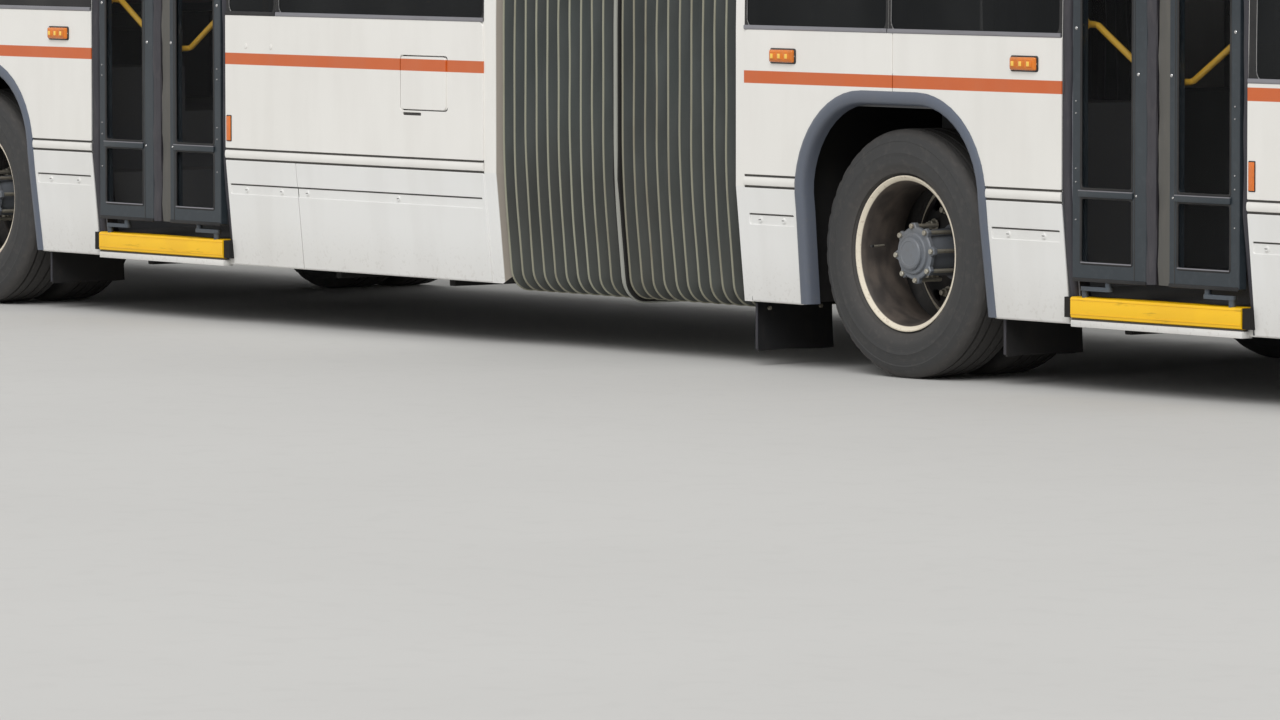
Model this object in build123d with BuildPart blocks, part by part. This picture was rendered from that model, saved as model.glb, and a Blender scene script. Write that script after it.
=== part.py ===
from build123d import *
import os
from math import cos, radians, sin

# An articulated low-floor city bus at its real size, in millimetres.
# +X is forward, +Y is the driver's side, -Y is the kerb side with the doors, +Z is up.
# The origin is on the ground under the middle of the bus.

# Overall body
LENGTH = 18400.0
HALF_WIDTH = 1300.0
ROOF_Z = 2880.0
ROOF_CROWN = 30.0
ROOF_CORNER_R = 220.0
ROOF_LEAN = 70.0
CANT_Z = 2450.0
CANT_LEAN = 16.0
BELT_Z = 709.0
LEAN_START_Z = 1320.0
SKIRT_Z = 257.0
SKIRT_TUCK = 45.0
WALL_INNER_Y = 1220.0
ROOF_THICK = 60.0

# Where the two halves meet
PIVOT_X = -1105.0
BELLOWS_HALF = 766.0
FRONT_PORTAL_THICK = 56.0
REAR_PORTAL_THICK = 108.0
PORTAL_LIP_R = 40.0
GANGWAY_HALF = 950.0
GANGWAY_TOP = 2330.0
BELLOWS_INSET = 12.0
BELLOWS_THICK = 34.0
BELLOWS_BOTTOM_Z = 227.0
BELLOWS_CORNER_R = 100.0
HOOP_HALF = 20.0
HOOP_PROUD = 10.0
HOOP_DEPTH = 60.0
TURNTABLE_R = 420.0
TURNTABLE_BORE_R = 250.0
TURNTABLE_ARM_HALF = 300.0
TURNTABLE_LOWER_Z = 264.0
TURNTABLE_SPLIT_Z = 304.0
PLATFORM_R = 745.0
PLATFORM_THICK = 15.0
PLATFORM_BEAM = 36.0

# Floor
FLOOR_Z = 360.0
FLOOR_THICK = 96.0
FLOOR_STEP_Z = 610.0
FLOOR_HIGH_Z = 860.0
FLOOR_ENGINE_Z = 1160.0
STEP_1_X = -4960.0
STEP_2_X = -5240.0
ENGINE_BAY_X = -7450.0
STEP_EDGE_Y = 1288.0
STEP_EDGE_Z = 284.0

# Axles and wheels
FRONT_AXLE_X = 6450.0
MIDDLE_AXLE_X = 600.0
REAR_AXLE_X = -5850.0
TYRE_R = 478.0
TYRE_WIDTH = 276.0
TYRE_FACE_Y = 1250.0
TWIN_SPACING = 318.0
RIM_FLANGE_R = 298.5
RIM_BORE_R = 268.0
RIM_WIDTH = 222.0
DISC_THICK = 14.0
HUB_R = 105.0
KINGPIN_Y = 960.0
KINGPIN_R = 25.0
WHEEL_BOX_WALL = 25.0
WHEEL_BOX_TOP = 1060.0
WHEEL_BOX_HALF = 610.0
STEER_BOX_Y = 625.0
TWIN_BOX_Y = 545.0
BEAM_Z = 165.0
BEAM_HEIGHT = 85.0
BEAM_HALF = 48.0

# Wheel arches
ARCH_HALF = 565.0
ARCH_TOP_Z = 1096.0
ARCH_CORNER_R = 400.0
ARCH_FOOT_SPLAY = 12.0
ARCH_BEND_Z = 620.0
FLARE_WIDTH = 48.0
FLARE_PROUD = 14.0
FLARE_DEPTH = 35.0
FLAP_WIDTH = 380.0
FLAP_THICK = 12.0

# Doors
DOOR_HALF = 510.0
DOOR_BOTTOM_Z = 282.0
DOOR_TOP_Z = 2315.0
JAMB_SEAL = 38.0
LEAF_EDGE_GAP = 14.0
LEAF_MEETING_GAP = 12.0
LEAF_BOTTOM_Z = 425.0
LEAF_TOP_Z = 2262.0
LEAF_FACE_Y = 1296.0
LEAF_THICK = 36.0
LEAF_STILE = 46.0
LEAF_GLASS_WIDTH = 290.0
LEAF_GLASS_THICK = 8.0
CROSSBAR_Z = 735.0
CROSSBAR_HEIGHT = 28.0
LEAF_RAIL = 62.0
ARM_PIVOT_IN = 55.0
ARM_LENGTH = 130.0
ARM_WIDTH = 34.0
ARM_THICK = 16.0
ARM_STUB_R = 13.0

# Windows and end caps
SILL_HIGH_Z = 1330.0
SILL_LOW_Z = 1185.0
WINDOW_TOP_Z = 2240.0
WINDOW_CORNER_R = 40.0
GLASS_THICK = 8.0
GLASS_INSET = 3.0
MASK_JOIN_X = 8650.0
MASK_INSET = 70.0
MASK_THICK = 45.0
NOSE_BULGE = 90.0
NOSE_CORNER_R = 260.0
NOSE_RAKE = 110.0
NOSE_RAKE_Z = 1000.0
TAIL_INSET = 50.0
TAIL_JOIN_X = -8750.0
TAIL_BULGE = 40.0
TAIL_CORNER_R = 170.0
TAIL_RAKE = 40.0
BUMPER_TOP_Z = 640.0
BUMPER_REACH = 420.0

# Fits
SEAT_GAP = 0.3
MOVING_GAP = 8.0

# Door centres along the bus
DOOR_CENTRES = {"door_1": 7860.0, "door_2": 2108.0, "door_3": -4315.0}

# Fuel and engine doors
FUEL_DOOR_X = -2550.0
FUEL_DOOR_FRONT_X = -2220.0
FUEL_DOOR_Z = 949.0
FUEL_DOOR_TOP_Z = 1177.0
FUEL_DOOR_CORNER_R = 28.0
FUEL_DOOR_THICK = 20.0
FUEL_DOOR_GAP = 5.0
ENGINE_DOOR_HALF = 880.0
ENGINE_DOOR_Z = 660.0
ENGINE_DOOR_TOP_Z = 1390.0

FLOOR_UNDER_Z = FLOOR_Z - FLOOR_THICK
NOSE_X = LENGTH / 2 - MASK_INSET
TAIL_X = -LENGTH / 2 + TAIL_INSET
FRONT_PORTAL_X = PIVOT_X + BELLOWS_HALF
FRONT_WALL_X = FRONT_PORTAL_X + FRONT_PORTAL_THICK
REAR_PORTAL_X = PIVOT_X - BELLOWS_HALF
REAR_WALL_X = REAR_PORTAL_X - REAR_PORTAL_THICK
SINGLE_Y = TYRE_FACE_Y - TYRE_WIDTH / 2
TWIN_MID_Y = SINGLE_Y - TWIN_SPACING / 2
LEAF_OUTER = DOOR_HALF - JAMB_SEAL - LEAF_EDGE_GAP
LEAF_WIDTH = LEAF_OUTER - LEAF_MEETING_GAP / 2
LEAF_MID_Y = LEAF_FACE_Y - LEAF_THICK / 2

os.makedirs("parts", exist_ok=True)


def save(part, name):
    part.label = name
    export_step(part, f"parts/{name}.step")


def outer_y(z):
    """Half width of the outer skin at height z."""
    if z < BELT_Z:
        return HALF_WIDTH - SKIRT_TUCK * (BELT_Z - z) / (BELT_Z - SKIRT_Z)
    if z < LEAN_START_Z:
        return HALF_WIDTH
    return HALF_WIDTH - CANT_LEAN * (z - LEAN_START_Z) / (CANT_Z - LEAN_START_Z)


def body_points(inset, bottom_z):
    """Right half of the cross-section from the skirt up to the roof's middle."""
    return [
        (outer_y(bottom_z) - inset, bottom_z),
        (HALF_WIDTH - inset, BELT_Z),
        (HALF_WIDTH - inset, LEAN_START_Z),
        (HALF_WIDTH - CANT_LEAN - inset, CANT_Z),
        (HALF_WIDTH - ROOF_LEAN - inset, ROOF_Z - ROOF_CROWN - inset),
        (0, ROOF_Z - inset),
    ]


def body_face(inset=0.0, bottom_z=SKIRT_Z, foot_r=0.0):
    """Closed cross-section of the body, with round roof corners."""
    right = body_points(inset, bottom_z)
    left = [(-y, z) for y, z in reversed(right[:-1])]
    with BuildSketch() as face:
        Polygon(*right, *left, align=None)
        top = face.vertices().sort_by(Axis.Y)[-3:-1]
        fillet(top, ROOF_CORNER_R - inset)
        if foot_r:
            fillet(face.vertices().group_by(Axis.Y)[0], foot_r)
    return face.sketch


def wall_face():
    """Cross-section of one side wall, on the +Y side."""
    points = body_points(0.0, SKIRT_Z)[:4]
    inner = [(WALL_INNER_Y, CANT_Z), (WALL_INNER_Y, SKIRT_Z)]
    with BuildSketch() as face:
        Polygon(*points, *inner, align=None)
    return face.sketch


def skin_face(inset, thick):
    """Thin slice that follows the wall's outer skin, on the +Y side."""
    outer = [(y - inset, z) for y, z in body_points(0.0, SKIRT_Z)[:4]]
    inner = [(y - thick, z) for y, z in reversed(outer)]
    with BuildSketch() as face:
        Polygon(*outer, *inner, align=None)
    return face.sketch


def arch_face(shrink=0.0):
    """Inverted U of a wheel arch about x = 0, with round shoulders and a small splay."""
    foot = ARCH_HALF + ARCH_FOOT_SPLAY - shrink
    half = ARCH_HALF - shrink
    top = ARCH_TOP_Z - shrink
    low = SKIRT_Z - 30.0
    with BuildSketch() as face:
        Polygon((-foot, low), (foot, low), (half, ARCH_BEND_Z), (half, top),
                (-half, top), (-half, ARCH_BEND_Z), align=None)
        fillet(face.vertices().group_by(Axis.Y)[-1], ARCH_CORNER_R - shrink)
    return face.sketch


def side_plane(x, y):
    """Plane of a side view: its x runs along the bus, its y up, its normal along +Y."""
    return Plane(origin=(x, y, 0), x_dir=(-1, 0, 0), z_dir=(0, 1, 0))


def window_cut(x0, x1, z0, z1, y0, y1, corner_r=WINDOW_CORNER_R, gap=0.0):
    """Window-shaped block between two y values, used to cut a wall or to shape its pane."""
    with BuildPart() as block:
        with BuildSketch(side_plane((x0 + x1) / 2, y0)):
            with Locations((0, (z0 + z1) / 2)):
                RectangleRounded(x1 - x0 - 2 * gap, z1 - z0 - 2 * gap, corner_r)
        extrude(amount=y1 - y0)
    return block.part


# Windows of each wall: start, end and sill height. Positive side is the driver's side.
FRONT_WINDOWS = {
    -1: [(FRONT_WALL_X + 12, 575, SILL_HIGH_Z), (605, 1580, SILL_HIGH_Z),
         (2660, 4020, SILL_LOW_Z), (4060, 5420, SILL_LOW_Z), (5460, 7290, SILL_LOW_Z)],
    1: [(FRONT_WALL_X + 12, 575, SILL_HIGH_Z), (605, 1580, SILL_HIGH_Z),
        (1620, 2980, SILL_LOW_Z), (3020, 4380, SILL_LOW_Z), (4420, 5780, SILL_LOW_Z),
        (5820, 7180, SILL_LOW_Z), (7240, 8540, 1080.0)],
}
REAR_WINDOWS = {
    -1: [(-3420, REAR_WALL_X - 8, SILL_HIGH_Z), (-3785, -3455, SILL_HIGH_Z),
         (-6300, -4890, SILL_HIGH_Z), (-7750, -6340, SILL_HIGH_Z)],
    1: [(-3420, REAR_WALL_X - 8, SILL_HIGH_Z), (-4860, -3460, SILL_HIGH_Z),
        (-6300, -4900, SILL_HIGH_Z), (-7750, -6340, SILL_HIGH_Z)],
}


# Skirt: grooves of the belt moulding, and long recesses over the hinges of the flaps
GROOVES_Z = (BELT_Z, 753.0)
GROOVE_HEIGHT = 5.0
GROOVE_DEPTH = 4.0
RECESS_Z = 583.0
RECESS_HEIGHT = 42.0
RECESS_DEPTH = 7.0
RECESS_END = 24.0
RECESS_LEAST = 220.0
ARCH_CLEAR = ARCH_HALF + 75.0
FRONT_SEAMS = {-1: [4040, 5440], 1: [2980, 4400, 7700]}
REAR_SEAMS = {-1: [-7300, -3295], 1: [-7300, -4880, -3440]}


def recess_spans(x0, x1, arches, doors, seams):
    """Stretches of the skirt for one recess each, between arches, doorways and seams."""
    blocks = [(a - ARCH_CLEAR, a + ARCH_CLEAR) for a in arches]
    blocks += [(c - DOOR_HALF, c + DOOR_HALF) for c in doors]
    blocks += [(seam, seam) for seam in seams]
    edges = [x0, *[edge for block in sorted(blocks) for edge in block], x1]
    return [(a + RECESS_END, b - RECESS_END) for a, b in zip(edges[::2], edges[1::2])
            if b - a > RECESS_LEAST]


def side_wall(x0, x1, side, windows, arches, doors, seams):
    """One side wall with its windows, wheel arches and doorways cut."""
    with BuildPart() as wall:
        with BuildSketch(Plane.YZ.offset(x0)):
            add(wall_face())
        extrude(amount=x1 - x0)
        for start, end, sill in windows:
            add(window_cut(start, end, sill, WINDOW_TOP_Z, WALL_INNER_Y - 10, HALF_WIDTH + 10),
                mode=Mode.SUBTRACT)
        for axle_x in arches:
            with BuildSketch(side_plane(axle_x, WALL_INNER_Y - 10)):
                add(arch_face())
            extrude(amount=HALF_WIDTH - WALL_INNER_Y + 20, mode=Mode.SUBTRACT)
        for centre in doors:
            with BuildSketch(side_plane(centre, WALL_INNER_Y - 10)):
                with Locations((0, (DOOR_BOTTOM_Z + DOOR_TOP_Z) / 2)):
                    Rectangle(2 * DOOR_HALF, DOOR_TOP_Z - DOOR_BOTTOM_Z)
            extrude(amount=HALF_WIDTH - WALL_INNER_Y + 20, mode=Mode.SUBTRACT)
        with BuildSketch(Plane.YZ.offset(x0)):
            with Locations(*[(outer_y(z), z) for z in GROOVES_Z]):
                Rectangle(2 * GROOVE_DEPTH, GROOVE_HEIGHT)
        extrude(amount=x1 - x0, mode=Mode.SUBTRACT)
        with BuildSketch(side_plane(0, outer_y(RECESS_Z) - RECESS_DEPTH)):
            for start, end in recess_spans(x0, x1, arches, doors, seams):
                with Locations((-(start + end) / 2, RECESS_Z)):
                    SlotOverall(end - start, RECESS_HEIGHT)
        extrude(amount=3 * RECESS_DEPTH, mode=Mode.SUBTRACT)
        if side < 0:
            mirror(about=Plane.XZ, mode=Mode.REPLACE)
    return wall.part


def side_glass(windows_by_side):
    """Flush panes of both walls."""
    with BuildPart() as glass:
        for side, windows in windows_by_side.items():
            for start, end, sill in windows:
                with BuildPart(mode=Mode.PRIVATE) as pane:
                    with BuildSketch(Plane.YZ.offset(start)):
                        add(skin_face(GLASS_INSET, GLASS_THICK))
                    extrude(amount=end - start)
                    add(window_cut(start, end, sill, WINDOW_TOP_Z, WALL_INNER_Y, HALF_WIDTH + 10,
                                   WINDOW_CORNER_R - SEAT_GAP, SEAT_GAP), mode=Mode.INTERSECT)
                    if side < 0:
                        mirror(about=Plane.XZ, mode=Mode.REPLACE)
                add(pane.part)
    return glass.part


def roof_shell(x0, x1):
    """Roof with its coves, above the side walls."""
    with BuildPart() as roof:
        with BuildSketch(Plane.YZ.offset(x0)):
            add(body_face())
            add(body_face(inset=ROOF_THICK), mode=Mode.SUBTRACT)
            with Locations((0, CANT_Z / 2)):
                Rectangle(3 * HALF_WIDTH, CANT_Z, mode=Mode.SUBTRACT)
        extrude(amount=x1 - x0)
    return roof.part


def end_block(join_x, end_x, bulge, corner_r, rake, inset, bottom_z=SKIRT_Z):
    """Solid end of the bus: plan outline, side outline and cross-section intersected."""
    sense = 1 if end_x > join_x else -1
    tip = end_x - sense * inset
    edge = tip - sense * bulge
    half = HALF_WIDTH - inset
    base = bottom_z - (0 if inset == 0 else 200)
    with BuildPart() as block:
        with BuildSketch(Plane.XY.offset(base)) as plan:
            with BuildLine():
                Polyline((edge, -half), (join_x, -half), (join_x, half), (edge, half))
                ThreePointArc((edge, half), (tip, 0), (edge, -half))
            make_face()
            fillet(plan.vertices().sort_by(Axis.X, reverse=sense > 0)[:2], corner_r - inset)
        extrude(amount=ROOF_Z + 200 - base)
        with BuildSketch(Plane.XZ.offset(-HALF_WIDTH - 100)) as side:
            with BuildLine():
                Polyline((join_x, base), (tip, base), (tip, NOSE_RAKE_Z),
                         (tip - sense * rake, ROOF_Z - inset), (join_x, ROOF_Z - inset),
                         close=True)
            make_face()
            top = side.vertices().group_by(Axis.Y)[-1].sort_by(Axis.X, reverse=sense > 0)[0]
            fillet(top, corner_r / 2)
        extrude(amount=2 * HALF_WIDTH + 200, mode=Mode.INTERSECT)
        with BuildSketch(Plane.YZ.offset(min(join_x, tip) - 10)):
            add(body_face(inset=inset, bottom_z=base))
        extrude(amount=abs(tip - join_x) + 20, mode=Mode.INTERSECT)
    return block.part


def nose_block(inset, bottom_z=SKIRT_Z):
    return end_block(MASK_JOIN_X, NOSE_X, NOSE_BULGE, NOSE_CORNER_R, NOSE_RAKE, inset, bottom_z)


def tail_block(inset, bottom_z=SKIRT_Z):
    return end_block(TAIL_JOIN_X, TAIL_X, TAIL_BULGE, TAIL_CORNER_R, TAIL_RAKE, inset, bottom_z)


def front_view_cut(x0, x1, y0, y1, z0, z1, corner_r, gap=0.0):
    """Block shaped like an opening seen from the front or rear."""
    with BuildPart() as block:
        with BuildSketch(Plane.YZ.offset(x0)):
            with Locations(((y0 + y1) / 2, (z0 + z1) / 2)):
                RectangleRounded(y1 - y0 - 2 * gap, z1 - z0 - 2 * gap, corner_r)
        extrude(amount=x1 - x0)
    return block.part


# Front section: side walls
with BuildPart() as front_side_walls:
    add(side_wall(FRONT_WALL_X, MASK_JOIN_X, 1, FRONT_WINDOWS[1],
                  [FRONT_AXLE_X, MIDDLE_AXLE_X], [], FRONT_SEAMS[1]))
    add(side_wall(FRONT_WALL_X, MASK_JOIN_X, -1, FRONT_WINDOWS[-1],
                  [FRONT_AXLE_X, MIDDLE_AXLE_X],
                  [DOOR_CENTRES["door_1"], DOOR_CENTRES["door_2"]], FRONT_SEAMS[-1]))
save(front_side_walls.part, "front_side_walls")

# Front section: flush side glass
save(side_glass(FRONT_WINDOWS), "front_side_glass")

# Front section: roof with two escape hatches and a low roof pod
HATCH_X = [1900.0, 6300.0]
HATCH_SIZE = 720.0
HATCH_HEIGHT = 60.0
POD_HEIGHT = 170.0
with BuildPart() as front_roof:
    add(roof_shell(FRONT_WALL_X, MASK_JOIN_X))
    for hatch_x in HATCH_X:
        with BuildSketch(Plane.XY.offset(ROOF_Z - ROOF_THICK / 2)):
            with Locations((hatch_x, 0)):
                RectangleRounded(HATCH_SIZE, HATCH_SIZE, 60)
        extrude(amount=ROOF_THICK / 2 + HATCH_HEIGHT, taper=6)
save(front_roof.part, "front_roof")

# Front section: nose shell with the windscreen and sign openings
WINDSCREEN_Z = (1010.0, 2290.0)
WINDSCREEN_Y = (18.0, 1170.0)
SIGN_Z = (2380.0, 2680.0)
SIGN_HALF = 820.0
HEADLAMP_Z = 730.0
HEADLAMP_Y = (830.0, 1010.0)
HEADLAMP_R = 75.0
with BuildPart() as front_mask:
    add(nose_block(0))
    add(nose_block(MASK_THICK), mode=Mode.SUBTRACT)
    for sense in (-1, 1):
        y0, y1 = sorted(sense * y for y in WINDSCREEN_Y)
        add(front_view_cut(MASK_JOIN_X + 60, NOSE_X + 10, y0, y1, *WINDSCREEN_Z, 90),
            mode=Mode.SUBTRACT)
    add(front_view_cut(MASK_JOIN_X + 60, NOSE_X + 10, -SIGN_HALF, SIGN_HALF, *SIGN_Z, 40),
        mode=Mode.SUBTRACT)
    with BuildSketch(Plane.YZ.offset(NOSE_X - 400)):
        with Locations(*[(s * y, HEADLAMP_Z) for s in (-1, 1) for y in HEADLAMP_Y]):
            Circle(HEADLAMP_R)
    extrude(amount=500, mode=Mode.SUBTRACT)
save(front_mask.part, "front_mask")

# Front section: curved windscreen halves and the sign's glass
with BuildPart() as windscreen:
    with BuildPart(mode=Mode.PRIVATE) as nose_glass:
        add(nose_block(GLASS_INSET + 1))
        add(nose_block(GLASS_INSET + 1 + GLASS_THICK), mode=Mode.SUBTRACT)
    with BuildPart(mode=Mode.PRIVATE) as openings:
        for sense in (-1, 1):
            y0, y1 = sorted(sense * y for y in WINDSCREEN_Y)
            add(front_view_cut(MASK_JOIN_X + 60, NOSE_X + 10, y0, y1, *WINDSCREEN_Z,
                               90 - SEAT_GAP, SEAT_GAP))
        add(front_view_cut(MASK_JOIN_X + 60, NOSE_X + 10, -SIGN_HALF, SIGN_HALF, *SIGN_Z,
                           40 - SEAT_GAP, SEAT_GAP))
    add(nose_glass.part)
    add(openings.part, mode=Mode.INTERSECT)
save(windscreen.part, "windscreen")

# Front section: bumper wrapped round the nose, below the lamps
with BuildPart() as front_bumper:
    add(end_block(MASK_JOIN_X, LENGTH / 2, NOSE_BULGE, NOSE_CORNER_R, NOSE_RAKE, 0))
    add(nose_block(-SEAT_GAP), mode=Mode.SUBTRACT)
    with BuildSketch(Plane.XY.offset(SKIRT_Z + 10)):
        with Locations((LENGTH / 2, 0)):
            Rectangle(2 * BUMPER_REACH, 2 * HALF_WIDTH)
    extrude(amount=BUMPER_TOP_Z - SKIRT_Z - 10, mode=Mode.INTERSECT)
save(front_bumper.part, "front_bumper")


def side_lamp(x, width, height, z, depth):
    """Marker lamp on both walls, standing proud of the skin."""
    with BuildPart() as lamp:
        for side in (-1, 1):
            with BuildSketch(side_plane(x, side * HALF_WIDTH - (depth if side < 0 else 0))):
                with Locations((0, z + height / 2)):
                    RectangleRounded(width, height, 8)
            extrude(amount=depth)
    return lamp.part


# Amber marker lamps and upright reflectors on the walls: middle, width, height, bottom
LAMP_DEPTH = 24.0
REFLECTOR_DEPTH = 8.0
FRONT_MARKERS = [(-39.0, 150.0, 54.0, 1195.0), (1390.0, 150.0, 54.0, 1195.0)]
FRONT_REFLECTORS = [(2645.0, 37.0, 112.0, 785.0)]
REAR_MARKERS = [(-5072.0, 150.0, 54.0, 1195.0)]
REAR_REFLECTORS = [(-3777.0, 37.0, 112.0, 785.0)]

# Front section: round headlamps sunk in the nose, with the wall's markers
with BuildPart() as front_lamps:
    with BuildPart(mode=Mode.PRIVATE) as lamp_slice:
        add(nose_block(GLASS_INSET))
        add(nose_block(GLASS_INSET + MASK_THICK / 2), mode=Mode.SUBTRACT)
    with BuildSketch(Plane.YZ.offset(NOSE_X - 400)):
        with Locations(*[(s * y, HEADLAMP_Z) for s in (-1, 1) for y in HEADLAMP_Y]):
            Circle(HEADLAMP_R - SEAT_GAP)
    extrude(amount=500)
    add(lamp_slice.part, mode=Mode.INTERSECT)
    for x, width, height, z in FRONT_MARKERS:
        add(side_lamp(x, width, height, z, LAMP_DEPTH))
    for x, width, height, z in FRONT_REFLECTORS:
        add(side_lamp(x, width, height, z, REFLECTOR_DEPTH))
save(front_lamps.part, "front_lamps")


def wheel_box(axle_x, inner_y, base_z):
    """Outer solids of the two boxes over a pair of wheels."""
    width = WALL_INNER_Y - inner_y
    with BuildPart() as boxes:
        with BuildSketch(Plane.XY.offset(base_z)):
            with Locations(*[(axle_x, s * (inner_y + width / 2)) for s in (-1, 1)]):
                Rectangle(2 * WHEEL_BOX_HALF, width)
        extrude(amount=WHEEL_BOX_TOP - base_z)
    return boxes.part


def wheel_space(axle_x, inner_y):
    """Space inside the wheel boxes, open below and towards the wall."""
    with BuildPart() as space:
        with BuildSketch(Plane.XY.offset(0)):
            with Locations(*[(axle_x, s * (inner_y + HALF_WIDTH) / 2) for s in (-1, 1)]):
                Rectangle(2 * (WHEEL_BOX_HALF - WHEEL_BOX_WALL),
                          HALF_WIDTH - inner_y - 2 * WHEEL_BOX_WALL)
        extrude(amount=WHEEL_BOX_TOP - WHEEL_BOX_WALL)
    return space.part


def floor_plate(points, half_width):
    """Floor from its side profile, across the whole inside width."""
    with BuildPart() as floor:
        with BuildSketch(Plane.XZ.offset(-half_width)):
            Polygon(*points, align=None)
        extrude(amount=2 * half_width)
    return floor.part


def door_step(centre):
    """Step edge that fills a doorway down to its sill."""
    depth = STEP_EDGE_Y - WALL_INNER_Y
    with BuildPart() as step:
        with BuildSketch(Plane.XY.offset(STEP_EDGE_Z)):
            with Locations((centre, -WALL_INNER_Y - depth / 2)):
                Rectangle(2 * DOOR_HALF - 2 * SEAT_GAP, depth)
        extrude(amount=FLOOR_Z - STEP_EDGE_Z)
    return step.part


# Front section: low floor with its wheel boxes, door steps and driver's plinth
DRIVER_X = 7760.0
DRIVER_Y = 700.0
PLINTH_HEIGHT = 170.0
PLINTH = (7350.0, 8640.0, 330.0, 1210.0)
FLOOR_NOSE_HALF = 900.0
TOW_X = 9080.0
TOW_ROOT_X = 8860.0
TOW_HALF = 55.0
TOW_BORE_R = 20.0
TOW_Z = 200.0
TOW_THICK = 32.0
with BuildPart() as front_underframe:
    add(floor_plate([(FRONT_WALL_X, FLOOR_Z - FLOOR_THICK), (MASK_JOIN_X, FLOOR_Z - FLOOR_THICK),
                     (MASK_JOIN_X, FLOOR_Z), (FRONT_WALL_X, FLOOR_Z)], WALL_INNER_Y))
    with BuildSketch(Plane.XY.offset(FLOOR_Z - FLOOR_THICK)):
        with Locations(((MASK_JOIN_X + NOSE_X - NOSE_BULGE) / 2 - MASK_THICK, 0)):
            Rectangle(NOSE_X - NOSE_BULGE - MASK_JOIN_X - 2 * MASK_THICK, 2 * FLOOR_NOSE_HALF)
    extrude(amount=FLOOR_THICK)
    add(wheel_box(FRONT_AXLE_X, STEER_BOX_Y - WHEEL_BOX_WALL, FLOOR_UNDER_Z))
    add(wheel_box(MIDDLE_AXLE_X, TWIN_BOX_Y - WHEEL_BOX_WALL, FLOOR_UNDER_Z))
    add(wheel_space(FRONT_AXLE_X, STEER_BOX_Y - WHEEL_BOX_WALL), mode=Mode.SUBTRACT)
    add(wheel_space(MIDDLE_AXLE_X, TWIN_BOX_Y - WHEEL_BOX_WALL), mode=Mode.SUBTRACT)
    add(door_step(DOOR_CENTRES["door_1"]))
    add(door_step(DOOR_CENTRES["door_2"]))
    with BuildSketch(Plane.XY.offset(FLOOR_Z)):
        with Locations(((PLINTH[0] + PLINTH[1]) / 2, (PLINTH[2] + PLINTH[3]) / 2)):
            Rectangle(PLINTH[1] - PLINTH[0], PLINTH[3] - PLINTH[2])
    extrude(amount=PLINTH_HEIGHT)
    with BuildSketch(Plane.XY.offset(TOW_Z)):
        with Locations(((TOW_X + TOW_ROOT_X) / 2, 0)):
            Rectangle(TOW_X - TOW_ROOT_X, 2 * TOW_HALF)
        with Locations((TOW_X, 0)):
            Circle(TOW_HALF)
            Circle(TOW_BORE_R, mode=Mode.SUBTRACT)
    extrude(amount=TOW_THICK)
    with BuildSketch(Plane.XY.offset(TOW_Z)):
        with Locations((TOW_ROOT_X + TOW_HALF / 2, 0)):
            Rectangle(TOW_HALF, 2 * TOW_HALF)
    extrude(amount=FLOOR_UNDER_Z - TOW_Z)
save(front_underframe.part, "front_underframe")


def portal_frame(x0, x1, lip_r):
    """End frame of one half: the body's outline with the gangway cut through it."""
    with BuildPart() as portal:
        with BuildSketch(Plane.YZ.offset(x0)):
            add(body_face())
        extrude(amount=x1 - x0)
        if lip_r:
            face = portal.faces().sort_by(Axis.X)[-1]
            chamfer(face.edges(), lip_r)
        with BuildSketch(Plane.YZ.offset(x0)):
            with Locations((0, (FLOOR_Z + GANGWAY_TOP) / 2)):
                RectangleRounded(2 * GANGWAY_HALF, GANGWAY_TOP - FLOOR_Z, 60)
        extrude(amount=x1 - x0, mode=Mode.SUBTRACT)
    return portal.part


def turntable_half(z0, z1, from_x):
    """Bearing ring on the pivot and the broad arm that carries it."""
    with BuildPart() as half:
        with BuildSketch(Plane.XY.offset(z0)):
            with Locations((PIVOT_X, 0)):
                Circle(TURNTABLE_R)
            with Locations(((PIVOT_X + from_x) / 2, 0)):
                Rectangle(abs(from_x - PIVOT_X), 2 * TURNTABLE_ARM_HALF)
            with Locations((PIVOT_X, 0)):
                Circle(TURNTABLE_BORE_R, mode=Mode.SUBTRACT)
        extrude(amount=z1 - z0)
    return half.part


# Front section: portal with the lower half of the turntable
with BuildPart() as front_portal:
    add(portal_frame(FRONT_PORTAL_X, FRONT_WALL_X, 0))
    add(turntable_half(TURNTABLE_LOWER_Z, TURNTABLE_SPLIT_Z, FRONT_PORTAL_X))
save(front_portal.part, "front_portal")


def arch_flare(axle_x, side):
    """Rubber lip round one wheel arch, standing a little proud of the wall."""
    inner = side * (HALF_WIDTH - SKIRT_TUCK - FLARE_DEPTH)
    outline = [(y + FLARE_PROUD, z) for y, z in body_points(0.0, SKIRT_Z)[:3]]
    with BuildPart() as flare:
        with BuildSketch(side_plane(axle_x, inner)):
            add(arch_face())
            add(arch_face(shrink=FLARE_WIDTH), mode=Mode.SUBTRACT)
            with Locations((0, SKIRT_Z - 20)):
                Rectangle(3 * ARCH_HALF, 40, mode=Mode.SUBTRACT)
        extrude(amount=side * (SKIRT_TUCK + FLARE_DEPTH + FLARE_PROUD))
        with BuildSketch(Plane.YZ.offset(axle_x - 2 * ARCH_HALF)):
            Polygon(*[(side * y, z) for y, z in outline], (inner, LEAN_START_Z),
                    (inner, SKIRT_Z), align=None)
        extrude(amount=4 * ARCH_HALF, mode=Mode.INTERSECT)
    return flare.part


def mud_flap(x, side, bottom_z, top_z):
    """Hanging rubber flap across the tyre's track."""
    middle = side * (WALL_INNER_Y - FLAP_WIDTH / 2)
    with BuildPart() as flap:
        with BuildSketch(Plane.YZ.offset(x - FLAP_THICK / 2)):
            with Locations((middle, (top_z + bottom_z) / 2)):
                Rectangle(FLAP_WIDTH, top_z - bottom_z)
        extrude(amount=FLAP_THICK)
    return flap.part


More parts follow.
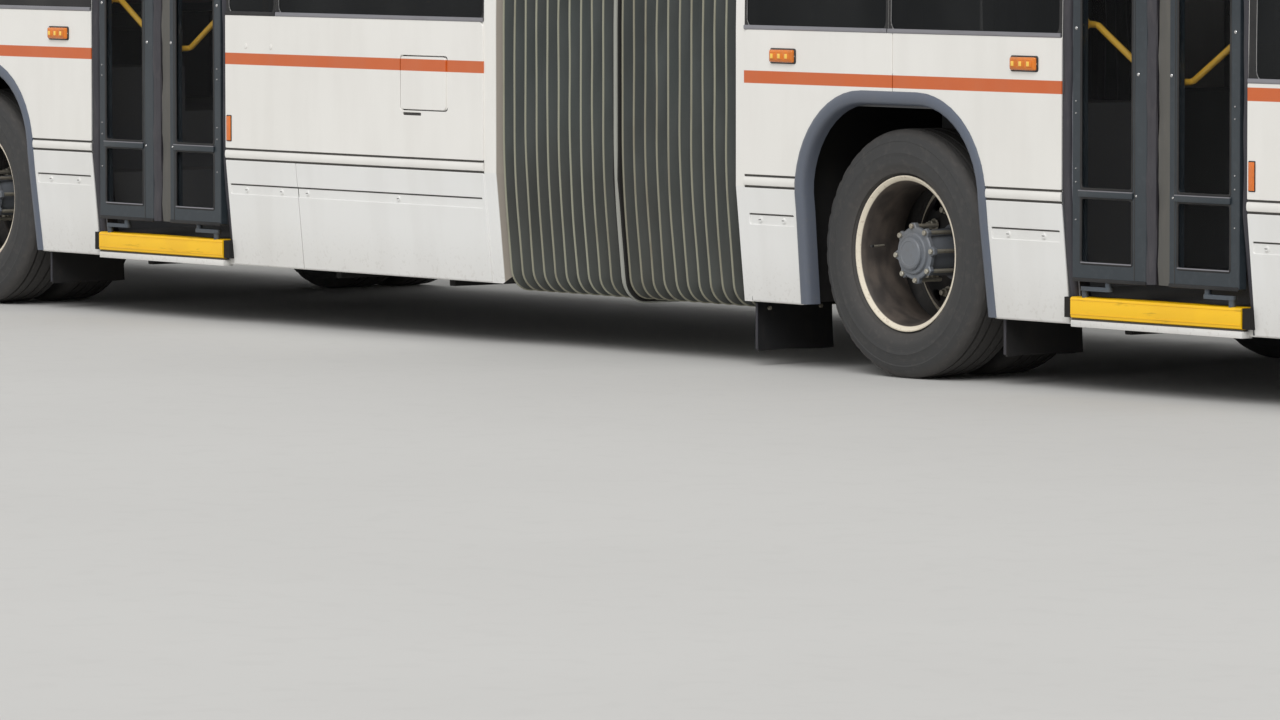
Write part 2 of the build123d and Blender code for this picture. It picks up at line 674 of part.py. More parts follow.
def door_seals(centre):
    """Rubber strips up both jambs of a doorway."""
    depth = HALF_WIDTH - WALL_INNER_Y
    with BuildPart() as seals:
        with BuildSketch(Plane.XY.offset(FLOOR_Z)):
            for sense in (-1, 1):
                with Locations((centre + sense * (DOOR_HALF - JAMB_SEAL / 2),
                                -WALL_INNER_Y - depth / 2)):
                    Rectangle(JAMB_SEAL, depth)
        extrude(amount=DOOR_TOP_Z - FLOOR_Z)
        with BuildSketch(Plane.YZ.offset(centre - DOOR_HALF)):
            Polygon(*[(-y, z) for y, z in wall_outline()], align=None)
        extrude(amount=2 * DOOR_HALF, mode=Mode.INTERSECT)
    return seals.part


def wall_outline():
    """Corner points of a side wall's cross-section, on the +Y side."""
    return body_points(0.0, SKIRT_Z)[:4] + [(WALL_INNER_Y, CANT_Z), (WALL_INNER_Y, SKIRT_Z)]


# Mud flaps: place along the bus, lower edge and the height they hang from
FLAP_BEHIND = WHEEL_BOX_HALF + 30.0
FLAP_AHEAD = WHEEL_BOX_HALF - WHEEL_BOX_WALL - FLAP_THICK / 2 - SEAT_GAP
FLAP_AHEAD_TOP = FLOOR_UNDER_Z + 120.0
FRONT_FLAPS = [
    (FRONT_AXLE_X - FLAP_BEHIND, 80.0, FLOOR_UNDER_Z),
    (MIDDLE_AXLE_X + FLAP_AHEAD, 116.0, FLAP_AHEAD_TOP),
    (FRONT_PORTAL_X + FRONT_PORTAL_THICK / 2, 62.0, SKIRT_Z),
]
with BuildPart() as front_rubbers:
    for axle_x in (FRONT_AXLE_X, MIDDLE_AXLE_X):
        for side in (-1, 1):
            add(arch_flare(axle_x, side))
    for x, bottom_z, top_z in FRONT_FLAPS:
        for side in (-1, 1):
            add(mud_flap(x, side, bottom_z, top_z))
    for door in ("door_1", "door_2"):
        add(door_seals(DOOR_CENTRES[door]))
save(front_rubbers.part, "front_rubbers")


def revolved(points, plane):
    """Turn an outline of (distance along the axle, radius) points about the wheel's axis."""
    with BuildPart() as turned:
        with BuildSketch(plane):
            Polygon(*points, align=None)
        revolve(axis=Axis(plane.origin, plane.x_dir), revolution_arc=360)
    return turned.part


def wheel_plane(axle_x, y):
    """Half-section plane of a wheel: x outward from the bus, y up from the axle."""
    outward = 1 if y > 0 else -1
    return Plane(origin=(axle_x, y, TYRE_R), x_dir=(0, outward, 0), z_dir=(outward, 0, 0))


TYRE_SHOULDER_R = 462.0
TYRE_SIDE_R = 395.0
TYRE_BEAD_R = 289.0
TREAD_HALF = 112.0
BEAD_HALF = 94.5


def tyre_points(offset):
    """Half-section of one tyre about the distance offset along the axle."""
    half = TYRE_WIDTH / 2
    right = [(BEAD_HALF, TYRE_BEAD_R), (BEAD_HALF + 4, RIM_FLANGE_R + 2),
             (half, TYRE_SIDE_R - 25), (half - 3, TYRE_SIDE_R + 20),
             (TREAD_HALF + 8, TYRE_SHOULDER_R), (TREAD_HALF - 12, TYRE_R)]
    left = [(-t, r) for t, r in reversed(right)]
    return [(offset + t, r) for t, r in right + left]


def rim_points(offset, sense=1):
    """Half-section of one rim, its dish open towards sense: flanges, bead seats and well."""
    half = RIM_WIDTH / 2
    seat_r = TYRE_BEAD_R - 1.0
    section = [
        (-half, RIM_FLANGE_R), (-half + 12, RIM_FLANGE_R), (-half + 16, seat_r),
        (half - 16, seat_r), (half - 12, RIM_FLANGE_R), (half, RIM_FLANGE_R),
        (half, RIM_FLANGE_R - 8), (half - 24, RIM_BORE_R + 8), (half - 60, RIM_BORE_R - 6),
        (-half + 24, RIM_BORE_R - 6), (-half, RIM_FLANGE_R - 12),
    ]
    return [(offset + sense * t, r) for t, r in section]


# Distances of the hub stack along the axle, outward from the wheel's mounting face
HUB_INNER = -60.0
TWIN_HUB_FACE = 120.0
STEER_HUB_FACE = 56.0
HUB_CAP_LENGTH = 50.0
HUB_CAP_R = 62.0
HUB_CAP_CHAMFER = 6.0
STUD_CIRCLE_R = 167.5
STUD_R = 11.0
STUD_COUNT = 10
STUD_LENGTH = 32.0
RIB_REACH = 14.0
RIB_FOOT = 12.0
RIB_THICK = 9.0


def hub_points(disc_at, inner_r, face):
    """Half-section of the wheel disc, hub barrel and cap."""
    face_at = disc_at + face
    cap_end = face_at + HUB_CAP_LENGTH
    return [
        (disc_at + HUB_INNER, 0), (disc_at + HUB_INNER, HUB_R), (disc_at - DISC_THICK, HUB_R),
        (disc_at - DISC_THICK, inner_r), (disc_at, inner_r), (disc_at, HUB_R + 6),
        (face_at, HUB_R - 12), (face_at, HUB_CAP_R), (cap_end - HUB_CAP_CHAMFER, HUB_CAP_R),
        (cap_end, HUB_CAP_R - HUB_CAP_CHAMFER), (cap_end, 0),
    ]


def hub_ribs(plane, disc_at, face):
    """Ribs between the hub barrel and the disc, one between each two studs."""
    with BuildPart() as ribs:
        with BuildSketch(plane):
            Polygon((disc_at - 2, HUB_R - 20), (disc_at - 2, HUB_R + RIB_REACH),
                    (disc_at + RIB_FOOT, HUB_R + RIB_REACH),
                    (disc_at + face - RIB_FOOT, HUB_R - 8), (disc_at + face - RIB_FOOT, HUB_R - 20),
                    align=None)
        extrude(amount=RIB_THICK / 2, both=True)
        first = ribs.part
        axis = Axis(plane.origin, plane.x_dir)
        for k in range(STUD_COUNT):
            add(first.rotate(axis, 360 * (k + 0.5) / STUD_COUNT), mode=Mode.ADD if k else Mode.REPLACE)
    return ribs.part


def wheel_studs(plane, disc_at):
    """Ring of wheel studs standing on the disc."""
    circle = Plane(origin=plane.origin + plane.x_dir * (disc_at - 1), z_dir=plane.x_dir)
    with BuildPart() as studs:
        with BuildSketch(circle):
            with PolarLocations(STUD_CIRCLE_R, STUD_COUNT):
                Circle(STUD_R)
        extrude(amount=STUD_LENGTH)
    return studs.part


def single_tyre(axle_x, side):
    plane = wheel_plane(axle_x, side * SINGLE_Y)
    return revolved(tyre_points(0), plane)


def single_wheel(axle_x, side):
    """Steered wheel: the disc sits near the outer flange."""
    plane = wheel_plane(axle_x, side * SINGLE_Y)
    with BuildPart() as wheel:
        add(revolved(rim_points(0), plane))
        add(revolved(hub_points(STEER_DISC, RIM_BORE_R, STEER_HUB_FACE), plane))
        add(wheel_studs(plane, STEER_DISC))
        add(hub_ribs(plane, STEER_DISC, STEER_HUB_FACE))
    return wheel.part


def twin_tyres(axle_x, side):
    plane = wheel_plane(axle_x, side * TWIN_MID_Y)
    with BuildPart() as tyres:
        for offset in (-TWIN_SPACING / 2, TWIN_SPACING / 2):
            add(revolved(tyre_points(offset), plane))
    return tyres.part


def twin_wheel(axle_x, side):
    """Twin rims back to back on one hub, with a deep dish on the outer side."""
    plane = wheel_plane(axle_x, side * TWIN_MID_Y)
    with BuildPart() as wheel:
        for sense in (-1, 1):
            add(revolved(rim_points(sense * TWIN_SPACING / 2, sense), plane))
        add(revolved(twin_web_points(), plane))
        add(revolved(hub_points(TWIN_DISC, RIM_BORE_R, TWIN_HUB_FACE), plane))
        add(wheel_studs(plane, TWIN_DISC))
        add(hub_ribs(plane, TWIN_DISC, TWIN_HUB_FACE))
    return wheel.part


def twin_web_points():
    """Ring that joins the two rims at their meeting faces."""
    gap = TWIN_SPACING / 2 - RIM_WIDTH / 2 + 30
    return [(-gap, RIM_BORE_R - 6), (-gap, RIM_BORE_R + 4), (gap, RIM_BORE_R + 4),
            (gap, RIM_BORE_R - 6)]


STEER_DISC = 30.0
TWIN_DISC = 8.0
STATIONS = {"front": FRONT_AXLE_X, "middle": MIDDLE_AXLE_X, "rear": REAR_AXLE_X}
SIDES = {"left": 1, "right": -1}
for station, axle_x in STATIONS.items():
    for side_name, side in SIDES.items():
        if station == "front":
            save(single_tyre(axle_x, side), f"tyre_{station}_{side_name}")
            save(single_wheel(axle_x, side), f"wheel_{station}_{side_name}")
        else:
            save(twin_tyres(axle_x, side), f"tyres_{station}_{side_name}")
            save(twin_wheel(axle_x, side), f"wheel_{station}_{side_name}")

# Steering knuckles: two lugs and a plate round the beam's eye, a kingpin and a spindle
LUG_R = 58.0
LUG_THICK = 48.0
EYE_HALF = 48.0
EYE_R = 50.0
KNUCKLE_PLATE = (62.0, 92.0)
SPINDLE_R = 45.0
KNUCKLE_HALF = 62.0
for side_name, side in SIDES.items():
    with BuildPart() as knuckle:
        for z0, z1 in ((TYRE_R + EYE_HALF + SEAT_GAP, TYRE_R + EYE_HALF + LUG_THICK),
                       (TYRE_R - EYE_HALF - LUG_THICK, TYRE_R - EYE_HALF - SEAT_GAP)):
            with BuildSketch(Plane.XY.offset(z0)):
                with Locations((FRONT_AXLE_X, side * KINGPIN_Y)):
                    Circle(LUG_R)
                with Locations((FRONT_AXLE_X, side * (KINGPIN_Y + KNUCKLE_PLATE[1] / 2))):
                    Rectangle(2 * LUG_R, KNUCKLE_PLATE[1])
            extrude(amount=z1 - z0)
        with BuildSketch(Plane.XY.offset(TYRE_R - EYE_HALF - LUG_THICK)):
            with Locations((FRONT_AXLE_X, side * KINGPIN_Y)):
                Circle(KINGPIN_R)
        extrude(amount=2 * EYE_HALF + 2 * LUG_THICK)
        with BuildSketch(Plane.XY.offset(TYRE_R - EYE_HALF - LUG_THICK)):
            with Locations((FRONT_AXLE_X, side * (KINGPIN_Y + sum(KNUCKLE_PLATE) / 2))):
                Rectangle(2 * KNUCKLE_HALF, KNUCKLE_PLATE[1] - KNUCKLE_PLATE[0])
        extrude(amount=2 * EYE_HALF + 2 * LUG_THICK)
        spindle_y = KINGPIN_Y + KNUCKLE_PLATE[1]
        spindle_end = SINGLE_Y + STEER_DISC + HUB_INNER - SEAT_GAP
        with BuildSketch(Plane(origin=(FRONT_AXLE_X, side * spindle_y, TYRE_R),
                               z_dir=(0, side, 0))):
            Circle(SPINDLE_R)
        if spindle_end > spindle_y:
            extrude(amount=spindle_end - spindle_y)
    save(knuckle.part, f"knuckle_{side_name}")


def beam_half_points():
    """Half outline of the dropped front beam, from the middle out to its eye."""
    low, high = TYRE_R - BEAM_HEIGHT / 2, TYRE_R + BEAM_HEIGHT / 2
    return [(0, BEAM_Z), (DROP_Y + BEAM_HEIGHT, BEAM_Z),
            (DROP_Y + DROP_LEAN + BEAM_HEIGHT, low), (KINGPIN_Y, low), (KINGPIN_Y, high),
            (DROP_Y + DROP_LEAN, high), (DROP_Y, BEAM_Z + BEAM_HEIGHT),
            (0, BEAM_Z + BEAM_HEIGHT)]


# Front section: dropped beam of the steered axle and the dropped middle axle
DROP_Y = 640.0
DROP_LEAN = 60.0
TWIN_RISER = (560.0, 640.0)
SPINDLE_TUBE_R = 62.0
HANGER_HALF = 60.0
HANGER_Y = 400.0
with BuildPart() as front_axles:
    with BuildSketch(Plane.YZ.offset(FRONT_AXLE_X - BEAM_HALF)):
        for side in (-1, 1):
            Polygon(*[(side * y, z) for y, z in beam_half_points()], align=None)
    extrude(amount=2 * BEAM_HALF)
    with BuildSketch(Plane.XY.offset(TYRE_R - EYE_HALF)):
        with Locations(*[(FRONT_AXLE_X, s * KINGPIN_Y) for s in (-1, 1)]):
            Circle(EYE_R)
    extrude(amount=2 * EYE_HALF)
    with BuildSketch(Plane.XY.offset(TYRE_R - EYE_HALF)):
        with Locations(*[(FRONT_AXLE_X, s * KINGPIN_Y) for s in (-1, 1)]):
            Circle(KINGPIN_R + SEAT_GAP)
    extrude(amount=2 * EYE_HALF, mode=Mode.SUBTRACT)
    with BuildSketch(Plane.XY.offset(BEAM_Z + BEAM_HEIGHT - 5)):
        with Locations(*[(FRONT_AXLE_X, s * HANGER_Y) for s in (-1, 1)]):
            Rectangle(2 * HANGER_HALF, 2 * HANGER_HALF)
    extrude(amount=FLOOR_UNDER_Z - BEAM_Z - BEAM_HEIGHT + 5)
    with BuildSketch(Plane.XZ.offset(-TWIN_RISER[1])):
        with Locations((MIDDLE_AXLE_X, BEAM_Z + BEAM_HEIGHT / 2)):
            Rectangle(2 * BEAM_HALF, BEAM_HEIGHT)
    extrude(amount=2 * TWIN_RISER[1])
    for side in (-1, 1):
        with BuildSketch(Plane.YZ.offset(MIDDLE_AXLE_X - BEAM_HALF - 20)):
            Polygon(*[(side * y, z) for y, z in (
                (TWIN_RISER[0], BEAM_Z), (TWIN_RISER[1], BEAM_Z),
                (TWIN_RISER[1], TYRE_R + SPINDLE_TUBE_R + 20),
                (TWIN_RISER[0], TYRE_R + SPINDLE_TUBE_R + 20))], align=None)
        extrude(amount=2 * BEAM_HALF + 40)
        with BuildSketch(Plane(origin=(MIDDLE_AXLE_X, side * TWIN_RISER[0], TYRE_R),
                               z_dir=(0, side, 0))):
            Circle(SPINDLE_TUBE_R)
        extrude(amount=TWIN_MID_Y + TWIN_DISC + HUB_INNER - SEAT_GAP - TWIN_RISER[0])
    with BuildSketch(Plane.XY.offset(BEAM_Z + BEAM_HEIGHT - 5)):
        with Locations(*[(MIDDLE_AXLE_X, s * HANGER_Y) for s in (-1, 1)]):
            Rectangle(2 * HANGER_HALF, 2 * HANGER_HALF)
    extrude(amount=FLOOR_UNDER_Z - BEAM_Z - BEAM_HEIGHT + 5)
save(front_axles.part, "front_axles")


# Rear section: driven axle with its tube, differential bowl and spring hangers
DIFF_R = 205.0
DIFF_Y = 120.0
DIFF_HALF = 130.0
AXLE_TUBE_R = 78.0
with BuildPart() as rear_axle:
    inner = TWIN_MID_Y + TWIN_DISC + HUB_INNER - SEAT_GAP
    with BuildSketch(Plane(origin=(REAR_AXLE_X, -inner, TYRE_R), z_dir=(0, 1, 0))):
        Circle(AXLE_TUBE_R)
    extrude(amount=2 * inner)
    with BuildSketch(Plane(origin=(REAR_AXLE_X, DIFF_Y - DIFF_HALF, TYRE_R), z_dir=(0, 1, 0))):
        Circle(DIFF_R)
    extrude(amount=2 * DIFF_HALF, taper=12)
    with BuildSketch(Plane.XY.offset(TYRE_R)):
        with Locations(*[(REAR_AXLE_X, s * HANGER_Y) for s in (-1, 1)]):
            Rectangle(2 * HANGER_HALF, 2 * HANGER_HALF)
    extrude(amount=FLOOR_HIGH_Z - FLOOR_THICK - TYRE_R)
save(rear_axle.part, "rear_axle")

# Rear section: walls, glass and roof
REAR_ROOF_POD = (-7900.0, -5500.0)
POD_HALF = 860.0
with BuildPart() as rear_side_walls:
    add(side_wall(TAIL_JOIN_X, REAR_WALL_X, 1, REAR_WINDOWS[1], [REAR_AXLE_X], [],
                  REAR_SEAMS[1]))
    add(side_wall(TAIL_JOIN_X, REAR_WALL_X, -1, REAR_WINDOWS[-1], [REAR_AXLE_X],
                  [DOOR_CENTRES["door_3"]], REAR_SEAMS[-1]))
    add(window_cut(FUEL_DOOR_X - SEAT_GAP, FUEL_DOOR_FRONT_X + SEAT_GAP,
                   FUEL_DOOR_Z - SEAT_GAP, FUEL_DOOR_TOP_Z + SEAT_GAP,
                   -HALF_WIDTH - 10, -HALF_WIDTH + FUEL_DOOR_THICK + SEAT_GAP,
                   FUEL_DOOR_CORNER_R), mode=Mode.SUBTRACT)
save(rear_side_walls.part, "rear_side_walls")

save(side_glass(REAR_WINDOWS), "rear_side_glass")

with BuildPart() as rear_roof:
    add(roof_shell(TAIL_JOIN_X, REAR_WALL_X))
    with BuildSketch(Plane.XY.offset(ROOF_Z - ROOF_THICK / 2)):
        with Locations((sum(REAR_ROOF_POD) / 2, 0)):
            RectangleRounded(REAR_ROOF_POD[1] - REAR_ROOF_POD[0], 2 * POD_HALF, 120)
        with Locations((-3200, 0)):
            RectangleRounded(HATCH_SIZE, HATCH_SIZE, 60)
    extrude(amount=ROOF_THICK / 2 + HATCH_HEIGHT, taper=6)
    with BuildSketch(Plane.XY.offset(ROOF_Z)):
        with Locations((sum(REAR_ROOF_POD) / 2, 0)):
            RectangleRounded(REAR_ROOF_POD[1] - REAR_ROOF_POD[0] - 60, 2 * POD_HALF - 60, 100)
    extrude(amount=POD_HEIGHT, taper=8)
save(rear_roof.part, "rear_roof")

# Rear section: floor profile with its steps, raised deck and engine platform
with BuildPart() as rear_underframe:
    under = FLOOR_THICK
    add(floor_plate([
        (REAR_WALL_X, FLOOR_Z - under), (REAR_WALL_X, FLOOR_Z), (STEP_1_X, FLOOR_Z),
        (STEP_1_X, FLOOR_STEP_Z), (STEP_2_X, FLOOR_STEP_Z), (STEP_2_X, FLOOR_HIGH_Z),
        (ENGINE_BAY_X, FLOOR_HIGH_Z), (ENGINE_BAY_X, FLOOR_ENGINE_Z),
        (TAIL_JOIN_X, FLOOR_ENGINE_Z), (TAIL_JOIN_X, FLOOR_ENGINE_Z - under),
        (ENGINE_BAY_X - under, FLOOR_ENGINE_Z - under),
        (ENGINE_BAY_X - under, FLOOR_HIGH_Z - under), (STEP_2_X - under, FLOOR_HIGH_Z - under),
        (STEP_2_X - under, FLOOR_STEP_Z - under), (STEP_1_X - under, FLOOR_STEP_Z - under),
        (STEP_1_X - under, FLOOR_Z - under)], WALL_INNER_Y))
    add(wheel_box(REAR_AXLE_X, TWIN_BOX_Y - WHEEL_BOX_WALL, FLOOR_HIGH_Z - under))
    add(wheel_space(REAR_AXLE_X, TWIN_BOX_Y - WHEEL_BOX_WALL), mode=Mode.SUBTRACT)
    add(door_step(DOOR_CENTRES["door_3"]))
save(rear_underframe.part, "rear_underframe")

# Rear section: engine block under its platform
ENGINE_BOX = (-8680.0, -7560.0, -420.0, 420.0, 330.0)
with BuildPart() as engine:
    with BuildSketch(Plane.XY.offset(ENGINE_BOX[4])):
        with Locations(((ENGINE_BOX[0] + ENGINE_BOX[1]) / 2, (ENGINE_BOX[2] + ENGINE_BOX[3]) / 2)):
            Rectangle(ENGINE_BOX[1] - ENGINE_BOX[0], ENGINE_BOX[3] - ENGINE_BOX[2])
    extrude(amount=FLOOR_ENGINE_Z - FLOOR_THICK - ENGINE_BOX[4])
    chamfer(engine.edges().group_by(Axis.Z)[0], 60)
save(engine.part, "engine")

# Rear section: portal with the upper half of the turntable
with BuildPart() as rear_portal:
    add(portal_frame(REAR_WALL_X, REAR_PORTAL_X, PORTAL_LIP_R))
    add(turntable_half(TURNTABLE_SPLIT_Z + SEAT_GAP, FLOOR_Z - PLATFORM_THICK, REAR_PORTAL_X))
save(rear_portal.part, "rear_portal")

# Rear section: rubbers
REAR_FLAPS = [
    (REAR_AXLE_X + FLAP_AHEAD, 116.0, FLAP_AHEAD_TOP),
]
with BuildPart() as rear_rubbers:
    for side in (-1, 1):
        add(arch_flare(REAR_AXLE_X, side))
        for x, bottom_z, top_z in REAR_FLAPS:
            add(mud_flap(x, side, bottom_z, top_z))
    add(door_seals(DOOR_CENTRES["door_3"]))
save(rear_rubbers.part, "rear_rubbers")

# Rear section: tail shell with the engine door's opening, lamp holes and an air grille
TAIL_LAMP_Y = 1090.0
TAIL_LAMP_R = 62.0
TAIL_LAMP_Z = (820.0, 980.0, 1140.0)
GRILLE_Z = (1560.0, 2160.0)
GRILLE_HALF = 900.0
GRILLE_SLATS = 7
GRILLE_SLAT = 44.0
with BuildPart() as rear_mask:
    add(tail_block(0))
    add(tail_block(MASK_THICK), mode=Mode.SUBTRACT)
    add(front_view_cut(TAIL_X - 10, TAIL_JOIN_X - 60, -ENGINE_DOOR_HALF, ENGINE_DOOR_HALF,
                       ENGINE_DOOR_Z, ENGINE_DOOR_TOP_Z, 40), mode=Mode.SUBTRACT)
    with BuildSketch(Plane.YZ.offset(TAIL_X - 10)):
        pitch = (GRILLE_Z[1] - GRILLE_Z[0]) / GRILLE_SLATS
        with Locations(*[(0, GRILLE_Z[0] + pitch * (k + 0.5)) for k in range(GRILLE_SLATS)]):
            SlotOverall(2 * GRILLE_HALF, GRILLE_SLAT)
    extrude(amount=TAIL_JOIN_X - TAIL_X - 60, mode=Mode.SUBTRACT)
    with BuildSketch(Plane.YZ.offset(TAIL_X - 10)):
        with Locations(*[(s * TAIL_LAMP_Y, z) for s in (-1, 1) for z in TAIL_LAMP_Z]):
            Circle(TAIL_LAMP_R)
    extrude(amount=TAIL_JOIN_X - TAIL_X - 60, mode=Mode.SUBTRACT)
save(rear_mask.part, "rear_mask")

with BuildPart() as rear_lamps:
    with BuildPart(mode=Mode.PRIVATE) as tail_slice:
        add(tail_block(-GLASS_INSET))
        add(tail_block(MASK_THICK / 2), mode=Mode.SUBTRACT)
    with BuildSketch(Plane.YZ.offset(TAIL_X - 20)):
        with Locations(*[(s * TAIL_LAMP_Y, z) for s in (-1, 1) for z in TAIL_LAMP_Z]):
            Circle(TAIL_LAMP_R - SEAT_GAP)
    extrude(amount=TAIL_JOIN_X - TAIL_X)
    add(tail_slice.part, mode=Mode.INTERSECT)
    for x, width, height, z in REAR_MARKERS:
        add(side_lamp(x, width, height, z, LAMP_DEPTH))
    for x, width, height, z in REAR_REFLECTORS:
        add(side_lamp(x, width, height, z, REFLECTOR_DEPTH))
save(rear_lamps.part, "rear_lamps")

with BuildPart() as rear_bumper:
    add(end_block(TAIL_JOIN_X, -LENGTH / 2, TAIL_BULGE, TAIL_CORNER_R, TAIL_RAKE, 0))
    add(tail_block(-SEAT_GAP), mode=Mode.SUBTRACT)
    with BuildSketch(Plane.XY.offset(SKIRT_Z + 40)):
        with Locations((-LENGTH / 2, 0)):
            Rectangle(2 * BUMPER_REACH, 2 * HALF_WIDTH)
    extrude(amount=BUMPER_TOP_Z - SKIRT_Z - 60, mode=Mode.INTERSECT)
save(rear_bumper.part, "rear_bumper")

# Rear section: engine door, hinged along its top edge
with BuildPart() as engine_door:
    with BuildPart(mode=Mode.PRIVATE) as door_slice:
        add(tail_block(0))
        add(tail_block(MASK_THICK / 2), mode=Mode.SUBTRACT)
    add(front_view_cut(TAIL_X - 10, TAIL_JOIN_X - 60, -ENGINE_DOOR_HALF, ENGINE_DOOR_HALF,
                       ENGINE_DOOR_Z, ENGINE_DOOR_TOP_Z + MOVING_GAP - SEAT_GAP,
                       40 - MOVING_GAP, MOVING_GAP))
    add(door_slice.part, mode=Mode.INTERSECT)
save(engine_door.part, "engine_door")

# Rear section: fuel filler door, hinged on its front edge
with BuildPart() as fuel_door:
    add(window_cut(FUEL_DOOR_X, FUEL_DOOR_FRONT_X, FUEL_DOOR_Z, FUEL_DOOR_TOP_Z,
                   -HALF_WIDTH, -HALF_WIDTH + FUEL_DOOR_THICK,
                   FUEL_DOOR_CORNER_R - FUEL_DOOR_GAP, FUEL_DOOR_GAP))
save(fuel_door.part, "fuel_door")


def ring_face(inset, depth, bottom_z, inner_bottom_z, foot_r):
    """Closed ring that follows the body's outline, for the bellows and its middle hoop."""
    with BuildSketch() as ring:
        add(body_face(inset=inset, bottom_z=bottom_z, foot_r=foot_r))
        add(body_face(inset=inset + depth, bottom_z=inner_bottom_z, foot_r=foot_r / 2),
            mode=Mode.SUBTRACT)
    return ring.sketch


# Joint: folding bellows in two halves, one each side of the middle hoop
BELLOWS_FLOOR = 22.0
HOOP_BOTTOM_Z = BELLOWS_BOTTOM_Z - HOOP_PROUD
FOLD_COUNT = 10
BEAD_WIDTH = 11.0
BEAD_PROUD = 14.0
with BuildPart() as bellows:
    for x0, x1 in ((REAR_PORTAL_X + SEAT_GAP, PIVOT_X - HOOP_HALF - SEAT_GAP),
                   (PIVOT_X + HOOP_HALF + SEAT_GAP, FRONT_PORTAL_X - SEAT_GAP)):
        with BuildSketch(Plane.YZ.offset(x0)):
            add(ring_face(BELLOWS_INSET + BEAD_PROUD, BELLOWS_THICK - BEAD_PROUD,
                          BELLOWS_BOTTOM_Z + BEAD_PROUD, BELLOWS_BOTTOM_Z + BELLOWS_FLOOR + BEAD_PROUD,
                          BELLOWS_CORNER_R))
        extrude(amount=x1 - x0)
        pitch = (x1 - x0) / FOLD_COUNT
        beads = [Plane.YZ.offset(x0 + pitch * (k + 0.5) - BEAD_WIDTH / 2) for k in range(FOLD_COUNT)]
        with BuildSketch(*beads):
            add(ring_face(BELLOWS_INSET, BELLOWS_THICK, BELLOWS_BOTTOM_Z,
                          BELLOWS_BOTTOM_Z + BELLOWS_FLOOR + BEAD_PROUD, BELLOWS_CORNER_R))
        extrude(amount=BEAD_WIDTH)
save(bellows.part, "bellows")

# Joint: middle hoop that carries the turning floor plate
with BuildPart() as centre_hoop:
    with BuildSketch(Plane.YZ.offset(PIVOT_X - HOOP_HALF)):
        add(ring_face(BELLOWS_INSET - HOOP_PROUD, HOOP_DEPTH, HOOP_BOTTOM_Z,
                      HOOP_BOTTOM_Z + BELLOWS_FLOOR + HOOP_PROUD, BELLOWS_CORNER_R))
    extrude(amount=2 * HOOP_HALF)
    with BuildSketch(Plane.XY.offset(FLOOR_Z - PLATFORM_THICK + SEAT_GAP)):
        with Locations((PIVOT_X, 0)):
            Circle(PLATFORM_R)
            Rectangle(PLATFORM_BEAM, 2 * (HALF_WIDTH - HOOP_DEPTH))
    extrude(amount=PLATFORM_THICK - SEAT_GAP)
save(centre_hoop.part, "centre_hoop")


# Seats: side profile of a shell on a pedestal, as (forward, up) from its foot
SEAT_WIDTH = 860.0
SEAT_CUSHION_Z = 430.0
SEAT_DEPTH = 430.0
SEAT_BACK_Z = 980.0
SEAT_SHELL = 38.0
PEDESTAL_WIDTH = 90.0


def seat_points():
    """Side profile of a shell seat: cushion, then the leaning back."""
    shell = SEAT_SHELL
    return [
        (0, SEAT_CUSHION_Z - shell), (SEAT_DEPTH, SEAT_CUSHION_Z - shell + 20),
        (SEAT_DEPTH, SEAT_CUSHION_Z + 20), (40, SEAT_CUSHION_Z + 5),
        (-60, SEAT_BACK_Z), (-60 - shell, SEAT_BACK_Z), (-20, SEAT_CUSHION_Z - shell + 10),
    ]


def seat(x, y, foot_z, width=SEAT_WIDTH):
    """One bench of seats on its pedestal."""
    with BuildPart() as bench:
        with BuildSketch(Plane.XZ.offset(-y - width / 2)):
            Polygon(*[(x + dx, foot_z + dz) for dx, dz in seat_points()], align=None)
        extrude(amount=width)
        with BuildSketch(Plane.XY.offset(foot_z)):
            with Locations((x + SEAT_DEPTH / 2 - 20, y)):
                Rectangle(SEAT_DEPTH / 2, PEDESTAL_WIDTH)
        extrude(amount=SEAT_CUSHION_Z - SEAT_SHELL + 8)
    return bench.part


SEAT_Y = WALL_INNER_Y - 12.0 - SEAT_WIDTH / 2
FRONT_SEATS = [(x, s) for s, xs in ((1, (1420, 2180, 2940, 3700, 4460, 5220)),
                                    (-1, (3050, 3810, 4570, 5330))) for x in xs]
REAR_SEATS = [(-2700, 1, FLOOR_Z), (-3460, 1, FLOOR_Z), (-4220, 1, FLOOR_Z),
              (-2700, -1, FLOOR_Z), (-3400, -1, FLOOR_Z)]
BENCH_X = -8350.0
with BuildPart() as front_seats:
    for x, s in FRONT_SEATS:
        add(seat(x, s * SEAT_Y, FLOOR_Z))
    add(seat(DRIVER_X, DRIVER_Y, FLOOR_Z + PLINTH_HEIGHT, 500))
save(front_seats.part, "front_seats")

with BuildPart() as rear_seats:
    for x, s, foot_z in REAR_SEATS:
        add(seat(x, s * SEAT_Y, foot_z))
    for x in (-7150.0,):
        for s in (1, -1):
            add(seat(x, s * SEAT_Y, FLOOR_HIGH_Z))
    add(seat(BENCH_X, 0, FLOOR_ENGINE_Z, 2 * WALL_INNER_Y - 60))
save(rear_seats.part, "rear_seats")

# Handrails: stanchions from floor to ceiling and a rail along each side of the aisle
RAIL_R = 16.0
RAIL_Z = 2050.0
RAIL_Y = 330.0
FRONT_STANCHIONS = [1480, 2830, 4250, 5600]
REAR_STANCHIONS = [-2200, -3650, -4880]


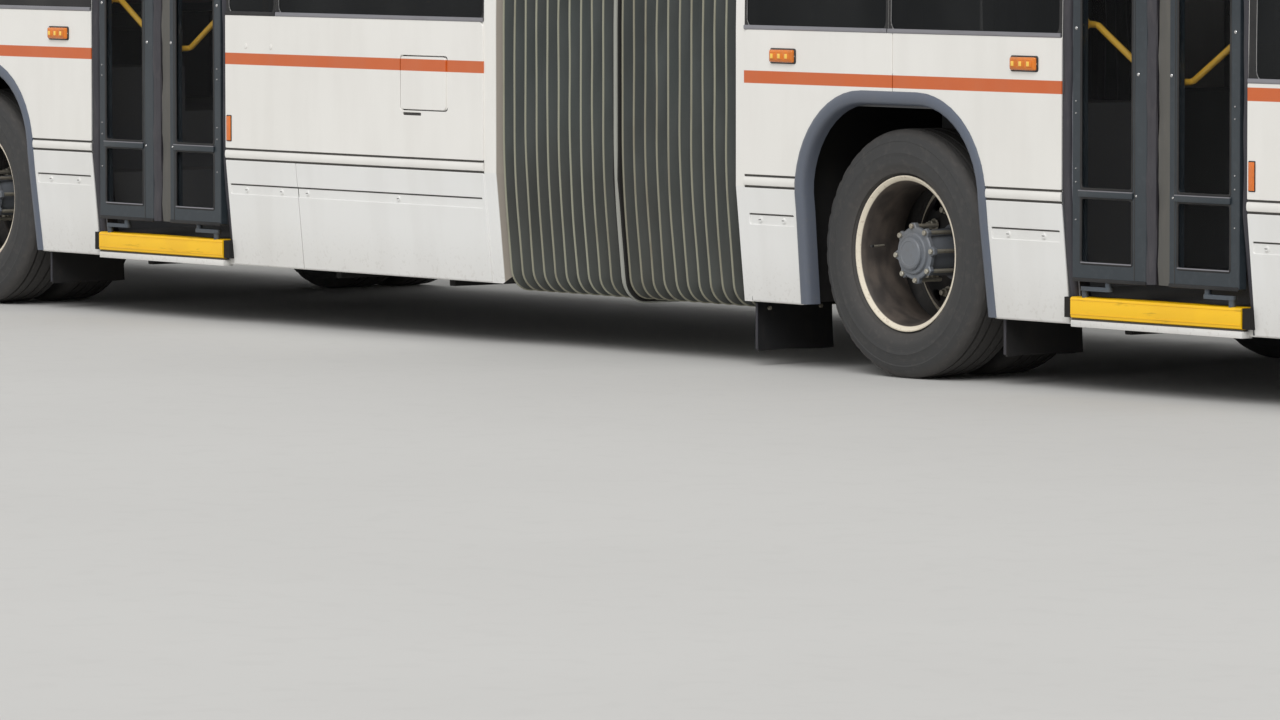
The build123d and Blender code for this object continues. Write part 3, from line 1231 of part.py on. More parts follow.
def handrails(stanchion_xs):
    """Pairs of stanchions with a rail on top of each row."""
    ceiling = ROOF_Z - ROOF_CROWN * RAIL_Y / (HALF_WIDTH - ROOF_LEAN) - ROOF_THICK
    with BuildPart() as rails:
        for s in (-1, 1):
            with BuildSketch(Plane.XY.offset(FLOOR_Z)):
                with Locations(*[(x, s * RAIL_Y) for x in stanchion_xs]):
                    RegularPolygon(RAIL_R, 8)
            extrude(amount=ceiling - FLOOR_Z - 2)
            with BuildSketch(Plane.YZ.offset(min(stanchion_xs) - 100)):
                with Locations((s * RAIL_Y, RAIL_Z)):
                    RegularPolygon(RAIL_R, 8)
            extrude(amount=max(stanchion_xs) - min(stanchion_xs) + 200)
    return rails.part


save(handrails(FRONT_STANCHIONS), "front_handrails")
save(handrails(REAR_STANCHIONS), "rear_handrails")

# Driver's place: dashboard with its column, and the steering wheel
WHEEL_TILT = 25.0
STEERING_X = 8300.0
STEERING_Z = 1230.0
STEERING_R = 245.0
STEERING_RIM_R = 15.0
COLUMN_R = 35.0
COLUMN_LENGTH = 330.0
column_axis = (-sin(radians(WHEEL_TILT)), 0, cos(radians(WHEEL_TILT)))
column_top = Plane(origin=(STEERING_X, DRIVER_Y, STEERING_Z), z_dir=column_axis)
DASH_PROFILE = [(8380, 530), (8380, 1000), (8430, 1180), (8630, 1200), (8830, 1060),
                (8830, 530)]
with BuildPart() as dashboard:
    with BuildSketch(Plane.XZ.offset(-1140)):
        Polygon(*DASH_PROFILE, align=None)
    extrude(amount=840)
    with BuildSketch(column_top.offset(-SEAT_GAP)):
        Circle(COLUMN_R)
    extrude(amount=-COLUMN_LENGTH)
save(dashboard.part, "dashboard")

with BuildPart() as steering_wheel:
    with BuildSketch(column_top):
        Circle(COLUMN_R + 20)
        for k in range(3):
            with Locations(Rotation(0, 0, 90 + 120 * k)):
                with Locations((STEERING_R / 2, 0)):
                    Rectangle(STEERING_R, 32)
    extrude(amount=22)
    with BuildSketch(Plane(origin=column_top.offset(11).origin, x_dir=column_top.x_dir,
                           z_dir=column_top.y_dir)):
        with Locations((STEERING_R, 0)):
            RegularPolygon(STEERING_RIM_R, 8)
    revolve(axis=Axis(column_top.origin, column_axis), revolution_arc=360)
save(steering_wheel.part, "steering_wheel")

# Outside mirrors on arms from the nose corners
MIRROR_X = 8990.0
MIRROR_Y = 1440.0
MIRROR_Z = (1520.0, 1980.0)
MIRROR_WIDTH = 230.0
MIRROR_DEPTH = 90.0
MIRROR_ARM_R = 16.0
MIRROR_ARM_Z = 2140.0
MIRROR_ROOT_X = 8700.0
MIRROR_ELBOW_Y = 1360.0
MIRROR_ARM_SEAT = 10.0
with BuildPart() as mirrors:
    for s in (-1, 1):
        with BuildSketch(Plane.XY.offset(MIRROR_Z[0])):
            with Locations((MIRROR_X, s * MIRROR_Y)):
                RectangleRounded(MIRROR_DEPTH, MIRROR_WIDTH, 30)
        extrude(amount=MIRROR_Z[1] - MIRROR_Z[0])
        with BuildLine() as path:
            Polyline((MIRROR_ROOT_X, s * (outer_y(MIRROR_ARM_Z) + SEAT_GAP), MIRROR_ARM_Z),
                     (MIRROR_ROOT_X, s * MIRROR_ELBOW_Y, MIRROR_ARM_Z),
                     (MIRROR_X, s * MIRROR_Y, MIRROR_ARM_Z),
                     (MIRROR_X, s * MIRROR_Y, MIRROR_Z[1] - MIRROR_ARM_SEAT))
        with BuildSketch(Plane(origin=path.line @ 0, z_dir=(0, s, 0))):
            RegularPolygon(MIRROR_ARM_R, 8)
        sweep(transition=Transition.RIGHT)
save(mirrors.part, "mirrors")


# Doors: each leaf turns on an arm, so that its ends stay on two straight lines
def leaf(centre, sense):
    """Glazed door leaf; sense -1 is the rear leaf of the pair, 1 the front leaf."""
    outer_x = centre + sense * LEAF_OUTER
    middle_x = outer_x - sense * LEAF_WIDTH / 2
    glass_x = outer_x - sense * (LEAF_STILE + LEAF_GLASS_WIDTH / 2)
    panes = [(LEAF_BOTTOM_Z + LEAF_RAIL, CROSSBAR_Z),
             (CROSSBAR_Z + CROSSBAR_HEIGHT, LEAF_TOP_Z - LEAF_RAIL)]
    with BuildPart() as door:
        with BuildSketch(side_plane(0, -LEAF_FACE_Y)):
            with Locations((-middle_x, (LEAF_BOTTOM_Z + LEAF_TOP_Z) / 2)):
                Rectangle(LEAF_WIDTH, LEAF_TOP_Z - LEAF_BOTTOM_Z)
            for z0, z1 in panes:
                with Locations((-glass_x, (z0 + z1) / 2)):
                    Rectangle(LEAF_GLASS_WIDTH, z1 - z0, mode=Mode.SUBTRACT)
        extrude(amount=LEAF_THICK)
        with BuildSketch(side_plane(0, -LEAF_FACE_Y + LEAF_GLASS_THICK)):
            for z0, z1 in panes:
                with Locations((-glass_x, (z0 + z1) / 2)):
                    Rectangle(LEAF_GLASS_WIDTH + 2, z1 - z0 + 2)
        extrude(amount=LEAF_GLASS_THICK)
    return door.part


def leaf_arms(centre, sense):
    """Lower and upper arm of one leaf, each with its stub and its pin."""
    pivot_x = centre + sense * (LEAF_OUTER - ARM_PIVOT_IN)
    pin_x = pivot_x - sense * ARM_LENGTH
    low_arm = LEAF_BOTTOM_Z - 22 - ARM_THICK
    high_arm = LEAF_TOP_Z + 16
    levels = [
        (low_arm, (FLOOR_Z + SEAT_GAP, low_arm), (low_arm, LEAF_BOTTOM_Z - SEAT_GAP)),
        (high_arm, (high_arm, DOOR_TOP_Z - SEAT_GAP), (LEAF_TOP_Z + SEAT_GAP, high_arm)),
    ]
    with BuildPart() as arms:
        for arm_z, stub, pin in levels:
            with BuildSketch(Plane.XY.offset(arm_z)):
                with Locations(((pivot_x + pin_x) / 2, -LEAF_MID_Y)):
                    SlotCenterToCenter(ARM_LENGTH, ARM_WIDTH)
            extrude(amount=ARM_THICK)
            for x, (z0, z1) in ((pivot_x, stub), (pin_x, pin)):
                with BuildSketch(Plane.XY.offset(z0)):
                    with Locations((x, -LEAF_MID_Y)):
                        Circle(ARM_STUB_R)
                extrude(amount=z1 - z0)
    return arms.part


for door, centre in DOOR_CENTRES.items():
    for end, sense in (("rear", -1), ("front", 1)):
        save(leaf(centre, sense), f"{door}_leaf_{end}")
        save(leaf_arms(centre, sense), f"{door}_arms_{end}")
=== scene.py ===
import math
import random

import bmesh
import bpy
import numpy as np
from mathutils import Matrix, Vector
from mathutils.bvhtree import BVHTree
from mathutils.geometry import delaunay_2d_cdt


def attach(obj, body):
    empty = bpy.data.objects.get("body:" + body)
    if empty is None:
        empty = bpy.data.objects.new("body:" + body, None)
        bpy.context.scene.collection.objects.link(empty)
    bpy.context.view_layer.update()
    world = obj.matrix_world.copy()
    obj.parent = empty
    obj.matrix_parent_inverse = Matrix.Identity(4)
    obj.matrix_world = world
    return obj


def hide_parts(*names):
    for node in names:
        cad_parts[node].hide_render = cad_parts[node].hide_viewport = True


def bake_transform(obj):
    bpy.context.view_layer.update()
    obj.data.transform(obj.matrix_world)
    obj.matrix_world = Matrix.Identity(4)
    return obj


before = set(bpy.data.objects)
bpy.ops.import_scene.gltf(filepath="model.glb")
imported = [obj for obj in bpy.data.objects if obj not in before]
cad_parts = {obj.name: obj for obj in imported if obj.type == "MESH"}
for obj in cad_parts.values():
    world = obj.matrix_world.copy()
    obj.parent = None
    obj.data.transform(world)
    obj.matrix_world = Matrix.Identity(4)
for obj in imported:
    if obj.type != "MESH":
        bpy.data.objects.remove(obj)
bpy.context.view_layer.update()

bl_info = {
    "name": "Articulated City Bus",
    "version": (1, 0, 0),
    "blender": (4, 5, 0),
    "location": "View3D > Sidebar > City Bus",
    "description": "Dresses the articulated bus with panels, bellows, wheels and fittings",
    "category": "Object",
}

# Body section, in metres: +X is forward, +Y the driver's side, +Z up
HALF_WIDTH = 1.300
ROOF_Z = 2.880
ROOF_CROWN = 0.030
ROOF_CORNER_R = 0.220
ROOF_LEAN = 0.070
CANT_Z = 2.450
CANT_LEAN = 0.016
BELT_Z = 0.709
LEAN_START_Z = 1.320
SKIRT_Z = 0.257
SKIRT_TUCK = 0.045
WALL_INNER_Y = 1.220
FLOOR_Z = 0.360

# Joint
PIVOT_X = -1.105
FRONT_PORTAL_X = -0.339
FRONT_WALL_X = -0.283
REAR_PORTAL_X = -1.871
REAR_WALL_X = -1.979
HOOP_HALF = 0.020
BELLOWS_INSET = 0.012
BELLOWS_BOTTOM_Z = 0.227
BELLOWS_CORNER_R = 0.100

# Ends
MASK_JOIN_X = 8.650
TAIL_JOIN_X = -8.750
TAIL_X = -9.150

# Wheels and arches
AXLES = {"front": 6.450, "middle": 0.600, "rear": -5.850}
TYRE_R = 0.478
SINGLE_Y = 1.112
TWIN_MID_Y = 0.953
TWIN_HALF = 0.159
STEER_DISC = 0.030
TWIN_DISC = 0.008
ARCH_HALF = 0.565
ARCH_SPLAY = 0.012
ARCH_TOP_Z = 1.096
ARCH_CORNER_R = 0.400
ARCH_BEND_Z = 0.620

# Doors
DOOR_CENTRES = {"door_1": 7.860, "door_2": 2.108, "door_3": -4.315}
DOOR_HALF = 0.510
DOOR_TOP_Z = 2.315
LEAF_OUTER = 0.458
LEAF_INNER = 0.006
LEAF_BOTTOM_Z = 0.425
LEAF_TOP_Z = 2.262
LEAF_FACE_Y = 1.296
LEAF_THICK = 0.036
LEAF_STILE = 0.046
LEAF_GLASS = 0.290
CROSSBAR_Z = 0.735
CROSSBAR_HEIGHT = 0.028
LEAF_RAIL = 0.062

# Windows: start, end and sill of each wall, kerb side -1 and driver's side 1
SILL_HIGH_Z = 1.330
SILL_LOW_Z = 1.185
WINDOW_TOP_Z = 2.240
FRONT_WINDOWS = {
    -1: [(-0.271, 0.575, SILL_HIGH_Z), (0.605, 1.580, SILL_HIGH_Z), (2.660, 4.020, SILL_LOW_Z),
         (4.060, 5.420, SILL_LOW_Z), (5.460, 7.290, SILL_LOW_Z)],
    1: [(-0.271, 0.575, SILL_HIGH_Z), (0.605, 1.580, SILL_HIGH_Z), (1.620, 2.980, SILL_LOW_Z),
        (3.020, 4.380, SILL_LOW_Z), (4.420, 5.780, SILL_LOW_Z), (5.820, 7.180, SILL_LOW_Z),
        (7.240, 8.540, 1.080)],
}
REAR_WINDOWS = {
    -1: [(-6.300, -4.890, SILL_HIGH_Z), (-7.750, -6.340, SILL_HIGH_Z),
         (-3.785, -3.455, SILL_HIGH_Z), (-3.420, -1.987, SILL_HIGH_Z)],
    1: [(-7.750, -6.340, SILL_HIGH_Z), (-6.300, -4.900, SILL_HIGH_Z),
        (-4.860, -3.460, SILL_HIGH_Z), (-3.420, -1.987, SILL_HIGH_Z)],
}
FUEL_DOOR = (-2.550, -2.220, 0.949, 1.177)
FUEL_SLOT = (-2.530, -2.404, 0.929, 0.941)
FUEL_HOLE_CORNER_R = 0.016

# Radius that closes a turned profile on its axis
AXIS_R = 0.0001


def wall_y(z):
    """Half width of the outer skin at height z."""
    if z < BELT_Z:
        return HALF_WIDTH - SKIRT_TUCK * (BELT_Z - z) / (BELT_Z - SKIRT_Z)
    if z < LEAN_START_Z:
        return HALF_WIDTH
    return HALF_WIDTH - CANT_LEAN * (z - LEAN_START_Z) / (CANT_Z - LEAN_START_Z)


def on_wall(side):
    """Turns (along, up, proud) into a point on one wall; side -1 is the kerb side."""
    return lambda x, z, proud: (x, side * (wall_y(z) + proud), z)


# Finishes


def rgb(red, green, blue):
    """Linear colour from the usual 0 to 255 values."""
    def linear(value):
        value /= 255
        return value / 12.92 if value <= 0.04045 else ((value + 0.055) / 1.055) ** 2.4
    return (linear(red), linear(green), linear(blue), 1.0)


class Value:
    """A node's output that adds, multiplies and compares like a number."""

    def __init__(self, paint, socket):
        self.paint, self.socket = paint, socket

    def _math(self, operation, *values):
        return self.paint.node("ShaderNodeMath", {"operation": operation},
                               dict(enumerate(values)))

    def __add__(self, other):
        return self._math("ADD", self, other)

    def __sub__(self, other):
        return self._math("SUBTRACT", self, other)

    def __rsub__(self, other):
        return self._math("SUBTRACT", other, self)

    def __mul__(self, other):
        return self._math("MULTIPLY", self, other)

    def __pow__(self, other):
        return self._math("POWER", self, other)

    __radd__, __rmul__ = __add__, __mul__

    def over(self, edge, soft=0.001):
        """0 below edge and 1 above it, with a soft step."""
        return self.paint.node("ShaderNodeMapRange", {"interpolation_type": "SMOOTHSTEP"},
                               {0: self, 1: edge - soft, 2: edge + soft, 3: 0.0, 4: 1.0})

    def between(self, low, high):
        return self.over(low) * (1 - self.over(high))

    def size(self):
        return self._math("ABSOLUTE", self)

    def wave(self):
        return self._math("SINE", self)


class Paint:
    """One procedural finish and the means to add nodes to it."""

    def __init__(self, name, **constants):
        self.material = bpy.data.materials.new(name)
        self.material.use_nodes = True
        self.tree = self.material.node_tree
        self.shader = self.tree.nodes["Principled BSDF"]
        self.coordinates = self.node("ShaderNodeTexCoord", output="Object")
        for socket, value in constants.items():
            self.set(socket.replace("_", " ").title().replace("Ior", "IOR"), value)

    def set(self, socket, value):
        self.feed(self.shader.inputs[socket], value)

    def feed(self, socket, value):
        if isinstance(value, Value):
            self.tree.links.new(value.socket, socket)
        else:
            socket.default_value = value

    def node(self, kind, settings=None, inputs=None, output=0):
        """Adds a node: its settings first, then the values or links of its sockets."""
        made = self.tree.nodes.new(kind)
        for key, value in (settings or {}).items():
            setattr(made, key, value)
        for key, value in (inputs or {}).items():
            self.feed(made.inputs[key], value)
        return Value(self, made.outputs[output])

    def axis(self, index):
        return self.node("ShaderNodeSeparateXYZ", inputs={0: self.coordinates}, output=index)

    def stretched(self, stretch):
        return self.node("ShaderNodeVectorMath", {"operation": "MULTIPLY"},
                         {0: self.coordinates, 1: stretch})

    def noise(self, scale, detail=3.0, stretch=(1, 1, 1)):
        return self.node("ShaderNodeTexNoise",
                         inputs={"Vector": self.stretched(stretch), "Scale": scale,
                                 "Detail": detail})

    def cells(self, scale):
        return self.node("ShaderNodeTexVoronoi",
                         inputs={"Vector": self.stretched((1, 1, 1)), "Scale": scale})

    def radius(self):
        """Distance from the local Y axis, for turned parts."""
        flat = self.stretched((1, 0, 1))
        return self.node("ShaderNodeVectorMath", {"operation": "LENGTH"}, {0: flat}, "Value")

    def mix(self, amount, first, second):
        return self.node("ShaderNodeMix", {"data_type": "RGBA"},
                         {0: amount, 6: first, 7: second}, 2)

    def bump(self, height, distance, strength=1.0):
        self.set("Normal", self.node("ShaderNodeBump",
                                     inputs={"Height": height, "Distance": distance,
                                             "Strength": strength}, output="Normal"))


def shade(look, colour):
    """Linear colour of 0 to 255 values, or of the look's property with that name."""
    return getattr(look, colour) if isinstance(colour, str) else rgb(*colour)


def coach_paint(name, look, stripe=False, lip=False):
    """White enamel with soft grime, cooler on the skirts, and the stripe and lip where wanted."""
    paint = Paint(name, coat_weight=0.35, coat_roughness=0.08)
    z, side = paint.axis(2), paint.axis(1).size()
    colour = paint.mix(z.over(BELT_Z, 0.004), look.skirt_white, look.body_white)
    cloud = paint.noise(1.3, 4.0, (1, 1, 1.5))
    colour = paint.mix(cloud.over(0.5, 0.25) * 0.25, colour, rgb(224, 222, 215))
    if stripe:
        band = z.between(look.stripe_low, look.stripe_high) * side.over(1.29)
        faded = paint.mix(paint.noise(6.0, 3.0), look.stripe, rgb(212, 104, 44))
        colour = paint.mix(band, colour, faded)
    # Painted shade: grey-beige on the rear portal's rounded lip, where its curve turns from the
    # light
    if lip:
        x = paint.axis(0)
        edge = x.over(PORTAL_LIP_X, 0.002) * (1 - x.over(PIVOT_X))
        colour = paint.mix(edge, colour, rgb(142, 134, 124))
    low = 1 - z.over(0.36, 0.14)
    streak = paint.noise(7.0, 5.0, (1, 1, 0.16)).over(0.54, 0.12)
    speck = paint.noise(55.0, 2.0).over(0.62, 0.05)
    grime = low * 0.16 + streak * 0.05 + low * speck * 0.12
    paint.set("Base Color", paint.mix(grime, colour, look.road_grime))
    paint.set("Roughness", 0.26 + grime * 0.6 + cloud * 0.05)
    paint.bump(paint.noise(2.2, 1.0) + paint.noise(420.0, 1.0) * 0.02, 0.002, 0.35)
    return paint.material


def worn(name, look, base, dust, rough=0.5, grain=30.0, amount=0.4, metal=0.0,
         stretch=(1, 1, 1), depth=0.0004, **constants):
    """A plain finish with cloudy dust, small specks and a fine surface grain."""
    paint = Paint(name, **constants)
    cloud = paint.noise(grain * 0.12, 4.0, stretch).over(0.52, 0.2)
    speck = paint.noise(grain * 2.5, 3.0, stretch).over(0.6, 0.08)
    mask = cloud * amount + speck * amount * 0.5
    paint.set("Base Color", paint.mix(mask, shade(look, base), rgb(*dust)))
    paint.set("Roughness", rough + mask * 0.25)
    if metal:
        paint.set("Metallic", metal - mask * metal * 0.7)
    paint.bump(paint.noise(400.0, 2.0, stretch), depth, 0.6)
    return paint.material


def bellows_cloth(name, look):
    """Coated fabric: a fine weave, rain streaks down the folds and dust towards the foot."""
    paint = Paint(name, sheen_weight=0.12, sheen_roughness=0.6)
    z = paint.axis(2)
    from_bead = (paint.axis(0) - PIVOT_X).size() - (FRONT_PORTAL_X - PIVOT_X - BEAD_SETBACK)
    # Painted shade: 0 at the beads and 1 in the middle of each fold
    fold_shade = 0.5 - (from_bead * (math.tau / PLEAT_PITCH) + math.pi / 2).wave() * 0.5
    streak = paint.noise(9.0, 5.0, (1, 1, 0.12))
    patch = paint.noise(2.4, 3.0)
    colour = paint.mix(streak, look.bellows_cloth, rgb(78, 84, 82))
    colour = paint.mix(patch.over(0.55, 0.2) * 0.5, colour, rgb(54, 54, 50))
    # Painted shade in the bottom of each fold
    colour = paint.mix(fold_shade ** 1.4 * 0.7, colour, rgb(28, 31, 33))
    dusty = (1 - z.over(0.75, 0.5)) * (0.10 + streak * 0.30)
    paint.set("Base Color", paint.mix(dusty, colour, rgb(86, 82, 72)))
    paint.set("Roughness", 0.62 + patch * 0.2)
    weave = (z * 2600.0).wave() * 0.5 + (paint.axis(0) * 2600.0).wave() * 0.5
    crease = paint.noise(26.0, 4.0, (1, 1, 0.25))
    paint.bump(weave * 0.12 + crease, 0.0016, 0.6)
    return paint.material


def tyre_rubber(name, look):
    """Tyre rubber: brown road dust low on the sidewall, scuffs and a dusty tread."""
    paint = Paint(name)
    r = paint.radius()
    ring = paint.noise(3.0, 4.0)
    dust = (1 - r.over(0.335, 0.035)) * 0.35 + r.over(0.455, 0.012) * 0.30
    scuff = paint.noise(38.0, 5.0, (1, 3, 1)).over(0.60, 0.06) * 0.15
    mask = dust * (0.6 + ring * 0.3) + scuff
    paint.set("Base Color", paint.mix(mask, rgb(60, 60, 60), rgb(98, 92, 87)))
    paint.set("Roughness", 0.68 + ring * 0.2)
    paint.bump(paint.noise(300.0, 3.0) + (r * 900.0).wave() * 0.15, 0.0007, 0.7)
    return paint.material


def wheel_steel(name, look):
    """Painted steel rim: a cream flange, and a barrel browned with brake and road dust."""
    paint = Paint(name)
    r = paint.radius()
    lip = r.over(0.2795, 0.0015)
    chips = paint.noise(70.0, 4.0).over(0.63, 0.03)
    cream = paint.mix(chips * 0.25, rgb(232, 222, 202), rgb(140, 110, 84))
    cloud = paint.noise(9.0, 5.0, (1, 2, 1))
    # Barrel and disc: brake and road dust, darkened further as painted shade inside the deep dish
    barrel = paint.mix(cloud.over(0.5, 0.2), rgb(56, 51, 48), rgb(88, 79, 72))
    disc = paint.mix(cloud.over(0.55, 0.15), rgb(24, 24, 25), rgb(52, 46, 42))
    inner = paint.mix(r.over(0.245, 0.012), disc, barrel)
    paint.set("Base Color", paint.mix(lip, inner, cream))
    paint.set("Roughness", 0.45 + cloud * 0.35)
    paint.bump(cloud + paint.noise(240.0, 2.0) * 0.2, 0.0008, 0.6)
    return paint.material


def lens(name, look, colour, clear, ribs=(0, 900.0, 0)):
    """Moulded lamp lens with fine flutes on its inside."""
    paint = Paint(name, coat_weight=0.6, transmission_weight=clear, ior=1.49)
    haze = paint.noise(24.0, 3.0)
    paint.set("Base Color", paint.mix(haze.over(0.6, 0.15) * 0.25, shade(look, colour),
                                      rgb(120, 84, 50)))
    paint.set("Roughness", 0.10 + haze * 0.12)
    flute = paint.node("ShaderNodeVectorMath", {"operation": "DOT_PRODUCT"},
                       {0: paint.coordinates, 1: ribs}, "Value")
    paint.bump(flute.wave(), 0.0006, 0.5)
    return paint.material


def tinted_glass(name, look, colour, alpha):
    """Tinted safety glass with a thin film of dust."""
    paint = Paint(name, alpha=alpha, specular_ior_level=0.16)
    film = paint.noise(2.0, 5.0, (1, 1, 0.4)).over(0.5, 0.2)
    paint.set("Base Color", paint.mix(film * 0.05, shade(look, colour), rgb(120, 122, 122)))
    paint.set("Roughness", 0.03 + film * 0.07)
    paint.bump(paint.noise(1.1, 1.0), 0.0015, 0.25)
    return paint.material


def step_paint(name, look):
    """Thick yellow step paint, scuffed and stained along the step."""
    paint = Paint(name, coat_weight=0.2)
    scuff = paint.noise(16.0, 6.0, (0.35, 1, 3.0)).over(0.66, 0.05)
    stain = paint.noise(5.0, 4.0).over(0.56, 0.14)
    colour = paint.mix(stain * 0.30, look.step_yellow, rgb(234, 176, 10))
    paint.set("Base Color", paint.mix(scuff * 0.40, colour, rgb(140, 110, 40)))
    paint.set("Roughness", 0.42 + scuff * 0.3)
    paint.bump(paint.noise(90.0, 3.0), 0.0008, 0.5)
    return paint.material


def seat_cloth(name, look):
    """Flecked hard-wearing seat cloth on a dark ground."""
    paint = Paint(name, sheen_weight=0.4)
    fleck = paint.cells(90.0).over(0.42, 0.05)
    tone = paint.noise(260.0, 2.0)
    ground = paint.mix(tone, rgb(38, 50, 84), rgb(58, 72, 108))
    paint.set("Base Color", paint.mix(fleck * 0.5, ground, rgb(150, 84, 60)))
    paint.set("Roughness", 0.9 - tone * 0.1)
    paint.bump(paint.noise(900.0, 2.0), 0.0008, 0.8)
    return paint.material


def cab_floor(name, look, ribs=0.0):
    """Speckled non-slip floor covering, ribbed on the turning plate."""
    paint = Paint(name)
    grit = paint.noise(480.0, 2.0)
    walked = paint.noise(1.6, 4.0).over(0.5, 0.2)
    colour = paint.mix(grit.over(0.58, 0.04), rgb(66, 68, 72), rgb(128, 128, 126))
    paint.set("Base Color", paint.mix(walked * 0.4, colour, rgb(96, 88, 78)))
    paint.set("Roughness", 0.72 - walked * 0.15)
    paint.bump(grit + (paint.axis(0) * ribs).wave() * (0.8 if ribs else 0.0), 0.001, 0.7)
    return paint.material


# Each finish: its maker and the maker's values, with any named ones in a dict at the end.
# For worn these are base and dust colour, roughness, grain, amount of dust and metal.
FINISHES = {
    "coach_side": (coach_paint, True),
    "coach_white": (coach_paint,),
    # portal_white carries painted shade on the rear portal's rounded lip
    "portal_white": (coach_paint, False, True),
    "roof_white": (worn, (222, 222, 218), (168, 164, 154), 0.4, 5, 0.45),
    # seam: dark joint lines, and also the painted shadow under each skirt recess's top edge
    "seam": (worn, (66, 64, 62), (84, 80, 74), 0.8),
    "door_glass": (tinted_glass, (12, 12, 15), 0.16),
    "side_glass": (tinted_glass, (10, 13, 15), 0.84),
    "screen_glass": (tinted_glass, (18, 24, 24), 0.50),
    "mirror_glass": (worn, (220, 224, 226), (160, 160, 158), 0.03, 6, 0.1, 1.0, {"depth": 0.0}),
    "door_frame": (worn, "door_frame", (74, 80, 84), 0.38, 14, 0.3, {"coat_weight": 0.15}),
    "gasket": (worn, (24, 24, 26), (72, 70, 68), 0.55, 40, 0.3),
    "jamb_rubber": (worn, (44, 44, 52), (84, 80, 82), 0.5, 22, 0.4, {"stretch": (1, 1, 0.2)}),
    # Light copy of the jamb rubber: painted highlight along the seal's bulge
    "jamb_edge": (worn, (122, 124, 132), (96, 94, 96), 0.4, 22, 0.4, {"stretch": (1, 1, 0.2)}),
    "seal_rubber": (worn, (84, 83, 79), (104, 100, 94), 0.6, 18, 0.5, {"stretch": (1, 1, 0.15)}),
    # Arch rubber: its own dark blue-black, lightened as a painted sheen of light on the satin lip
    "arch_rubber": (worn, (92, 100, 114), (108, 108, 112), 0.30, 16, 0.3),
    "flap_rubber": (worn, (20, 20, 22), (52, 48, 44), 0.7, 14, 0.5, {"stretch": (1, 1, 0.4)}),
    "tyre_rubber": (tyre_rubber,),
    "bellows_cloth": (bellows_cloth,),
    "bellows_bead": (worn, "bellows_bead", (112, 102, 86), 0.5, 20, 0.5,
                     {"stretch": (1, 1, 0.1)}),
    "hoop_metal": (worn, (166, 168, 160), (128, 124, 116), 0.42, 18, 0.35,
                   {"stretch": (1, 1, 0.1)}),
    "aluminium": (worn, (150, 150, 156), (116, 112, 112), 0.36, 20, 0.3, 0.55,
                  {"stretch": (0.2, 1, 1)}),
    "arm_steel": (worn, (84, 92, 100), (58, 52, 48), 0.4, 22, 0.35, 0.3),
    "wheel_steel": (wheel_steel,),
    "hub_metal": (worn, (118, 123, 130), (104, 98, 90), 0.4, 26, 0.3, 0.12),
    "nut_steel": (worn, (178, 174, 160), (104, 84, 66), 0.38, 60, 0.4, 0.45),
    "bright_steel": (worn, (205, 205, 205), (140, 134, 126), 0.2, 40, 0.2, 0.95),
    "engine_cast": (worn, (96, 96, 94), (60, 50, 42), 0.55, 14, 0.6, 0.5),
    "reflector": (worn, (214, 216, 220), (170, 168, 160), 0.12, 30, 0.15, 1.0),
    # Black of the axles and the underside, darkened further as painted shade under the bus
    "axle_black": (worn, (22, 22, 22), (58, 52, 46), 0.6, 10, 0.45),
    "under_black": (worn, (16, 16, 17), (42, 38, 34), 0.8, 6, 0.4),
    "step_yellow": (step_paint,),
    "rail_yellow": (worn, (232, 184, 60), (168, 132, 60), 0.35, 20, 0.25, {"coat_weight": 0.3}),
    "amber_lens": (lens, "lamp_amber", 0.12),
    "red_lens": (lens, (190, 18, 14), 0.25),
    "clear_lens": (lens, (236, 238, 240), 0.85),
    "amber_reflex": (lens, (236, 120, 26), 0.05, (700.0, 0, 700.0)),
    "bulb_glow": (worn, (255, 214, 96), (240, 170, 60), 0.2, 30, 0.2),
    "black_plastic": (worn, (28, 29, 31), (76, 74, 72), 0.5, 24, 0.3),
    "bumper_grey": (worn, (58, 60, 64), (100, 98, 94), 0.6, 10, 0.35),
    "blank_plate": (worn, (226, 226, 222), (180, 176, 168), 0.4, 12, 0.25),
    "cab_grey": (worn, (104, 106, 110), (134, 132, 126), 0.55, 20, 0.3),
    "cab_floor": (cab_floor,),
    "ribbed_floor": (cab_floor, 320.0),
    "seat_shell": (worn, (70, 78, 94), (104, 104, 106), 0.4, 24, 0.25),
    "seat_cloth": (seat_cloth,),
    "pale_floor": (worn, (206, 205, 202), (196, 195, 192), 0.9, 3, 0.3),
}
made_finishes = {}


def finish(name):
    """The material of that finish, made once."""
    if name not in made_finishes:
        maker, *values = FINISHES[name]
        named = values.pop() if values and isinstance(values[-1], dict) else {}
        made_finishes[name] = maker(name, bpy.context.scene.bus_look, *values, **named)
    return made_finishes[name]


# Shapes


def rounded(corners, steps=5):
    """Closed outline whose corners, each (u, v, radius), are rounded."""
    out = []
    for i, (u, v, r) in enumerate(corners):
        here = Vector((u, v))
        if r <= 0:
            out.append(here)
            continue
        before = (Vector(corners[i - 1][:2]) - here).normalized()
        after = (Vector(corners[(i + 1) % len(corners)][:2]) - here).normalized()
        half = before.angle(after) / 2
        centre = here + (before + after).normalized() * (r / math.sin(half))
        start = here + before * (r / math.tan(half)) - centre
        end = here + after * (r / math.tan(half)) - centre
        sweep = math.atan2(start.x * end.y - start.y * end.x, start.dot(end))
        for k in range(steps + 1):
            a = sweep * k / steps
            out.append(centre + Vector((start.x * math.cos(a) - start.y * math.sin(a),
                                        start.x * math.sin(a) + start.y * math.cos(a))))
    return out


def rect(u0, u1, v0, v1, r=0.0, steps=4):
    return rounded([(u0, v0, r), (u1, v0, r), (u1, v1, r), (u0, v1, r)], steps)


def ring_of(count, r=1.0, turn=0.0):
    """Points (u, v) spaced evenly round a circle; turn is in steps."""
    angles = [(k + turn) * math.tau / count for k in range(count)]
    return [(r * math.cos(a), r * math.sin(a)) for a in angles]


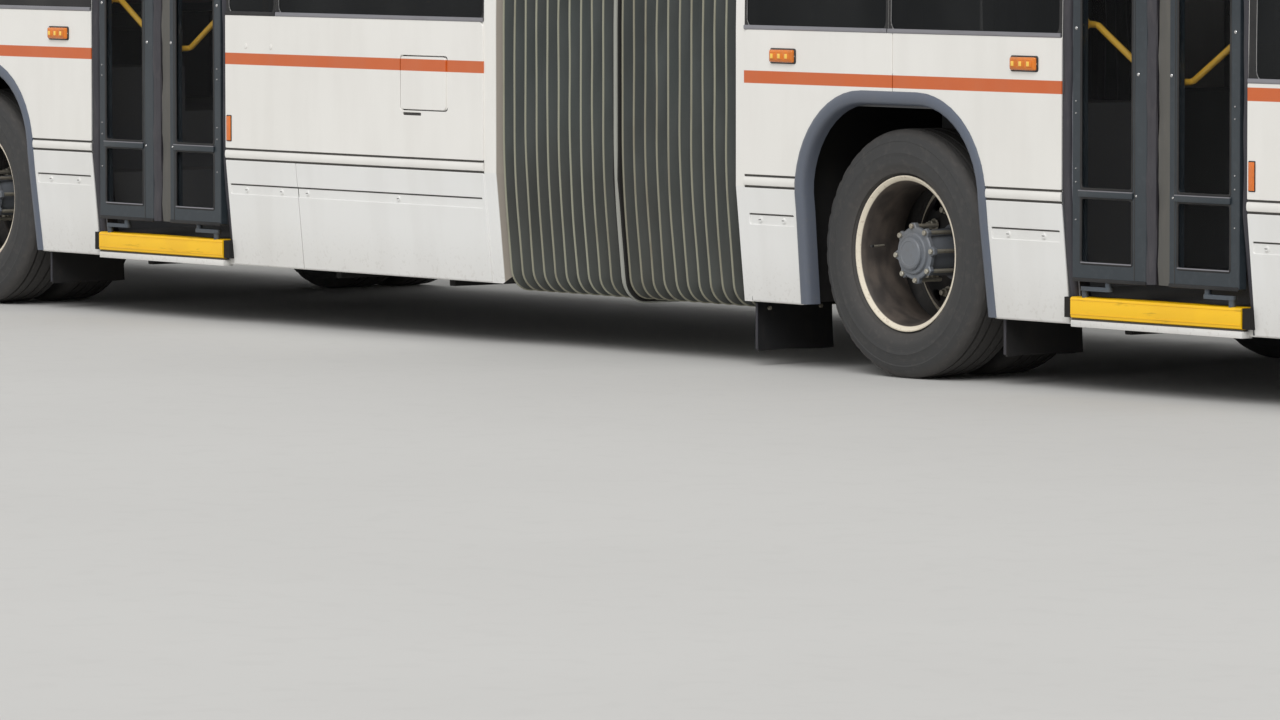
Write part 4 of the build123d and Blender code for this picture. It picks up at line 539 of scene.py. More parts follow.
def circle(u, v, r, steps=24):
    return [Vector((u + du, v + dv)) for du, dv in ring_of(steps, r)]


def finer(loop, length):
    """The same outline with its long sides divided."""
    out = []
    for a, b in zip(loop, loop[1:] + loop[:1]):
        parts = max(1, math.ceil((b - a).length / length))
        out += [a.lerp(b, k / parts) for k in range(parts)]
    return out


def inside(point, loop):
    """Whether a flat point lies inside a closed outline."""
    found = False
    for a, b in zip(loop, loop[1:] + loop[:1]):
        if (a.y > point.y) != (b.y > point.y):
            if point.x < (b.x - a.x) * (point.y - a.y) / (b.y - a.y) + a.x:
                found = not found
    return found


def arch_line(axle_x, shrink=0.0, steps=9, low=0.20):
    """Wheel arch outline, left foot to right foot."""
    foot, half, top = ARCH_HALF + ARCH_SPLAY - shrink, ARCH_HALF - shrink, ARCH_TOP_Z - shrink
    r = ARCH_CORNER_R - shrink
    line = [(-foot, low), (-half, ARCH_BEND_Z)]
    for centre, start in ((-half + r, math.pi), (half - r, math.pi / 2)):
        for k in range(steps + 1):
            a = start - math.pi / 2 * k / steps
            line.append((centre + r * math.cos(a), top - r + r * math.sin(a)))
    line += [(half, ARCH_BEND_Z), (foot, low)]
    return [Vector((axle_x + x, z)) for x, z in line]


def across(axis):
    """Two directions square to an axis and to each other."""
    axis = Vector(axis).normalized()
    first = axis.cross(Vector((0, 0, 1)) if abs(axis.z) < 0.9 else Vector((1, 0, 0))).normalized()
    return first, axis.cross(first)


class Shape:
    """Collects the faces of one piece, each with its finish."""

    def __init__(self):
        self.points, self.faces, self.marks, self.finishes = [], [], [], []

    def add(self, points, faces, name):
        if name not in self.finishes:
            self.finishes.append(name)
        start, mark = len(self.points), self.finishes.index(name)
        self.points += [tuple(p) for p in points]
        self.faces += [tuple(start + i for i in face) for face in faces]
        self.marks += [mark] * len(faces)

    def take(self, bm, name):
        bm.verts.index_update()
        self.add([v.co for v in bm.verts], [[v.index for v in f.verts] for f in bm.faces], name)
        bm.free()

    def block(self, low, high, name, edge=0.003):
        """Box with soft edges between two corners."""
        low, high = Vector(map(min, low, high)), Vector(map(max, low, high))
        bm = bmesh.new()
        bmesh.ops.create_cube(bm, size=1)
        bmesh.ops.scale(bm, vec=high - low, verts=bm.verts)
        bmesh.ops.translate(bm, vec=(low + high) / 2, verts=bm.verts)
        if edge:
            bmesh.ops.bevel(bm, geom=bm.edges[:], offset=edge, segments=2, affect="EDGES",
                            profile=0.5)
        self.take(bm, name)

    def loft(self, rows, name, ring=True, loop=False, caps=False):
        """Skin over rows of points; ring closes each row, loop closes last to first."""
        count, size = len(rows), len(rows[0])
        faces = []
        for i in range(count if loop else count - 1):
            a, b = i * size, (i + 1) % count * size
            for j in range(size if ring else size - 1):
                k = (j + 1) % size
                faces.append((a + j, a + k, b + k, b + j))
        if caps:
            faces += [tuple(range(size))[::-1], tuple((count - 1) * size + j for j in range(size))]
        self.add([p for row in rows for p in row], faces, name)

    def turned(self, profile, centre, axis, name, sides=24, shift=None):
        """Profile of (along, radius) points turned about an axis; shift(i, k) alters a radius."""
        axis = Vector(axis).normalized()
        first, second = across(axis)
        rows = []
        for k, (u, v) in enumerate(ring_of(sides)):
            out = first * u + second * v
            rows.append([Vector(centre) + axis * t + out * (r + (shift(i, k) if shift else 0))
                         for i, (t, r) in enumerate(profile)])
        self.loft(rows, name, ring=False, loop=True)

    def rod(self, start, end, radius, name, sides=12):
        """Round bar with slightly rounded ends."""
        start, end = Vector(start), Vector(end)
        length = (end - start).length
        soft = min(radius * 0.15, length / 3)
        profile = [(0, AXIS_R), (0, radius - soft), (soft, radius), (length - soft, radius),
                   (length, radius - soft), (length, AXIS_R)]
        self.turned(profile, start, end - start, name, sides)

    def tube(self, path, radius, name, sides=10):
        """Round tube along a path of points."""
        path = [Vector(p) for p in path]
        rows, side = [], None
        for i, point in enumerate(path):
            ahead = path[min(i + 1, len(path) - 1)] - path[max(i - 1, 0)]
            ahead.normalize()
            if side:
                side = (side - ahead * side.dot(ahead)).normalized()
            else:
                side = across(ahead)[0]
            other = ahead.cross(side)
            rows.append([point + (side * u + other * v) * radius for u, v in ring_of(sides)])
        self.loft(rows, name, caps=True)

    def strip(self, place, u0, u1, v0, v1, name="seam", thick=0.001, grid=0.0):
        """Thin flat strip, such as the dark line of a joint."""
        self.plate(rect(u0, u1, v0, v1), place, name, thick=thick, edge=0, grid=grid)

    def plate(self, outline, place, name, holes=(), thick=0.003, edge=0.0008, grid=0.0):
        """Sheet with holes, laid by place(u, v, proud), its front edges softened."""
        loops = [outline, *holes]
        if grid:
            loops = [finer(loop, grid) for loop in loops]
        flat, edges = [], []
        for loop in loops:
            start = len(flat)
            flat += loop
            edges += [(start + i, start + (i + 1) % len(loop)) for i in range(len(loop))]
        if grid:
            us, vs = [p.x for p in outline], [p.y for p in outline]
            for i in range(1, int((max(us) - min(us)) / grid)):
                for j in range(1, int((max(vs) - min(vs)) / grid)):
                    flat.append(Vector((min(us) + i * grid, min(vs) + j * grid)))
        points, _, faces, *_ = delaunay_2d_cdt(flat, edges, [], 0, 1e-5)
        bm = bmesh.new()
        verts = [bm.verts.new((p.x, p.y, 0)) for p in points]
        for face in faces:
            middle = sum((points[i] for i in face), Vector((0, 0))) / 3
            if inside(middle, loops[0]) and not any(inside(middle, h) for h in loops[1:]):
                bm.faces.new([verts[i] for i in face])
        bmesh.ops.delete(bm, geom=[v for v in bm.verts if not v.link_faces], context="VERTS")
        if not grid:
            bmesh.ops.dissolve_limit(bm, angle_limit=0.01, verts=bm.verts, edges=bm.edges)
        bmesh.ops.recalc_face_normals(bm, faces=bm.faces)
        if sum(f.normal.z for f in bm.faces) < 0:
            bmesh.ops.reverse_faces(bm, faces=bm.faces)
        front = bmesh.ops.extrude_face_region(bm, geom=bm.faces[:])["geom"]
        bmesh.ops.translate(bm, vec=(0, 0, thick),
                            verts=[g for g in front if isinstance(g, bmesh.types.BMVert)])
        bmesh.ops.recalc_face_normals(bm, faces=bm.faces)
        if edge:
            rim = [e for e in bm.edges if len(e.link_faces) == 2
                   and all(v.co.z > thick / 2 for v in e.verts)
                   and abs(e.link_faces[0].normal.z - e.link_faces[1].normal.z) > 0.5]
            bmesh.ops.bevel(bm, geom=rim, offset=edge, segments=1, affect="EDGES")
        for v in bm.verts:
            v.co = place(*v.co)
        bmesh.ops.recalc_face_normals(bm, faces=bm.faces)
        self.take(bm, name)

    def mesh(self, name, crease=35.0):
        data = bpy.data.meshes.new(name)
        data.from_pydata(self.points, [], self.faces)
        data.polygons.foreach_set("material_index", self.marks)
        for each in self.finishes:
            data.materials.append(finish(each))
        for polygon in data.polygons:
            polygon.use_smooth = True
        data.validate()
        data.set_sharp_from_angle(angle=math.radians(crease))
        return data

    def piece(self, name, body, replaces=(), crease=35.0):
        return put(self.mesh(name, crease), name, body, replaces)


def put(data, name, body, replaces=(), matrix=None):
    """Places a mesh as a piece that rides on a body."""
    piece = bpy.data.objects.new(name, data)
    bpy.context.scene.collection.objects.link(piece)
    if matrix is not None:
        piece.matrix_world = matrix
    if body:
        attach(piece, body)
    if replaces:
        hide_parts(*replaces)
    return piece


def dress(nodes, names, choose=None):
    """Gives CAD nodes their finishes; choose(centre, normal) picks one by its index."""
    for node in nodes.split():
        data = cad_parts[node].data
        data.materials.clear()
        for name in names.split():
            data.materials.append(finish(name))
        for polygon in data.polygons:
            polygon.material_index = choose(polygon.center, polygon.normal) if choose else 0


# Side panels

SIDES = (-1, 1)
PANEL_THICK = 0.006
PANEL_EDGE = 0.0014
PANEL_CORNER_R = 0.004
SEAM_GAP = 0.0025
SEAM_HALF = 0.006
PORTAL_ROUND = 0.025
# Where the painted shade on the rear portal's rounded lip begins
PORTAL_LIP_X = -1.905
MOULDING_LOW = 0.713
MOULDING_HIGH = 0.749
MOULDING_PROUD = 0.009
WAIST_Z = 0.757
SKIRT_TOP_Z = 0.705
SKIRT_FOOT_Z = SKIRT_Z + 0.004
CANT_LOW_Z = 2.252
CANT_HIGH_Z = CANT_Z - 0.008
CANT_THICK = 0.005
PANEL_TOP_Z = CANT_LOW_Z - 0.004
FLARE_GAP = 0.003
ARCH_REACH = ARCH_HALF + 0.030
ARCH_NEAR = 0.700
# Stretches of the dark strip behind a seam of the waist panels
WAIST_SEAM = ((WAIST_Z + 0.003, 1.050), (1.100, 1.170))
GANGWAY_Y = 0.951
GANGWAY_FLOOR_Z = 0.352

# Sills: how far a panel ends below one, reaches past a window, and starts beside one
SILL_GAP = 0.008
WINDOW_LAP = 0.016
WIDE_PILLAR = 0.090
PILLAR_SHOULDER = 0.020

# Recess of the hinged skirts, its lining and its turn-fasteners
RECESS_LOW = 0.562
RECESS_HIGH = 0.605
RECESS_END = 0.020
RECESS_CORNER_R = 0.006
RECESS_MIN_WIDTH = 0.220
KNOB_R = 0.011
KNOB_Z = (RECESS_LOW + RECESS_HIGH) / 2 - 0.002
KNOB_PITCH = 0.620
KNOB_MIN_LENGTH = 0.250
LONG_FLAP = 0.900
LONG_FLAP_KNOBS = (0.05, 0.55)
SHORT_FLAP_KNOBS = (0.24, 0.76)

# Doorways of the front and rear half, and the fasteners ahead of the last one
DOORWAYS = {"front_body": ((1.598, 2.618), (7.350, 8.370)), "rear_body": ((-4.825, -3.805),)}
FASTENERS = {"front_body": (), "rear_body": (-3.652, -3.469)}
FASTENER_Z = 1.192
FASTENER = [(0.0, 0.011), (0.0025, 0.010), (0.004, AXIS_R)]
FASTENER_FLAT = [(0, 0.011), (0.002, 0.010), (0.004, AXIS_R)]

# Each row: body, side, first and last x, and the seams of its skirts and of its waist panels
WALL_RUNS = [
    ("front_body", -1, FRONT_WALL_X, 1.598, [], [0.620]),
    ("front_body", -1, 2.618, 7.350, [4.040, 5.440], [4.040, 5.440]),
    ("front_body", -1, 8.370, MASK_JOIN_X, [], []),
    ("front_body", 1, FRONT_WALL_X, MASK_JOIN_X, [2.980, 4.400, 7.700],
     [0.620, 3.000, 4.400, 5.800, 7.210]),
    ("rear_body", -1, TAIL_JOIN_X, -4.825, [-7.300], [-6.320]),
    ("rear_body", -1, -3.805, REAR_WALL_X, [-3.295], []),
    ("rear_body", 1, TAIL_JOIN_X, REAR_WALL_X, [-7.300, -4.880, -3.440],
     [-6.320, -4.880, -3.440]),
]
AXLES_OF = {"front_body": (AXLES["front"], AXLES["middle"]), "rear_body": (AXLES["rear"],)}
WINDOWS_OF = {"front_body": FRONT_WINDOWS, "rear_body": REAR_WINDOWS}


def arch_hole(axle_x):
    """Closed outline of an arch, a little outside its rubber lip."""
    return arch_line(axle_x, -FLARE_GAP, low=0.0)


def split(start, end, seams):
    """The stretches between seams, with a narrow gap at each."""
    cuts = [start, *seams, end]
    return [(a + SEAM_GAP * (a != start), b - SEAM_GAP * (b != end))
            for a, b in zip(cuts, cuts[1:])]


def waist_end(x, window_x, low, portal_x):
    """Corners at one end of a waist panel: level with the sill, or up beside the window."""
    if abs(x - window_x) <= WIDE_PILLAR:
        return [(x, low, PORTAL_ROUND if x == portal_x else PANEL_CORNER_R)]
    beside = window_x + math.copysign(PILLAR_SHOULDER, x - window_x)
    return [(x, PANEL_TOP_Z, PANEL_CORNER_R), (beside, PANEL_TOP_Z, PANEL_CORNER_R),
            (beside, low, 0.0)]


def waist_outline(x0, x1, windows, portal_x):
    """Panel from the belt up to the sills, stepped where neighbouring sills differ."""
    r = PANEL_CORNER_R
    top = [(max(x0, w0 - WINDOW_LAP), min(x1, w1 + WINDOW_LAP), sill - SILL_GAP)
           for w0, w1, sill in windows if w0 < x1 and w1 > x0]
    if not top:
        return rect(x0, x1, WAIST_Z, PANEL_TOP_Z, r)
    corners = [(x0, WAIST_Z, r), (x1, WAIST_Z, r), *waist_end(x1, *top[-1][1:], portal_x)]
    for (_, a1, low), (b0, _, high) in list(zip(top, top[1:]))[::-1]:
        if low != high:
            middle = (a1 + b0) / 2
            corners += [(middle, high, r), (middle, low, r)]
    corners += waist_end(x0, top[0][0], top[0][2], portal_x)[::-1]
    return rounded(corners, 4)


def wall_bar(shape, side, x0, x1, profile, name):
    """Straight moulding along a wall, from a profile of (proud, z) points."""
    place = on_wall(side)
    shape.loft([[place(x, z, proud) for proud, z in profile] for x in (x0, x1)], name, caps=True)


def moulding(low, high, proud):
    """Rounded profile between two heights, standing proud of the wall."""
    middle, half = (low + high) / 2, (high - low) / 2
    turns = [math.pi * k / 6 for k in range(1, 6)]
    arc = [(proud * math.sin(a) ** 0.5, middle - half * math.cos(a)) for a in turns]
    return [(0.0, low), *arc, (0.0, high)]


def clear_spans(start, end, axles):
    """The stretches of a run that lie clear of its wheel arches."""
    spans, reach = [(start, end)], ARCH_HALF + FLARE_GAP
    for axle in axles:
        spans = [piece for a, b in spans
                 for piece in ((a, min(b, axle - reach)), (max(a, axle + reach), b))
                 if piece[1] - piece[0] > 0.02]
    return spans


def knob_places(x0, x1, shares):
    """Places of the turn-fasteners in a recess; shares are those of a recess with two."""
    length = x1 - x0
    if length < KNOB_MIN_LENGTH:
        return []
    count = round(length / KNOB_PITCH)
    if count > 2:
        shares = [(k + 0.5) / count for k in range(count)]
    return [x0 + length * share for share in shares]


def skirt_panel(shape, side, x0, x1, axles, joined):
    """Hinged skirt flap with its long recess, which runs on over a seam, and its fasteners."""
    place = on_wall(side)
    near = [a for a in axles if min(abs(x0 - a), abs(x1 - a)) < ARCH_REACH]
    holes = [arch_hole(a) for a in near]
    if x1 - x0 > RECESS_MIN_WIDTH:
        a, b = x0 + RECESS_END * (not joined[0]), x1 - RECESS_END * (not joined[1])
        holes.append(rect(a - RECESS_END * joined[0], b + RECESS_END * joined[1],
                          RECESS_LOW, RECESS_HIGH, RECESS_CORNER_R, 5))
        shape.strip(place, a, b, RECESS_LOW - 0.002, RECESS_HIGH + 0.003, "coach_side", 0.0013)
        # Painted shadow: dark strip under the recess's top edge
        shape.strip(place, a, b, RECESS_HIGH - 0.006, RECESS_HIGH + 0.002, thick=0.0018)
        y = side * wall_y(KNOB_Z)
        for x in knob_places(a, b, LONG_FLAP_KNOBS if x1 - x0 > LONG_FLAP else SHORT_FLAP_KNOBS):
            shape.turned([(0, AXIS_R), (0, KNOB_R + 0.003), (0.0015, KNOB_R + 0.003),
                          (0.003, KNOB_R), (0.0062, KNOB_R - 0.0015), (0.007, AXIS_R)],
                         (x, y, KNOB_Z), (0, side, 0), "coach_white", 16)
            shape.block((x - 0.007, y + side * 0.0068, KNOB_Z - 0.0012),
                        (x + 0.007, y + side * 0.0078, KNOB_Z + 0.0012), "seam", 0)
    shape.plate(rect(min([x0, *near]), max([x1, *near]), SKIRT_FOOT_Z, SKIRT_TOP_Z,
                     PANEL_CORNER_R), place, "coach_side", holes, PANEL_THICK, 0.0016)
    foot_y = wall_y(SKIRT_Z)
    shape.block((x0 + 0.002, side * (foot_y - 0.016), SKIRT_Z + 0.001),
                (x1 - 0.002, side * (foot_y + 0.004), SKIRT_Z + 0.008), "coach_side", 0.002)


def side_run(body, side, start, end, skirt_seams, waist_seams):
    """Every outer panel of one stretch of wall."""
    shape, place = Shape(), on_wall(side)
    axles = [a for a in AXLES_OF[body] if start < a < end]
    windows = WINDOWS_OF[body][side]
    portal_x = FRONT_WALL_X if body == "front_body" else REAR_WALL_X
    for a, b in clear_spans(start, end, axles):
        wall_bar(shape, side, a, b, moulding(MOULDING_LOW, MOULDING_HIGH, MOULDING_PROUD),
                 "coach_white")
        shape.strip(place, a, b, SKIRT_TOP_Z - 0.003, WAIST_Z + 0.003, thick=0.0015)
        for x0, x1 in split(a, b, [s for s in skirt_seams if a < s < b]):
            skirt_panel(shape, side, x0, x1, axles, (x0 > a, x1 < b))
    for seam in skirt_seams:
        shape.strip(place, seam - SEAM_HALF, seam + SEAM_HALF, SKIRT_Z + 0.01, SKIRT_TOP_Z)
    for x0, x1 in split(start, end, waist_seams):
        holes = [arch_hole(a) for a in axles if x0 - ARCH_NEAR < a < x1 + ARCH_NEAR]
        if side < 0 and x0 < FUEL_DOOR[0] and x1 > FUEL_DOOR[1]:
            holes += [rect(*FUEL_DOOR, FUEL_HOLE_CORNER_R), rect(*FUEL_SLOT, 0.005)]
            shape.strip(place, FUEL_SLOT[0] - 0.010, FUEL_SLOT[1] + 0.010,
                        FUEL_SLOT[2] - 0.005, FUEL_SLOT[3] + 0.004)
        shape.plate(waist_outline(x0, x1, windows, portal_x), place, "coach_side", holes,
                    PANEL_THICK, PANEL_EDGE)
    for seam in waist_seams:
        for low, high in WAIST_SEAM:
            shape.plate(rect(seam - SEAM_HALF, seam + SEAM_HALF, low, high), place, "seam",
                        [arch_hole(a) for a in axles], 0.001, 0)
    for x0, x1 in split(start, end, waist_seams):
        cant_panel(shape, side, x0, x1, CANT_LOW_Z)
    if portal_x == start:
        shape.strip(place, portal_x - 0.007, portal_x - 0.001, SKIRT_FOOT_Z, CANT_Z - 0.010,
                    "gasket", 0.0015)
    number = f"{start:.2f}".replace("-", "m").replace(".", "_")
    shape.piece(f"panels_{'kerb' if side < 0 else 'drive'}_{number}", body)


def cant_panel(shape, side, x0, x1, low):
    """Panel up to the cant rail."""
    shape.plate(rect(x0, x1, low, CANT_HIGH_Z, PANEL_CORNER_R), on_wall(side), "coach_side",
                thick=CANT_THICK, edge=PANEL_EDGE)


def portal_finish(centre, to_bellows):
    """White frame, a dark face towards the bellows and grey inside the bus."""
    inside_y = abs(centre.y) < GANGWAY_Y
    if to_bellows > 0.8 or inside_y and centre.z < GANGWAY_FLOOR_Z:
        return 1
    return 2 if inside_y and centre.z < CANT_Z else 0


def run_panels():
    for run in WALL_RUNS:
        side_run(*run)
    for body, name in (("front_body", "door_top_covers_front"),
                       ("rear_body", "door_top_cover_rear")):
        cover = Shape()
        for x0, x1 in DOORWAYS[body]:
            cant_panel(cover, -1, x0 + 0.002, x1 - 0.002, DOOR_TOP_Z + SILL_GAP)
        for x in FASTENERS[body]:
            cover.turned(FASTENER, (x, -wall_y(FASTENER_Z) - PANEL_THICK, FASTENER_Z), (0, -1, 0),
                         "coach_white", 16)
        cover.piece(name, body)
    dress("front_side_walls rear_side_walls", "coach_side cab_grey",
          lambda c, n: 0 if abs(c.y) > 1.235 and n.y * c.y > 0 and abs(n.y) > 0.5 else 1)
    dress("front_portal", "portal_white axle_black cab_grey", lambda c, n: portal_finish(c, -n.x))
    dress("rear_portal", "portal_white axle_black cab_grey", lambda c, n: portal_finish(c, n.x))


# Windows

BAND_THICK = 0.0025
WINDOW_ROUND = 0.040
BLACK_BANDS = [
    ("front_body", -1, FRONT_WALL_X, 1.596), ("front_body", -1, 2.620, 7.348),
    ("front_body", 1, FRONT_WALL_X, 8.560),
    ("rear_body", -1, -7.770, -4.827), ("rear_body", -1, -3.803, REAR_WALL_X),
    ("rear_body", 1, -7.770, REAR_WALL_X),
]
# Sections of the strips, as (proud, height) about the sill and about the cant panel's foot
SILL_STRIP = [(0.0, -0.009), (0.005, -0.009), (0.009, -0.005), (0.009, 0.006), (0.007, 0.009),
              (0.0, 0.009)]
HEAD_STRIP = [(0.0, -0.010), (0.006, -0.009), (0.006, -0.002), (0.0, 0.0)]
CANT_STRIP = [(0.0, -0.004), (0.006, -0.004), (0.011, 0.004), (0.006, 0.016), (-0.002, 0.016)]
# Bars on the outside of a pane: heights, and how far they stand in and out of the wall
VENT_RAIL = (1.944, 1.962, 1.95, 0.0002, 0.0035)
VENT_BAR = (1.955, 2.228, 2.10, -0.001, 0.0025)


def raised(profile, z):
    return [(proud, z + dz) for proud, dz in profile]


def pane_bar(shape, side, x0, x1, low, high, wall_z, deep, proud):
    y = wall_y(wall_z)
    shape.block((x0, side * (y + deep), low), (x1, side * (y + proud), high), "gasket", 0.001)


def black_band(body, side, start, end, index):
    """Black printed border and pillar covers round the flush panes, with the strip under them."""
    shape, place = Shape(), on_wall(side)
    windows = [w for w in WINDOWS_OF[body][side] if start - 0.02 < w[0] and w[1] < end + 0.02]
    cuts = [(a[1] + b[0]) / 2 for a, b in zip(windows, windows[1:])]
    for (w0, w1, sill), low, high in zip(windows, [start, *cuts], [*cuts, end]):
        left = low + 0.0015 * (low != start)
        right = high - 0.0015 * (high != end)
        shape.plate(rect(left, right, sill - 0.006, WINDOW_TOP_Z + 0.010, 0.003), place, "gasket",
                    [rect(w0 - 0.001, w1 + 0.001, sill - 0.001, WINDOW_TOP_Z + 0.001,
                          WINDOW_ROUND)], BAND_THICK, 0.0008)
        wall_bar(shape, side, left + 0.002, right - 0.002, raised(SILL_STRIP, sill),
                 "gasket" if w1 - w0 < 0.4 else "aluminium")
        if w1 - w0 > 1.0:
            middle = (w0 + w1) / 2
            pane_bar(shape, side, w0 + 0.03, w1 - 0.03, *VENT_RAIL)
            pane_bar(shape, side, middle - 0.008, middle + 0.008, *VENT_BAR)
    wall_bar(shape, side, start + 0.002, end - 0.002, raised(HEAD_STRIP, CANT_LOW_Z), "gasket")
    shape.piece(f"window_band_{index}", body)


def run_windows():
    for index, band in enumerate(BLACK_BANDS):
        black_band(*band, index)
    dress("front_side_glass rear_side_glass", "side_glass")


# Rubbers

# Section of an arch's lip, as (inside the arch, proud of the wall)
FLARE_PROFILE = [(-0.004, 0.001), (-0.004, 0.008), (0.002, 0.0125), (0.012, 0.0155),
                 (0.024, 0.0150), (0.036, 0.0115), (0.043, 0.0065), (0.047, -0.004),
                 (0.050, -0.020), (0.050, -0.045)]
# Each flap: x, foot and top
FLAPS = {
    "front_body": [(5.810, 0.080, 0.264), (1.1787, 0.116, 0.384), (-0.311, 0.062, 0.257)],
    "rear_body": [(-5.2713, 0.116, 0.384)],
}
FLAP_INNER_Y = 0.840
FLAP_OUTER_Y = 1.220
SEAL_HALF = 0.021
SEAL_FOOT_Z = 0.262
# Section of a door seal: share of its half width, and depth from the wall's inside
SEAL_PROFILE = [(-1, 0.003), (-1, 0.072), (-0.75, 0.079), (-0.2, 0.0815), (0.25, 0.079),
                (0.62, 0.072), (0.86, 0.058), (1.0, 0.040), (0.92, 0.018), (0.7, 0.003)]
# Point of the seal's section along which the painted highlight runs
SEAL_EDGE = 6


def open_foot(line):
    """An arch line cut open again along the ground, after finer() has closed it."""
    low = min(p.y for p in line)
    above = [i for i, p in enumerate(line) if p.y > low + 1e-4]
    return line[above[0] - 1:above[-1] + 2]


def arch_flare(shape, axle_x, side):
    """Rubber lip swept round an arch."""
    rows = []
    for shrink, proud in FLARE_PROFILE:
        line = finer(arch_line(axle_x, shrink, 12, SKIRT_FOOT_Z), 0.06)
        rows.append([(p.x, side * (wall_y(p.y) + proud), p.y) for p in open_foot(line)])
    shape.loft(rows, "arch_rubber", ring=False)


def mud_flap(shape, x, side, low, high, rng):
    """Rubber flap, slightly curled, with a thin light edge strip and two bolts."""
    rows = []
    curl = rng.uniform(0.006, 0.014)
    for k in range(9):
        t = k / 8
        z = high + (low - high) * t
        front = [(x + 0.005 + curl * t * t,
                  side * (FLAP_INNER_Y + (FLAP_OUTER_Y - FLAP_INNER_Y) * j / 6),
                  z - 0.003 * math.sin(j * 1.3) * t) for j in range(7)]
        rows.append(front + [(px - 0.010, py, pz) for px, py, pz in front[::-1]])
    shape.loft(rows, "flap_rubber", caps=True)
    shape.block((x - 0.004, side * (FLAP_OUTER_Y - 0.003), low + 0.004),
                (x + 0.010, side * (FLAP_OUTER_Y + 0.0015), high - 0.01), "jamb_rubber", 0.001)
    for y in (FLAP_INNER_Y + 0.06, FLAP_OUTER_Y - 0.06):
        shape.rod((x + 0.004, side * y, high - 0.03), (x + 0.014, side * y, high - 0.03), 0.009,
                  "nut_steel", 6)


def jamb_seal(shape, x, sense, rng):
    """Soft bulged rubber up one door jamb, a little wavy along its length."""
    phase = [rng.uniform(0, math.tau) for _ in range(3)]
    rows = []
    for k in range(61):
        z = SEAL_FOOT_Z + (DOOR_TOP_Z - SEAL_FOOT_Z) * k / 60
        wave = 0.0022 * math.sin(z * 9 + phase[0]) + 0.0016 * math.sin(z * 23 + phase[1])
        bulge = 0.0018 * math.sin(z * 14 + phase[2])
        inner_y = WALL_INNER_Y + wall_y(z) - HALF_WIDTH
        rows.append([(x + sense * (u * SEAL_HALF + wave * (u > -0.9)),
                      -(inner_y + depth + bulge * (depth > 0.07)), z)
                     for u, depth in SEAL_PROFILE])
    shape.loft(rows, "jamb_rubber", caps=True)
    # Painted highlight: a light tube along the bulge of the seal
    shape.tube([Vector(row[SEAL_EDGE]) + Vector((0, -0.0015, 0)) for row in rows], 0.0038,
               "jamb_edge", 6)


def run_rubbers():
    rng = random.Random(7)
    for body, node, doors in (("front_body", "front_rubbers", ("door_1", "door_2")),
                              ("rear_body", "rear_rubbers", ("door_3",))):
        shape = Shape()
        for axle in AXLES_OF[body]:
            for side in SIDES:
                arch_flare(shape, axle, side)
        for x, low, high in FLAPS[body]:
            for side in SIDES:
                mud_flap(shape, x, side, low, high, rng)
        for door in doors:
            for sense in SIDES:
                jamb_seal(shape, DOOR_CENTRES[door] + sense * (DOOR_HALF - SEAL_HALF), -sense, rng)
        shape.piece(f"{node}_soft", body, [node], 40)


# Bellows

PLEATS = 10
PLEAT_DEPTH = 0.042
BEAD_HALF = 0.0050
BEAD_SETBACK = 0.006
PLEAT_PITCH = (FRONT_PORTAL_X - PIVOT_X - HOOP_HALF - 2 * BEAD_SETBACK) / PLEATS
BELT_BEND_R = 4.0
HOOP_STRIP_HALF = 0.010
HOOP_PROUD = 0.0165
CLOTH_STEPS = 7
LOOP_STEP = 0.050
# Sections of a bead and of the hoop's strip: share of the half width, and depth
BEAD_PROFILE = [(-1.0, 0.005), (-0.85, 0.0015), (-0.4, -0.0005), (0.4, -0.0005),
                (0.85, 0.0015), (1.0, 0.005)]
HOOP_PROFILE = [(-1.0, 0.006), (-0.8, 0.0005), (-0.3, -0.0010), (0.3, -0.0010),
                (0.8, 0.0005), (1.0, 0.006)]


def body_loop(inset, low, foot_r):
    """Closed outline of the body across the bus, its corners rounded."""
    half = [(wall_y(low) - inset, low, foot_r), (HALF_WIDTH - inset, BELT_Z, BELT_BEND_R),
            (HALF_WIDTH - inset, LEAN_START_Z, 0.0), (wall_y(CANT_Z) - inset, CANT_Z, 0.0),
            (HALF_WIDTH - ROOF_LEAN - inset, ROOF_Z - ROOF_CROWN - inset, ROOF_CORNER_R - inset),
            (0.0, ROOF_Z - inset, 0.0)]
    return rounded(half + [(-y, z, r) for y, z, r in half[-2::-1]], 8)


def inward(loop):
    """Unit vectors pointing into a closed outline at each of its points."""
    out = []
    for i in range(len(loop)):
        along = loop[(i + 1) % len(loop)] - loop[i - 1]
        out.append(Vector((-along.y, along.x)).normalized())
    return out


def ripple(rng, count, size, waves=(3, 26)):
    """Smooth random offsets round a closed loop."""
    values = np.zeros(count)
    turn = np.arange(count) * math.tau / count
    for _ in range(6):
        values += math.sin(rng.uniform(0, math.tau)) * np.sin(
            turn * rng.randint(*waves) + rng.uniform(0, math.tau))
    return values * size / 2


def rib(shape, x, half, profile, loop, normals, name, sway=None):
    """Stiff rib round the joint at x, from (share of half, depth) points."""
    sway = np.zeros(len(loop)) if sway is None else sway
    shape.loft([[(x + s + u * half, p.x + n.x * d, p.y + n.y * d)
                 for s, p, n in zip(sway, loop, normals)] for u, d in profile], name)


